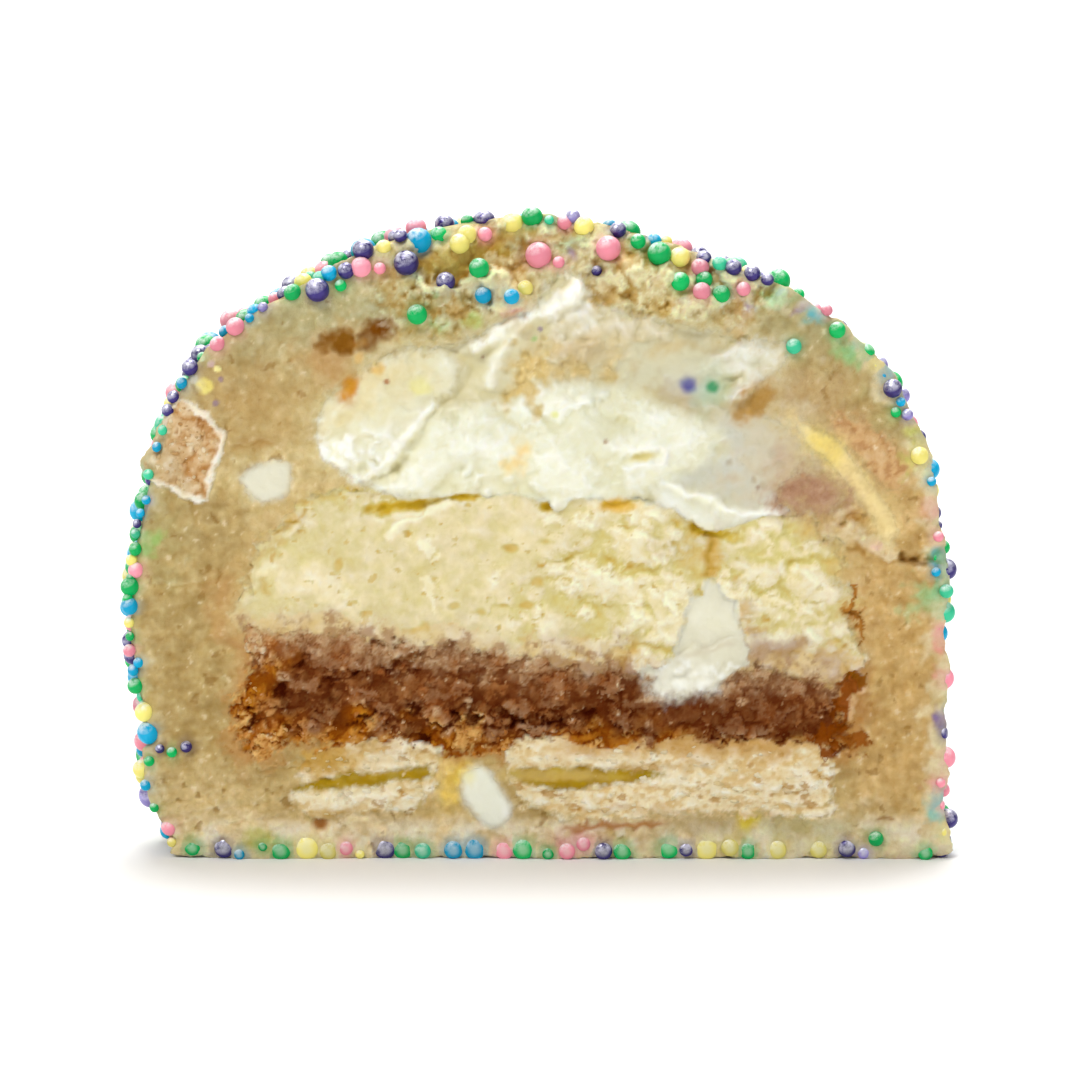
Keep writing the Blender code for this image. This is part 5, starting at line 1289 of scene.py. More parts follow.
# painted shade in the gaps between the crumbs
crust_t = paint(crust_t, mix(colour(92, 34, 2), colour(142, 74, 4), low[..., None]), 0.75 * smooth(0.42, 0.16, big) * (0.6 + 0.4 * loose))
crust_t = paint(crust_t, mix(colour(104, 44, 4), colour(160, 92, 14), low[..., None]), 0.45 * smooth(0.32, 0.10, fine) * (0.5 + 0.5 * loose))
# painted shade in the holes, darkest near the foot
deep_hole = smooth(-0.8, -2.2, ABOVE_FOOT)
crust_t = paint(crust_t, colour(136, 84, 36), 0.7 * hole * (1 - deep_hole))
crust_t = paint(crust_t, colour(74, 20, 0), 0.95 * hole * deep_hole)
# painted shade in the crust's hollows and painted light on its crests
crust_t = painted_relief_shading(crust_t, crust_h, 0.7, 1.2, (0.45, 0.95, 1.5))
crust_t = painted_relief_shading(crust_t, crust_h, 0.25, 1.9, (0.35, 0.85, 1.4))

# ------------------------------------------- the broken sandwich biscuit
porous = billow(80, 1.2, 3, 0.55, 1.35)
flaky = octaves(379, 0.6, 2, 0.7, 1.3)
bis_holes = pocks(81, 0.8, 0.13, 1.6)
bis_h = MACRO - 0.05 + 0.060 * porous + 0.020 * flaky + 0.06 * field(377, 5.0, 0.9) - 0.12 * bis_holes
bis_t = plain(colour(240, 224, 184))
bis_t = varied(bis_t, 378, 3.0, 0.05, (0.7, 1.0, 1.7), 3, 0.6)
# painted light on the crests of the pores and flakes, painted shade in their hollows and holes
bis_t = paint(bis_t, colour(247, 237, 210), 0.80 * smooth(-0.2, 1.3, 0.7 * porous + 0.6 * flaky))
bis_t = paint(bis_t, colour(220, 186, 122), 0.60 * smooth(-0.3, -1.3, 0.7 * porous + 0.6 * flaky))
bis_t = paint(bis_t, colour(192, 146, 74), 0.75 * bis_holes)
bisl_t = wash(bis_t, (209, 170, 82), -18.15, 8.6, 3.4, 1.3, 0, 0.85, 0.8)
bisl_t = wash(bisl_t, (201, 159, 78), -19.75, 8.8, 3.6, 1.4, 0, 0.85, 0.8, 0.4, 548)
bisl_t = wash(bisl_t, (206, 172, 108), -14.95, 9.4, 2.6, 0.5, 0, 0.6, 0.8, 0.4, 549)
bisl_t = wash(bisl_t, (248, 240, 214), -13.15, 8.2, 1.7, 0.5, 0, 0.7, 0.8)
bisl_t = along(bisl_t, (250, 241, 210), [(-20.45, 4.8), (-18.45, 5.4), (-15.95, 5.6), (-11.95, 5.7)], 0.8, 0.7, 0.25, 0.2, 468)
bisl_t = along(bisl_t, (240, 224, 188), [(-15.15, 8.4), (-13.45, 8.3), (-11.75, 8.5)], 0.4, 0.8, 0.25, 0.2, 469)
bisl_t = along(bisl_t, (206, 166, 80), [(-21.35, 4.4), (-18.95, 3.8), (-14.95, 3.6), (-11.95, 4)], 0.3, 0.6, 0.2, 0.2, 470)
bisr_t = along(bis_t, (244, 231, 200), [(-2.45, 8.2), (1.05, 8.7), (5.05, 8.9), (10.05, 8.3)], 0.55, 0.5, 0.25, 0.25, 471)
bisr_t = along(bisr_t, (206, 164, 98), [(6.05, 10.1), (11.05, 9.7), (17.05, 9.5), (22.05, 9.1)], 0.9, 0.7, 0.2, 0.3, 472)
bisr_t = along(bisr_t, (204, 170, 108), [(6.05, 8.1), (11.05, 7.7), (15.05, 7.9)], 0.4, 0.6, 0.2, 0.25, 381)
bisr_t = along(bisr_t, (204, 158, 84), [(1.05, 4.2), (7.05, 4.3), (15.05, 3.8), (22.05, 3.7)], 0.35, 0.5, 0.2, 0.25, 382)
bisr_t = along(bisr_t, (214, 178, 112), [(15.05, 7.3), (18.05, 6.9), (21.05, 7.3)], 0.3, 0.4, 0.2, 0.25, 473)
bisl_h = bis_h + 0.20 * spot(-15.95, 5.1, 5.0, 0.9, 0, 0.6)
bisr_h = bis_h + 0.22 * spot(19.05, 6.3, 5.5, 1.6, 0, 0.6) + 0.15 * spot(5.05, 8.7, 7.0, 0.7, 0, 0.6)
ridge(bisr_h, [(15.05, 6.5), (16.65, 5.9), (18.25, 5.4)], -0.18, 0.16, 0.15, 0.12, 383)
# painted shade in the biscuits' hollows and painted light on their crests
bisl_t = painted_relief_shading(bisl_t, bisl_h, 0.4, 1.2, (0.20, 0.50, 1.3))
bisr_t = painted_relief_shading(bisr_t, bisr_h, 0.4, 1.2, (0.20, 0.50, 1.3))

lemon_h = MACRO - 0.16 + 0.08 * octaves(85, 1.6, 3) + 0.04 * field(384, 2.0, 0.3)
lemon_t = plain(colour(172, 138, 8))
lemon_t = paint(lemon_t, colour(190, 164, 66), np.clip(0.4 * octaves(385, 1.6, 3), 0, 0.6))
lemon_t = paint(lemon_t, colour(146, 110, 10), np.clip(-0.4 * octaves(386, 1.5, 3), 0, 0.5))
lemon_t = paint(lemon_t, colour(236, 222, 180), 0.7 * pocks(387, 0.9, 0.05))

# ------------------------------------------------------------ chips and chunks
white_h = MACRO + 0.24 + 0.08 * octaves(90, 3.0, 2) + 0.015 * billow(474, 1.2, 2, 0.5)
ridge(white_h, [(11.45, 21.9), (13.25, 23.3), (14.45, 22.7)], 0.20, 0.6)
ledge(white_h, [(16.75, 19.3), (15.45, 18.7), (13.25, 18.1), (11.25, 17.3), (10.05, 17.1)], 0.30, 0.6, 0.2, 0.2, 388)
white_h += 0.10 * smooth(17.4, 16.2, Z) * billow(475, 1.5, 3, 0.5)
white_t = plain(colour(218, 215, 194))
white_t = wash(white_t, (232, 230, 208), 14.05, 20, 2.4, 2.6, 0, 0.7, 0.9)
white_t = paint(white_t, colour(236, 237, 232), 0.7 * smooth(17.6, 16.4, Z) * smooth(-0.4, 1.2, billow(475, 1.5, 3, 0.5)))
white_t = varied(white_t, 389, 2.4, 0.022, (0.7, 0.8, 1.4))
white_t = wash(white_t, (238, 238, 226), 11.85, 15.3, 3.0, 1.2, 10, 0.7, 0.8)
white_t = wash(white_t, (226, 176, 108), 16.85, 21, 0.3, 1.3, 0, 0.6, 0.8)
# painted shade along the ledge
white_t = along(white_t, (206, 196, 170), [(16.75, 19.1), (15.45, 18.5), (13.25, 17.9), (11.25, 17.1)], 0.3, 0.5, 0.2, 0.15, 476)
# painted shade in the white chunk's hollows and painted light on its crests
white_t = painted_relief_shading(white_t, white_h, 0.5, 0.6, (0.2, 0.3, 0.55))
chiplo_h = MACRO + 0.04 + 0.03 * octaves(91, 1.5, 3) + 0.22 * (1 - np.exp(np.clip(L_CHIPLO, -5, 0) / 0.8))
chiple_h = MACRO + 0.06 + 0.04 * octaves(92, 1.5, 3) + 0.12 * (1 - np.exp(np.clip(L_CHIPLE, -5, 0) / 0.8))
chiplo_t = plain(colour(233, 234, 218))
# painted highlight on the chip's lower right
chiplo_t = wash(chiplo_t, (246, 246, 240), -2.95, 4, 0.5, 0.9, 30, 0.6, 0.8)
chiplo_t = wash(chiplo_t, (236, 226, 156), -6.55, 7.3, 0.8, 0.8, 0, 0.6, 0.9)
chiple_t = plain(colour(224, 221, 200))
coat = smooth(-0.75, -0.25, L_CHL + 0.16 * octaves(390, 1.0, 3)) * smooth(-28.9, -27.9, X + 0.25 * (Z - 34))
coat = np.maximum(coat, 0.8 * smooth(-0.5, -0.1, L_CHL + 0.14 * octaves(477, 0.9, 3)) * smooth(34.5, 37, Z))
coat = np.maximum(coat, smooth(-0.6, -0.2, L_CHL + 0.14 * octaves(478, 0.9, 3)) * smooth(32.6, 31.8, Z))
pale_side = smooth(-29.5, -31.2, X + 0.35 * octaves(479, 1.5, 3) + 0.4 * (Z - 34))
chl_rough = billow(93, 1.2, 3, 0.5)
chl_h = MACRO + 0.08 + 0.085 * chl_rough * (1 - coat) - 0.16 * pocks(391, 0.8, 0.10) * (1 - coat) + 0.16 * coat
chl_t = plain(colour(216, 182, 136))
# painted light on the crests and painted shade in the hollows and pits
chl_t = paint(chl_t, colour(226, 200, 158), 0.7 * smooth(-0.2, 1.4, chl_rough))
chl_t = paint(chl_t, colour(190, 138, 78), 0.7 * smooth(-0.2, -1.3, chl_rough))
chl_t = paint(chl_t, colour(170, 112, 50), 0.7 * pocks(391, 0.8, 0.10))
chl_t = wash(chl_t, (190, 132, 60), -29.75, 32.7, 1.5, 0.9, -20, 0.6, 0.8, 0.5, 480)
chl_t = paint(chl_t, colour(216, 196, 156), 0.7 * pale_side)
chl_t = paint(chl_t, colour(246, 234, 210), 0.95 * coat)
for px, pz, w, t, turn in ((-26.25, 36.2, 0.45, 0.3, -30), (-28.75, 30.4, 0.6, 0.3, 0), (-29.35, 32.3, 0.4, 0.3, 0), (-27.35, 32.3, 0.5, 0.3, 40), (-26.85, 34, 0.3, 0.7, 10)):
    chl_t = wash(chl_t, (250, 244, 228), px, pz, w, t, turn, 0.85, 0.7, 0.4, 481)
# painted shade in the left chunk's hollows and painted light on its crests
chl_t = painted_relief_shading(chl_t, chl_h, 0.4, 1.6, (0.35, 0.7, 1.3))
chr_rough = billow(94, 1.2, 3, 0.5)
chr_h = MACRO + 0.02 + 0.045 * chr_rough - 0.10 * pocks(394, 0.8, 0.08)
chr_t = plain(colour(214, 174, 122))
# painted light on the crests and painted shade in the hollows
chr_t = paint(chr_t, colour(220, 188, 142), 0.6 * smooth(0, 1.4, chr_rough))
chr_t = paint(chr_t, colour(184, 132, 84), 0.6 * smooth(-0.2, -1.3, chr_rough))
chr_t = paint(chr_t, colour(240, 222, 190), 0.6 * pocks(396, 0.6, 0.05))
# painted shade in the right chunk's hollows and painted light on its crests
chr_t = painted_relief_shading(chr_t, chr_h, 0.4, 1.4, (0.35, 0.7, 1.2))
stripe_h = MACRO + 0.05 + 0.05 * octaves(95, 1.2, 3)
stripe_t = plain(colour(244, 223, 164))
stripe_t = varied(stripe_t, 482, 2.0, 0.04, (0.6, 0.9, 1.8))
stripe_t = wash(stripe_t, (236, 212, 112), 23.25, 35.1, 1.8, 1.2, -35, 0.8, 0.8)
stripe_t = wash(stripe_t, (224, 202, 140), 27.85, 31, 1.5, 3.0, 30, 0.7, 0.8)
inner_rough = billow(96, 1.3, 3, 0.5)
inner_h = MACRO - 0.02 + 0.05 * inner_rough
inner_t = plain(colour(182, 142, 112))
# painted light on the crests and painted shade in the hollows
inner_t = paint(inner_t, colour(196, 162, 134), 0.7 * smooth(0, 1.4, inner_rough))
inner_t = paint(inner_t, colour(160, 114, 88), 0.5 * smooth(-0.2, -1.3, inner_rough))
inner_t = wash(inner_t, (186, 116, 62), 21.75, 32.6, 0.4, 0.3, 0, 0.8, 0.8)

# ---------------------------------------------- one cut face through all of them
FACE = {"dough": None}
face_h, face_t = dough_h, dough_t


def laid(name, level, height, tint, soft, rough=0.15, seed=0, step=None):
    """Lays one food into the cut face; soft tells how far it has grown together with what surrounds it."""
    global face_h, face_t
    edge = level + rough * octaves(seed, 0.9, 4, 0.75)
    face_t = mix(face_t, tint, smooth(soft, -soft, edge)[..., None])
    step = np.minimum(soft, 0.35) if step is None else step
    face_h = mix(face_h, height, smooth(step, -step, level))
    FACE[name] = level


laid("crumb_crust", L_CRUST, crust_h, crust_t, 0.35, 0.20, 490)
edge = Z + 0.38 * ragged(octaves(550, 1.6, 3, 0.55), 554, 0.9, 0.15)
band = smooth(10.05, 10.35, edge) * smooth(0.5, 3.0, X)
toasted = smooth(8.6, 9.9, Z + 0.4 * octaves(551, 1.6, 3))
bisr_t = paint(bisr_t, colour(204, 160, 88), 0.75 * toasted * smooth(0.5, 3.0, X))
bisr_t = mix(bisr_t, crust_t, band[..., None])
bisr_h = mix(bisr_h, crust_h, band)
left_top = smooth(9.75, 10.1, edge)
bisl_t = mix(bisl_t, crust_t, left_top[..., None])
bisl_h = mix(bisl_h, crust_h, left_top)
laid("biscuit_left", L_BISL, bisl_h, bisl_t, 0.40, 0.18, 491)
laid("biscuit_right", L_BISR, bisr_h, bisr_t, 0.35, 0.18, 492)
laid("lemon_left", L_LEML, lemon_h, lemon_t, 0.32, 0.10, 493)
laid("lemon_right", L_LEMR, lemon_h, lemon_t, 0.32, 0.10, 494)
laid("cheesecake", L_CAKE, cake_h, cake_t, 0.55, 0.20, 495, 0.40)
laid("chunk_right", L_CHR, chr_h, chr_t, 0.70, 0.20, 497)
laid("stripe", L_STRIPE - 0.1, stripe_h, stripe_t, 1.1, 0.20, 498)
FACE["stripe"] = L_STRIPE
laid("chunk_left", L_CHL, chl_h, chl_t, 0.22, 0.10, 499, 0.16)
laid("chip_left", L_CHIPLE, chiple_h, chiple_t, 0.50, 0.06, 510)
laid("chip_low", L_CHIPLO, chiplo_h, chiplo_t, 0.50, 0.06, 511, 0.55)
# the cream hangs over below; above and on the right it has run into the dough
free = smooth(32.6, 30.8, Z + 0.3 * field(512, 3.0)) * smooth(24, 20, X)
free = np.maximum(free, 0.7 * smooth(-15.5, -17.5, X) * smooth(36.5, 34.0, Z))
far_side = smooth(16.5, 19.5, X) * smooth(30.6, 31.8, Z)
laid("cream", L_CREAM + 0.5 * far_side, cream_h, cream_t, mix(mix(0.85, 1.8, far_side), 0.13, free), 0.30 * (1 - free), 513, mix(mix(0.55, 1.4, far_side), 0.12, free))
laid("chunk_inner", L_INNER - 0.1, inner_h, inner_t, 1.6, 0.35, 496, 1.2)
FACE["cream"], FACE["chunk_inner"] = L_CREAM, L_INNER
film = smooth(16.0, 14.6, Z + 0.4 * octaves(515, 1.2, 2))
laid("white_chunk", L_WHITE, white_h - 0.35 * film, white_t, mix(0.20, 0.9, film), 0.16, 514, mix(0.24, 0.5, film))
# cracks beside the right end of the crust, sunk and painted dark amber as shade
for line, wide, dark in (([(27.25, 16.1), (26.25, 15.3), (25.65, 14.5), (25.05, 13.5), (24.85, 12.3), (24.75, 11.5), (24.25, 10.5), (23.95, 9.5), (23.75, 8.2)], 0.66, (142, 72, 4)), ([(25.05, 10.7), (26.05, 10.3), (26.85, 9.3)], 0.5, (160, 92, 24)), ([(25.95, 23.5), (26.15, 22.3), (26.05, 20.9), (26.15, 19.5)], 0.72, (186, 122, 44)), ([(25.85, 20.9), (26.45, 19.5), (26.75, 18.3)], 0.45, (176, 118, 46)), ([(25.65, 14.9), (26.65, 15.5), (27.65, 16.1)], 0.5, (160, 96, 16))):
    s = Stroke(line, wide * 3, 0.45, 411)
    crack = np.zeros(X.shape)
    crack[s.win] = np.exp(-((s.dist / wide) ** 2)) * s.taper(0.15)
    crack = ragged(crack, 556, 1.1, 0.22)
    face_h = face_h - 0.35 * crack
    face_t = paint(face_t, colour(*dark), 0.95 * smooth(0.30, 0.75, crack))
# the dough shows through the flap, a darker amber place lies at the torn end, and painted shade fills the gap under the
# cream's lower edge
for px, pz, w, t, turn, c, amount in ((-16.05, 39.6, 0.90, 0.85, 0, (208, 144, 26), 0.90), (9.25, 41.7, 5.0, 1.8, 4, (213, 213, 187), 0.70), (12.15, 40.1, 0.56, 0.56, 0, (80, 74, 152), 0.70), (3.05, 42.7, 2.2, 0.9, 8, (196, 172, 124), 0.50), (-1.35, 44.3, 1.7, 1.0, -25, (204, 188, 146), 0.55), (6.25, 30, 1.9, 0.45, 4, (226, 182, 66), 0.75), (1.05, 7.1, 4.6, 0.42, 0, (218, 192, 118), 0.50), (-15.15, 42.4, 0.50, 0.42, 0, (230, 190, 112), 0.65), (-13.95, 41.4, 0.60, 0.42, 10, (230, 190, 112), 0.65), (17.45, 38.5, 1.50, 0.80, 30, (176, 132, 52), 0.80)):
    face_t = wash(face_t, c, px, pz, w, t, turn, amount, 0.6, 0.3, 454)
face_h = face_h - 0.30 * np.exp(np.clip(L_DOUGH, -5, 0.3) / 0.35)


def own(name, drop=2.9):
    """The height of one food's own mesh: the shared face, which it leaves at its edge and under what lies before it."""
    names = list(FACE)
    made = face_h.copy()
    if FACE[name] is not None:
        made -= drop * smooth(0.12, 0.85, FACE[name])
    for other in names[names.index(name) + 1 :]:
        made -= 1.9 * smooth(-0.22, -0.95, FACE[other])
    return made


dough_h = own("dough") - 1.6 * smooth(-0.25, -1.15, L_FILL)
cake_h, crust_h, cream_h = own("cheesecake"), own("crumb_crust"), own("cream")
bisl_h, bisr_h, leml_h, lemr_h = own("biscuit_left", 2.4), own("biscuit_right", 2.4), own("lemon_left", 1.7), own("lemon_right", 1.7)
white_h, chiplo_h, chiple_h = own("white_chunk", 3.0), own("chip_low", 2.4), own("chip_left", 2.0)
chl_h, chr_h, stripe_h, inner_h = own("chunk_left", 2.1), own("chunk_right", 2.1), own("stripe", 1.7), own("chunk_inner", 1.6)


# ------------------------------------------------------------------------- the pieces
def round_plan(radius, middle):
    """How far back a round layer reaches at each place across it."""
    return lambda x: np.sqrt(np.clip(radius**2 - (np.asarray(x, float) - middle) ** 2, 0.01, None))


def lump_plan(depth, points):
    """A chip's depth across it."""
    xs = [p[0] for p in points]
    low, high = min(xs), max(xs)
    return lambda x: 0.9 + depth * np.sqrt(np.clip(1 - ((np.asarray(x, float) - (low + high) / 2) / ((high - low) / 2 + 0.01)) ** 2, 0, 1))


FLOOR = 0.25  # the dough's flat base; the pearls under it touch the table
PLAN = 34.1


def dough_piece():
    parts = Parts()
    level = np.maximum(L_DOUGH, -(L_FILL + 1.1))
    corner = level[:-1, :-1] + level[1:, :-1] + level[:-1, 1:] + level[1:, 1:]
    cell = cleaned(corner < 0)
    loops = loops_of(cell)
    outer = loops[0]
    hole = loops[1]
    cell = filled(cell, outer) & ~filled(cell, hole)
    made = front(parts, cell, level, dough_h, face_t, 0.02, 2)
    edge_depth = blurred(np.where(D_DOUGH < 0.4, dough_h, 0), 0.6) / np.clip(blurred((D_DOUGH < 0.4) * 1.0, 0.6), 0.05, None)

    def sunk(x, z):
        r = np.clip(np.searchsorted(ZS, z), 0, NZ - 1)
        c = np.clip(np.searchsorted(XS, x), 0, NX - 1)
        return np.clip(-edge_depth[r, c], 0, 4) + 0.7

    base = colour(196, 172, 120)

    def tone(x, y, z):
        return np.broadcast_to(base, (len(x), 3))

    def lump(x, y, z, centre, s):
        dx, dy = x - centre, y
        r = np.hypot(dx, dy) + 1e-6
        wave = np.array(
            [
                0.45 * noise.noise(Vector((a / 9, b / 9, c / 9)))
                + 0.28 * noise.noise(Vector((a / 3.4 + 5, b / 3.4, c / 3.4)))
                + 0.12 * noise.noise(Vector((a / 1.4 + 9, b / 1.4, c / 1.4)))
                for a, b, c in zip(x.ravel(), y.ravel(), z.ravel())
            ]
        ).reshape(x.shape)
        wave = wave * smooth(0.0, 0.12, s)
        low = smooth(0.1, 4.0, z)
        x = x + dx / r * wave * np.clip(r / 8, 0, 1)
        y = y + dy / r * wave * np.clip(r / 8, 0, 1)
        z = z + wave * low * smooth(15, 40, z)
        x = x - 0.9 * smooth(0.5, 6.0, y) * smooth(0.0, 6.0, z)
        return x, y, z

    big, small = made[0], made[1]
    shell = domed(parts, big, DOUGH, lambda z: PLAN + 0 * np.asarray(z, float), FLOOR, sunk, tone, False, 0.95, lump)
    cavity = [
        (-20.6, 3.2), (-21.4, 8.0), (-26.1, 9.5), (-26.2, 18.0), (-24.6, 29.0), (-19.5, 33.5), (-18.6, 38.0),
        (-14.0, 42.2), (-6.0, 44.6), (1.0, 47.6), (8.0, 45.4), (16.0, 43.4), (20.6, 39.5), (21.8, 33.0),
        (25.8, 27.5), (26.6, 18.0), (26.0, 9.5), (24.9, 8.0), (24.2, 3.2),
    ]
    domed(parts, small, cavity, lambda z: 10.0 + 0 * np.asarray(z, float), 3.0, 3.0, tone, True, 2.0)
    return piece("dough_shell", parts.mesh("dough_shell"), DOUGH_LOOK, "cookie_dough", "dough"), shell


DOUGH_PIECE, SHELL = dough_piece()
layer("cheesecake_layer", CAKE, L_CAKE, cake_h, face_t, CAKE_LOOK, "cheesecake", ["cheesecake"], round_plan(25.5, 0.9), seed=3)
layer("crust_layer", CRUST, L_CRUST, crust_h, face_t, CRUST_LOOK, "crumb_crust", ["crumb_crust"], round_plan(25.8, -0.1), seed=4)
layer("cream_dollop", CREAM, L_CREAM, cream_h, face_t, CREAM_LOOK, "cream", ["cream"], round_plan(19.8, 1.2), 2.4, seed=5)
layer("biscuit_left", BISCUIT_LEFT, L_BISL, bisl_h, face_t, BISCUIT_LOOK, "biscuit", ["wafer_upper_left", "wafer_lower_left"], round_plan(22.4, 2.0), 6, 0.7, seed=6)
layer("biscuit_right", BISCUIT_RIGHT, L_BISR, bisr_h, face_t, BISCUIT_LOOK, "biscuit", ["wafer_upper_right", "wafer_lower_right"], round_plan(22.4, 2.0), 6, 0.7, seed=7)
layer("lemon_left", LEMON_LEFT, L_LEML, leml_h, face_t, LEMON_LOOK, "lemon_filling", ["lemon_filling_left"], lump_plan(8, LEMON_LEFT), 3, 0.3, 1.9, 24, 6, seed=8)
layer("lemon_right", LEMON_RIGHT, L_LEMR, lemr_h, face_t, LEMON_LOOK, "lemon_filling", ["lemon_filling_right"], lump_plan(10, LEMON_RIGHT), 3, 0.3, 1.9, 24, 6, seed=9)
layer("white_chunk_cut", WHITE_CHUNK, L_WHITE, white_h, face_t, WHITE_LOOK, "white_chip", ["white_chunk"], lump_plan(3.4, WHITE_CHUNK), 2.4, 0.6, 2.6, 24, 8, seed=10)
layer("white_chip_low_cut", CHIP_LOW, L_CHIPLO, chiplo_h, face_t, WHITE_LOOK, "white_chip", ["white_chip_low"], lump_plan(2.6, CHIP_LOW), 2.2, 0.4, 2.2, 20, 8, seed=11)
layer("white_chip_left_cut", CHIP_LEFT, L_CHIPLE, chiple_h, face_t, WHITE_LOOK, "white_chip", ["white_chip_left"], lump_plan(2.4, CHIP_LEFT), 2.2, 0.35, 1.9, 20, 8, seed=12)
layer("biscuit_chunk_left_cut", CHUNK_LEFT, L_CHL, chl_h, face_t, BISCUIT_LOOK, "biscuit_chunk", ["biscuit_chunk_left"], lump_plan(4.6, CHUNK_LEFT), 3, 0.35, 2.0, 24, 8, seed=13)
layer("biscuit_chunk_right_cut", CHUNK_RIGHT, L_CHR, chr_h, face_t, BISCUIT_LOOK, "biscuit_chunk", ["biscuit_chunk_right"], lump_plan(4.0, CHUNK_RIGHT), 3, 0.35, 2.0, 24, 8, seed=14)
layer("lemon_cream_cut", LEMON_STRIPE, L_STRIPE, stripe_h, face_t, WHITE_LOOK, "lemon_cream", ["lemon_cream_right"], lump_plan(3.0, LEMON_STRIPE), 3, 0.35, 1.5, 24, 8, seed=15)
layer("biscuit_chunk_inner_cut", CHUNK_INNER, L_INNER, inner_h, face_t, BISCUIT_LOOK, "biscuit_chunk", ["biscuit_chunk_inner"], lump_plan(2.0, CHUNK_INNER), 2.4, 0.35, 1.4, 20, 8, seed=16)


# -------------------------------------------------------------- the sugar pearls
def geodesic(parts_per_edge):
    """A unit sphere of small even triangles."""
    g = (1 + 5**0.5) / 2
    base = [(-1, g, 0), (1, g, 0), (-1, -g, 0), (1, -g, 0), (0, -1, g), (0, 1, g), (0, -1, -g), (0, 1, -g), (g, 0, -1), (g, 0, 1), (-g, 0, -1), (-g, 0, 1)]
    sides = [(0, 11, 5), (0, 5, 1), (0, 1, 7), (0, 7, 10), (0, 10, 11), (1, 5, 9), (5, 11, 4), (11, 10, 2), (10, 7, 6), (7, 1, 8), (3, 9, 4), (3, 4, 2), (3, 2, 6), (3, 6, 8), (3, 8, 9), (4, 9, 5), (2, 4, 11), (6, 2, 10), (8, 6, 7), (9, 8, 1)]
    number, points, faces = {}, [], []

    def at(p):
        p = p / np.linalg.norm(p)
        key = tuple(np.round(p, 5) + 0.0)
        if key not in number:
            number[key] = len(points)
            points.append(p)
        return number[key]

    n = parts_per_edge
    for a, b, c in sides:
        a, b, c = (np.array(base[k], float) for k in (a, b, c))
        grid = {(i, j): at(a + (b - a) * i / n + (c - a) * j / n) for i in range(n + 1) for j in range(n + 1 - i)}
        for i in range(n):
            for j in range(n - i):
                faces.append((grid[i, j], grid[i + 1, j], grid[i, j + 1]))
                if i + j < n - 1:
                    faces.append((grid[i + 1, j], grid[i + 1, j + 1], grid[i, j + 1]))
    return np.array(points), np.array(faces)


FINE_BALL, COARSE_BALL = geodesic(4), geodesic(3)
SUGAR = {
    "blue": (0, 160, 204),
    "green": (0, 176, 90),
    "purple": (52, 40, 112),
    "yellow": (232, 220, 120),
    "pink": (240, 146, 164),
    "mint": (60, 196, 150),
    "lilac": (146, 134, 204),
}

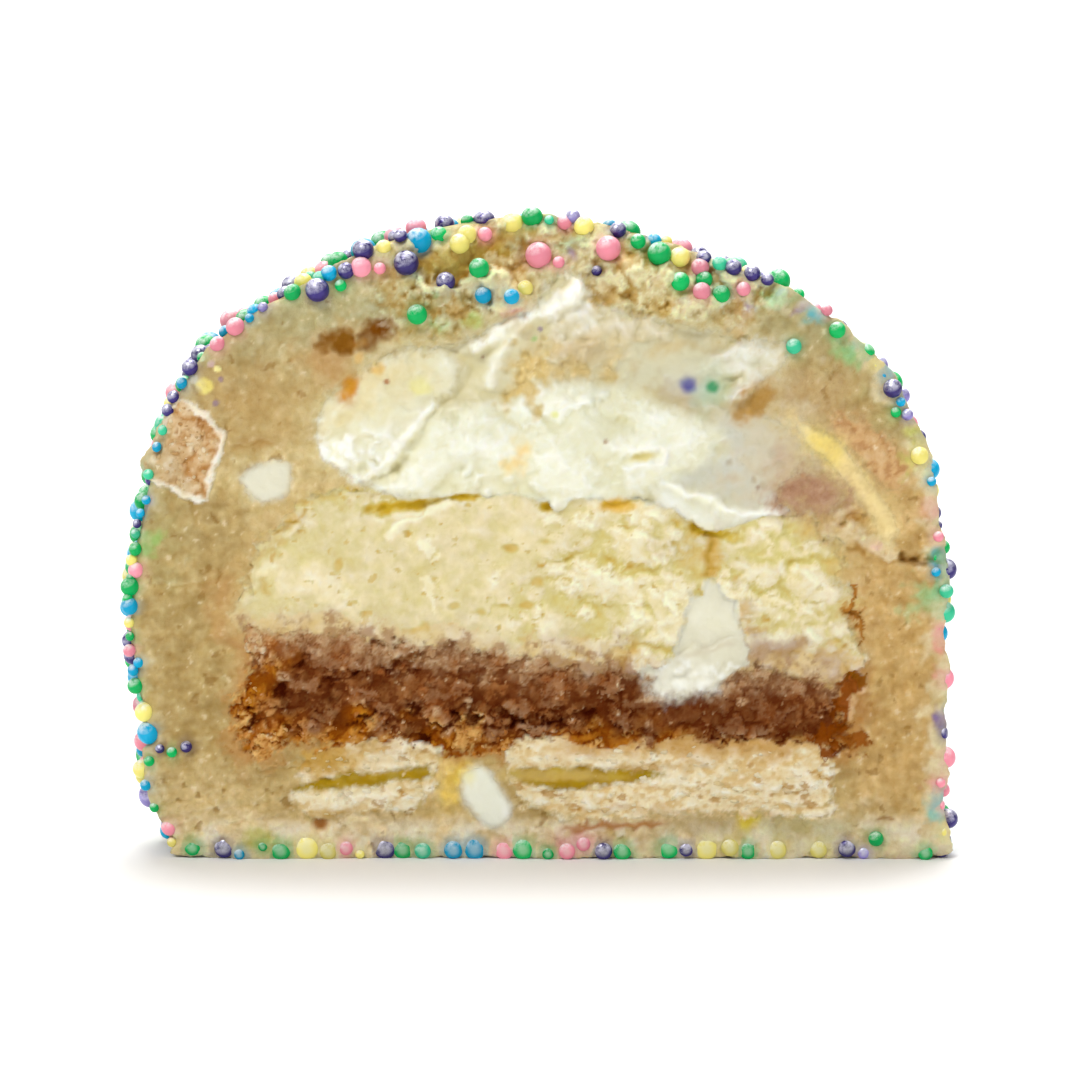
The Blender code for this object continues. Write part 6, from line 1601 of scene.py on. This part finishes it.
# Pearls in sight along the edge of the cut and on its torn top: x, z and size, in mm
SEEN = {
    "purple": [
        (-29.2, 41.5, 1.4), (-30.6, 39.1, 1.1), (-31.1, 38, 1.1), (-18.6, 47.9, 2), (-16.2, 49.5, 1.4),
        (-14.8, 51.2, 1.8), (-11.8, 52.5, 1.2), (6.3, 52.9, 1.4), (-11.2, 50.1, 2.1), (-8, 48.6, 1.6),
        (4.5, 49.5, 0.9), (13.4, 50.6, 1.3), (15.8, 49.8, 1.4), (17.4, 49.3, 1.4), (18.6, 48.8, 1.1),
        (29.1, 39.8, 1.6), (34.9, 10.8, 1), (-34.1, 28.6, 0.8), (-32.1, 9.6, 0.8), (-29.9, 9.7, 1), (25.8, 0.9, 1.5),
        (12.2, 0.8, 1.2), (5.2, 0.6, 1.5),
    ],
    "blue": [
        (-29.9, 40.2, 1), (-24.2, 45.6, 0.8), (-17.6, 49.3, 1.4), (-10.2, 52, 2.2), (-4.8, 47.5, 1.4),
        (-2.5, 47.4, 1.3), (9.3, 52, 1.3), (28.8, 40.9, 0.8), (29.8, 38.7, 0.8), (32.4, 32.1, 0.8), (32.9, 24.5, 0.8),
        (33.8, 4.9, 0.8), (-32.4, 35, 0.9), (-33, 30.5, 0.8), (-34, 29.5, 0.8), (-34.5, 21.6, 1.5), (-34.6, 16.1, 1),
        (-33.9, 16.8, 0.9), (-33.2, 10.8, 2), (-33.4, 6.4, 1), (-25.6, 0.3, 0.9), (-7.5, 0.7, 1.6),
    ],
    "pink": [
        (-26.9, 43.4, 1.4), (-25.4, 44.9, 1.6), (-14.9, 49.8, 1.7), (-13.4, 49.7, 1), (-4.8, 52.5, 1.2),
        (1.9, 53.5, 1.3), (-0.3, 50.8, 2.2), (1.4, 50.2, 1), (5.5, 51.4, 2.1), (13.1, 49.8, 1.5), (13.2, 47.8, 1.5),
        (16.6, 48, 1.2), (23.6, 46.3, 1), (32.6, 29.8, 1.4), (33, 27.5, 0.9), (33.8, 19.5, 0.8), (33.6, 6.6, 0.8),
        (34.2, 4.6, 0.7), (-34, 24.6, 1.4), (-35, 17.8, 1.1), (-31.6, 2.5, 1.4), (2.1, 0.7, 1.4), (3.5, 1.3, 1.2),
        (-16.6, 0.9, 1.2),
    ],
    "lilac": [
        (-23.1, 46.5, 0.9), (2.6, 54, 1.2), (30.4, 37.6, 1), (27.2, 0.5, 1),
    ],
    "green": [
        (-20.6, 47.7, 1.5), (-16.6, 48.3, 1), (-8.6, 52.4, 1.6), (-0.8, 54, 1.8), (-5.2, 49.7, 1.7),
        (-10.3, 45.9, 1.7), (8, 51.9, 1.3), (9.7, 50.9, 2), (11.4, 48.6, 1.6), (13.4, 48.8, 1.4), (14.8, 47.6, 1.5),
        (24.4, 44.6, 1.4), (27.4, 43, 1.2), (29.4, 37.8, 0.9), (33.4, 25.6, 1), (-34, 26.4, 1.2), (-35.1, 24, 0.8),
        (-34.5, 23.2, 1.6), (-35.5, 22.3, 0.9), (-35.1, 19, 0.8), (-34.2, 14.8, 1.4), (-31.1, 9.3, 0.9),
        (-32.8, 4.4, 0.9), (-33, 8.5, 0.9), (0.5, 0.4, 1), (28.2, 1.8, 1.3), (-23.6, 1.1, 0.8),
    ],
    "mint": [
        (-18.4, 48.9, 1.2), (0.6, 53.7, 0.8), (14.7, 50.1, 1.3), (20.8, 43.3, 1.3), (33.8, 22.9, 1.2),
        (-31.9, 36.4, 0.9), (-33.2, 32.8, 0.9), (-34.2, 27.7, 0.8), (-10.1, 0.6, 1.4),
    ],
    "yellow": [
        (-13.1, 51.4, 1.4), (-6.8, 51.7, 1.7), (-6.2, 52.5, 1.6), (-2.5, 53.5, 1.9), (3.5, 53.2, 1.7),
        (-1.4, 48.1, 1.3), (11.4, 50.6, 1.7), (28.1, 41.8, 1.2), (31.4, 34.2, 1.5), (34.4, 2.3, 1), (-35, 25.5, 1),
        (-35.1, 20.2, 0.9), (-33.5, 12.6, 1.7), (-31.4, 1.3, 0.9), (-15.4, 0.2, 0.8), (23.4, 0.8, 1.5),
        (15.9, 1, 1.5),
    ],
}

# Pearls that the knife went through: they are paler in the middle
SLICED = {
    "green": [
        (-29.6, 0.9, 1.3), (-22.1, 0.7, 1.6), (-11.8, 0.7, 1.6), (-1.6, 0.8, 1.7), (6.8, 0.6, 1.5), (10.7, 0.9, 1.7),
        (17.4, 0.7, 1.4), (32.4, 0.4, 1.2),
    ],
    "purple": [
        (-26.9, 0.9, 1.6), (-13.3, 0.7, 1.7),
    ],
    "yellow": [
        (-19.9, 0.9, 1.9), (-18.1, 0.6, 1.4), (13.9, 0.9, 1.9), (19.9, 0.8, 1.5),
    ],
    "blue": [
        (-5.7, 0.8, 1.8),
    ],
    "pink": [
        (-3.2, 0.5, 1.5),
    ],
}


class Pearls:
    def __init__(self, seed):
        self.rng = np.random.default_rng(seed)
        self.centres, self.radii, self.kinds, self.all = [], [], [], []

    def add(self, kind, centre, radius, normal, squash=1.0, fine=False, core=0.0):
        self.all.append((kind, np.asarray(centre, float), radius, np.asarray(normal, float), squash, fine, core))

    def free(self, centre, radius, gap):
        if not self.all:
            return True
        c = np.array([p[1] for p in self.all])
        r = np.array([p[2] for p in self.all])
        return bool(np.all(np.linalg.norm(c - centre, axis=1) > gap * (r + radius)))


pearls = Pearls(500)
grad_z, grad_x = np.gradient(D_DOUGH, H)


def on_grid(a, x, z):
    r = int(np.clip(round((z - ZS[0]) / H), 0, NZ - 1))
    c = int(np.clip(round((x - XS[0]) / H), 0, NX - 1))
    return float(a[r, c])


for kind, places in SEEN.items():
    for x, z, size in places:
        r = size / 2
        d = on_grid(D_DOUGH, x, z)
        gx, gz = on_grid(grad_x, x, z), on_grid(grad_z, x, z)
        most = (0.75 if x < 0 and z < 36 else 0.45) * r
        over = d - most
        if over > 0:
            x, z, d = x - over * gx, z - over * gz, most
        z = max(z, r * 0.92)
        if d > -0.75 * r:
            out = min(on_grid(face_h, x - (d + 0.5) * gx, z - (d + 0.5) * gz), 0.1) - pearls.rng.uniform(0.1, 0.5) * r
            if x > 27 and z < 48:
                pearls.add(kind, (x - 0.35 * gx, out - 0.5 * r, z), r * 1.05, (gx, 0.5, gz), 0.55, True, 0.3)
            else:
                pearls.add(kind, (x, out, z), r, (gx, 0.3, gz), pearls.rng.uniform(0.88, 1.0), True)
        else:
            low = z < 1.7
            pearls.add(kind, (x, on_grid(face_h, x, max(z, 0.8)) + (-0.05 if low else 0.30) * r, z), r, (0, 1, 0), 0.5 if low else 0.95, True, 0.5 if low else 0.0)
for kind, places in SLICED.items():
    for x, z, size in places:
        r = size / 2
        z = max(z, r * 0.9)
        pearls.add(kind, (x, on_grid(face_h, x, max(z, 0.8)) - 0.16 * r, z), r * 1.05, (0, 1, 0), 0.38, True, 0.6)

# the rest of the skin
sx, sy, sz = SHELL
grid = np.stack([sx, -sy, sz], -1)
du = np.gradient(grid, axis=0)
dv = np.gradient(grid, axis=1)
across = np.cross(du, dv)
length = np.linalg.norm(across, axis=-1)
outwards = across / np.maximum(length, 1e-9)[..., None]
flip = np.sign((outwards * (grid - np.array([0, -6.0, 18.0]))).sum(-1, keepdims=True))
outwards *= flip
weight = length.copy()
weight[sy < 0.3] = 0
weight = weight / weight.sum()
picks = pearls.rng.choice(weight.size, 12500, p=weight.ravel())
sizes = np.sort(np.clip(pearls.rng.normal(0.72, 0.16, 12500), 0.40, 1.15))[::-1]
sizes = sizes[np.argsort(np.arange(12500) + pearls.rng.normal(0, 2200, 12500))]
bare = [noise.noise(Vector(grid.reshape(-1, 3)[k] / 7.0)) for k in picks]
tree_cell = 2.4
buckets = {}
for kind, c, r, *_ in pearls.all:
    buckets.setdefault(tuple(np.floor(c / tree_cell).astype(int)), []).append((c, r))


def near_free(c, r, gap):
    key = np.floor(c / tree_cell).astype(int)
    for i in (-1, 0, 1):
        for j in (-1, 0, 1):
            for k in (-1, 0, 1):
                for oc, orad in buckets.get((key[0] + i, key[1] + j, key[2] + k), ()):
                    if ((oc - c) ** 2).sum() < (gap * (r + orad)) ** 2:
                        return False
    return True


names = ["blue", "green", "purple", "yellow", "pink", "mint", "lilac"]
share = [0.16, 0.25, 0.20, 0.15, 0.16, 0.05, 0.03]
points, normals = grid.reshape(-1, 3), outwards.reshape(-1, 3)
for k, r, hole in zip(picks, sizes, bare):
    n = normals[k]
    under = n[2] < -0.7
    if hole > 0.42 and pearls.rng.random() < 0.75:
        continue
    if under and pearls.rng.random() < 0.3:
        continue
    c = points[k] + n * r * (pearls.rng.uniform(-0.5, 0.05) if points[k][0] > 24 and 4 < points[k][2] < 49 else pearls.rng.uniform(0.10, 0.45))
    if c[1] > -0.55 * r - 0.1 or (17.5 < c[0] < 27 and c[2] > 36 and c[1] > -6.5 and pearls.rng.random() < 0.85):
        continue
    if c[2] < r * 0.9:
        c[2] = r * 0.9
    if near_free(c, r, 0.96):
        kind = names[pearls.rng.choice(7, p=share)]
        squash = pearls.rng.uniform(0.86, 1.0)
        pearls.add(kind, c, r, n, squash, c[1] > -3.0)
        buckets.setdefault(tuple(np.floor(c / tree_cell).astype(int)), []).append((c, r))


def pearl_finish(name, metal, rough, coat, painted_highlight, highlight_tint, low, high):
    """A sugar pearl's skin, with a paler colour painted as a highlight on the side that faces the key light."""
    made = bpy.data.materials.new(name)
    made.use_nodes = True
    nodes, links = made.node_tree.nodes, made.node_tree.links
    shader = nodes["Principled BSDF"]
    tint = nodes.new("ShaderNodeAttribute")
    tint.attribute_name = "tint"
    place = nodes.new("ShaderNodeTexCoord")
    cloud = nodes.new("ShaderNodeTexNoise")
    cloud.inputs["Scale"].default_value = 2000
    cloud.inputs["Detail"].default_value = 4
    cloud.inputs["Roughness"].default_value = 0.7
    links.new(place.outputs["Object"], cloud.inputs["Vector"])
    share = nodes.new("ShaderNodeMapRange")
    share.inputs["From Min"].default_value = 0.36
    share.inputs["From Max"].default_value = 0.60
    share.inputs["To Min"].default_value = 0.0
    share.inputs["To Max"].default_value = painted_highlight
    links.new(cloud.outputs["Fac"], share.inputs["Value"])
    # painted highlight: a paler colour painted on the side that faces the key light, broken up by the noise
    blend = nodes.new("ShaderNodeMix")
    blend.data_type = "RGBA"
    blend.blend_type = "MIX"
    blend.inputs["B"].default_value = (*highlight_tint, 1)
    facing = nodes.new("ShaderNodeNewGeometry")
    split = nodes.new("ShaderNodeVectorMath")
    split.operation = "DOT_PRODUCT"
    links.new(facing.outputs["Normal"], split.inputs[0])
    split.inputs[1].default_value = (-0.30, -0.50, 0.81)
    upper = nodes.new("ShaderNodeMapRange")
    upper.inputs["From Min"].default_value = low
    upper.inputs["From Max"].default_value = high
    upper.inputs["To Min"].default_value = 0.0
    upper.inputs["To Max"].default_value = 1.0
    links.new(split.outputs["Value"], upper.inputs["Value"])
    highlight_share = nodes.new("ShaderNodeMath")
    highlight_share.operation = "MULTIPLY"
    links.new(share.outputs["Result"], highlight_share.inputs[0])
    links.new(upper.outputs["Result"], highlight_share.inputs[1])
    links.new(highlight_share.outputs["Value"], blend.inputs["Factor"])
    links.new(tint.outputs["Color"], blend.inputs["A"])
    links.new(blend.outputs["Result"], shader.inputs["Base Color"])
    fine = nodes.new("ShaderNodeTexNoise")
    fine.inputs["Scale"].default_value = 3200
    fine.inputs["Detail"].default_value = 3
    links.new(place.outputs["Object"], fine.inputs["Vector"])
    bump = nodes.new("ShaderNodeBump")
    bump.inputs["Strength"].default_value = 0.25
    bump.inputs["Distance"].default_value = 0.00010
    links.new(fine.outputs["Fac"], bump.inputs["Height"])
    links.new(bump.outputs["Normal"], shader.inputs["Normal"])
    sheen = nodes.new("ShaderNodeMapRange")
    sheen.inputs["To Min"].default_value = rough - 0.08
    sheen.inputs["To Max"].default_value = rough + 0.14
    links.new(cloud.outputs["Fac"], sheen.inputs["Value"])
    links.new(sheen.outputs["Result"], shader.inputs["Roughness"])
    shader.inputs["Metallic"].default_value = metal
    shader.inputs["Specular IOR Level"].default_value = 0.05
    shader.inputs["Subsurface Weight"].default_value = 0.0 if metal else 0.2
    shader.inputs["Subsurface Radius"].default_value = (1.0, 1.0, 1.0)
    shader.inputs["Subsurface Scale"].default_value = 0.0004
    shader.inputs["Coat Weight"].default_value = coat
    shader.inputs["Coat Roughness"].default_value = 0.09
    return made


PEARL_LOOK = pearl_finish("sugar_pearl", 0.0, 0.30, 0.25, 0.72, (0.94, 0.96, 0.96), 0.50, 0.98)
SHINY_LOOK = pearl_finish("sugar_pearl_shiny", 0.30, 0.30, 0.45, 0.95, (0.78, 0.77, 0.92), 0.20, 0.85)


def scattered(name, chosen, material, rng):
    """Pearls joined to one mesh; each a little uneven, in size, roundness and colour."""
    parts = Parts()
    for kind, c, r, n, squash, fine, core in chosen:
        ball, faces = FINE_BALL if fine else COARSE_BALL
        n = n / (np.linalg.norm(n) + 1e-9)
        p = ball.copy()
        if core:
            p = p - np.outer(p @ n, n) * (1 - squash)
        else:
            wobble = rng.standard_normal(3)
            p = p * (1 + 0.035 * (p @ wobble)[:, None]) - np.outer(p @ n, n) * (1 - squash)
        place = c + p * r
        place[:, 2] = np.maximum(place[:, 2], 0.0 + 0.02 * (1 + p[:, 2]))
        shade = np.clip(rng.normal(1.0, 0.10), 0.75, 1.2)
        base = np.clip(colour(*SUGAR[kind]) * shade + rng.uniform(0, 0.004), 0, 0.96)
        skin = np.repeat(base[None], len(p), 0)
        if core:
            middle = np.exp(-((1 - (ball @ n)) / 0.16) ** 2) * 0.62
            skin = mix(skin, np.clip(base * 0.45 + 0.5 * colour(236, 240, 228), 0, 0.95), middle[:, None])
        start = parts.add(world(place[:, 0], place[:, 1], place[:, 2]), skin)
        parts.tris.append(faces + start)
    return piece(name, parts.mesh(name), material, "sugar_pearls")


look_of = {"purple": SHINY_LOOK, "lilac": SHINY_LOOK}
rng = np.random.default_rng(77)
for kind in names:
    chosen = [p for p in pearls.all if p[0] == kind]
    scattered(f"sugar_pearls_{kind}", chosen, look_of.get(kind, PEARL_LOOK), rng)

# colour that has run from the pearls into the dough
tree = kdtree.KDTree(len(pearls.all))
for k, p in enumerate(pearls.all):
    tree.insert(Vector(world(p[1][0], p[1][1], p[1][2])), k)
tree.balance()
mesh = DOUGH_PIECE.data
count = len(mesh.vertices)
co = np.empty(count * 3, np.float32)
mesh.vertices.foreach_get("co", co)
co = co.reshape(-1, 3)
rgba = np.empty(count * 4, np.float32)
mesh.color_attributes["tint"].data.foreach_get("color", rgba)
rgba = rgba.reshape(-1, 4)
inks = {k: colour(*v) for k, v in SUGAR.items()}
edge_out = np.array([on_grid(D_DOUGH, (x * 1000 - X0), z * 1000) for x, _, z in co])
for k in np.nonzero((edge_out > -7.0) | (co[:, 1] * 1000 > Y0 + 1.5))[0]:
    _, which, far = tree.find(co[k])
    kind, c, r, *_ = pearls.all[which]
    gap = far * 1000 - r
    if gap < 1.3:
        wave = 0.5 + 0.5 * noise.noise(Vector(co[k]) * 1400)
        away = np.array(co[k]) * 1000 - np.array(world(*c)) * 1000
        turn = math.atan2(away[2], away[0])
        ray = 0.55 + 0.45 * math.sin(turn * 11 + which) * math.sin(turn * 7 + 2 * which)
        reach = 0.34 + 0.30 * ray * (1.0 if pearls.all[which][6] or c[1] > -1.5 else 0.4)
        amount = (0.55 if pearls.all[which][6] else 0.28 if c[1] > -1.5 else 0.60) * math.exp(-((max(gap, 0) / reach) ** 2)) * (0.35 + 0.65 * wave)
        rgba[k, :3] = rgba[k, :3] * (1 - amount) + np.clip(inks[kind] * 0.85 + 0.06, 0, 1) * amount
mesh.color_attributes["tint"].data.foreach_set("color", rgba.ravel())

# --------------------------------------------------------------- loose crumbs
CHIP_BALL, GRAIN_BALL = geodesic(3), geodesic(2)


def broken(rng, size):
    """A small broken crumb of about unit size: a ball with pieces chipped off."""
    ball, faces = CHIP_BALL if size > 0.65 else GRAIN_BALL
    p = ball.copy()
    for _ in range(rng.integers(4, 8)):
        n = rng.standard_normal(3)
        n /= np.linalg.norm(n)
        p = p - np.outer(np.clip(p @ n - rng.uniform(0.35, 0.8), 0, None) * 0.9, n)
    shift = rng.uniform(0, 60, 3)
    wave = np.array([noise.noise(Vector(q * 1.9 + shift)) + 0.5 * noise.noise(Vector(q * 4.5 + shift)) for q in p])
    return p * (1 + 0.42 * wave)[:, None], faces


def strewn(weight, count, small, large, gap, rng):
    """Places for crumbs: more where the weight is greater, and none on top of each other."""
    share = np.clip(weight, 0, None).ravel()
    made = []
    for k in rng.choice(share.size, count * 5, p=share / share.sum()):
        x = X.ravel()[k] + rng.uniform(-0.5, 0.5) * H
        z = Z.ravel()[k] + rng.uniform(-0.5, 0.5) * H
        size = small + (large - small) * rng.random() ** 1.8
        if all((x - a) ** 2 + (z - b) ** 2 > (gap * (size + s) / 2) ** 2 for a, b, s in made):
            made.append((x, z, size))
            if len(made) == count:
                break
    return made


def crumbs(name, slot, places, tones, material, rng, wide=1.0, flat=0.6, own_tone=0.3, sink=0.05):
    parts = Parts()
    for x, z, size in places:
        p, faces = broken(rng, size)
        turn = rng.uniform(0, 2 * math.pi)
        c, s = math.cos(turn), math.sin(turn)
        a, b = (p[:, 0] * c - p[:, 2] * s), (p[:, 0] * s + p[:, 2] * c)
        stretch = rng.uniform(0.9, 1.3) * wide
        out = on_grid(face_h, x, z) - sink * size + p[:, 1] * size / 2 * flat
        at_x, at_z = x + a * size / 2 * stretch, np.maximum(z + b * size / 2 / stretch, 0.3)
        tone = colour(*tones[rng.integers(len(tones))])
        here = np.array([on_grid(face_t[..., k], x, z) for k in range(3)])
        tone = mix(tone, here, own_tone) * rng.uniform(0.9, 1.06)
        start = parts.add(world(at_x, out, at_z), np.clip(tone, 0, 0.96))
        parts.tris.append(faces + start)
    return piece(name, parts.mesh(name), material, slot)


rng = np.random.default_rng(900)
fringe = (L_CRUST < -0.1) * (L_CRUST > -1.6) * (L_BISL > 0.5) * (L_BISR > 0.5) * (L_CAKE > 0.5) * (smooth(11.8, 10.4, Z) * (0.2 + 0.8 * smooth(3, -3, X)) + smooth(-22.5, -24.0, X))
crumbs("crust_crumbs", "crumb_crust", strewn(fringe * (L_CHIPLO > 0.5), 50, 0.35, 0.85, 0.9, rng), [(186, 124, 54), (206, 158, 92), (172, 106, 40), (214, 174, 118)], CRUMB_LOOK, rng, 1.0, 0.7, 0.4, 0.22)
flake_places = np.maximum((L_BISL < -0.4) * 1.0, (L_BISR < -0.4) * 1.0) * smooth(0.0, 0.3, np.minimum(L_LEML, L_LEMR)) * (L_CRUST > 0.4) * smooth(-0.9, 0.6, porous)
crumbs("biscuit_flakes", "biscuit", strewn(flake_places * (L_CHIPLO > 0.5) * (Z < 9.6), 170, 0.30, 0.80, 0.85, rng), [(248, 240, 216), (242, 230, 196), (234, 214, 172), (224, 196, 140)], BISCUIT_LOOK, rng, 1.2, 0.6, 0.5, 0.16)
chunk_places = (L_CHL < -0.7) * smooth(0.6, 0.1, coat)
crumbs("biscuit_chunk_crumbs", "biscuit_chunk", strewn(chunk_places, 60, 0.28, 0.80, 0.8, rng), [(228, 198, 152), (208, 168, 114), (240, 224, 190), (196, 148, 88)], BISCUIT_LOOK, rng, 1.0, 0.6, 0.4, 0.16)


# ------------------------------------------------------------- floor, light, camera
def pale(name, c, rough):
    made = bpy.data.materials.new(name)
    made.use_nodes = True
    shader = made.node_tree.nodes["Principled BSDF"]
    shader.inputs["Base Color"].default_value = (c, c, c, 1)
    shader.inputs["Roughness"].default_value = rough
    return made


def sweep(name, material):
    """The floor, which curves up into a backdrop far behind."""
    line = [(-1.6, 0.0), (0.45, 0.0)]
    line += [(0.45 + 0.45 * math.sin(a), 0.45 - 0.45 * math.cos(a)) for a in np.linspace(0.05, math.pi / 2, 24)]
    line += [(0.9, 1.8)]
    points = [(x, y, z) for x in (-1.8, 1.8) for y, z in line]
    n = len(line)
    mesh = bpy.data.meshes.new(name)
    mesh.from_pydata(points, [], [(i, n + i, n + i + 1, i + 1) for i in range(n - 1)])
    mesh.shade_smooth()
    made = bpy.data.objects.new(name, mesh)
    bpy.context.scene.collection.objects.link(made)
    made.data.materials.append(material)
    return made


floor = sweep("floor", pale("floor_pale", 0.86, 0.9))


def lamp(name, place, aim, size, power, tone=(1.0, 1.0, 1.0)):
    light = bpy.data.lights.new(name, "AREA")
    light.shape = "DISK"
    light.size = size
    light.energy = power
    light.color = tone
    made = bpy.data.objects.new(name, light)
    bpy.context.scene.collection.objects.link(made)
    made.location = place
    made.rotation_euler = (Vector(aim) - Vector(place)).to_track_quat("-Z", "Y").to_euler()
    return made


AIM = (0.0, -0.008, 0.0262)
lamp("key", (-0.24, -0.36, 0.52), AIM, 0.24, 2.2, (1.0, 0.985, 0.95))
lamp("fill", (0.42, -0.46, 0.22), AIM, 0.40, 0.6, (1.0, 0.985, 0.96))
lamp("top", (0.05, 0.22, 0.55), AIM, 0.35, 1.3)
lamp("backdrop_light", (0.0, 0.30, 1.1), (0.0, 0.95, 0.3), 0.8, 14.0)

scene = bpy.context.scene
backdrop = bpy.data.worlds.new("studio")
scene.world = backdrop
backdrop.use_nodes = True
backdrop.node_tree.nodes["Background"].inputs["Color"].default_value = (1.0, 1.0, 1.0, 1)
backdrop.node_tree.nodes["Background"].inputs["Strength"].default_value = 0.28
scene.view_settings.view_transform = "Standard"

camera = bpy.data.cameras.new("camera")
camera.lens = 85
camera.clip_start = 0.005
eye = bpy.data.objects.new("camera", camera)
scene.collection.objects.link(eye)
ELEVATION, DISTANCE = math.radians(6.0), 0.222
eye.location = Vector(AIM) + DISTANCE * Vector((0, -math.cos(ELEVATION), math.sin(ELEVATION)))
eye.rotation_euler = (Vector(AIM) - eye.location).to_track_quat("-Z", "Y").to_euler()
scene.camera = eye

bpy.context.view_layer.update()
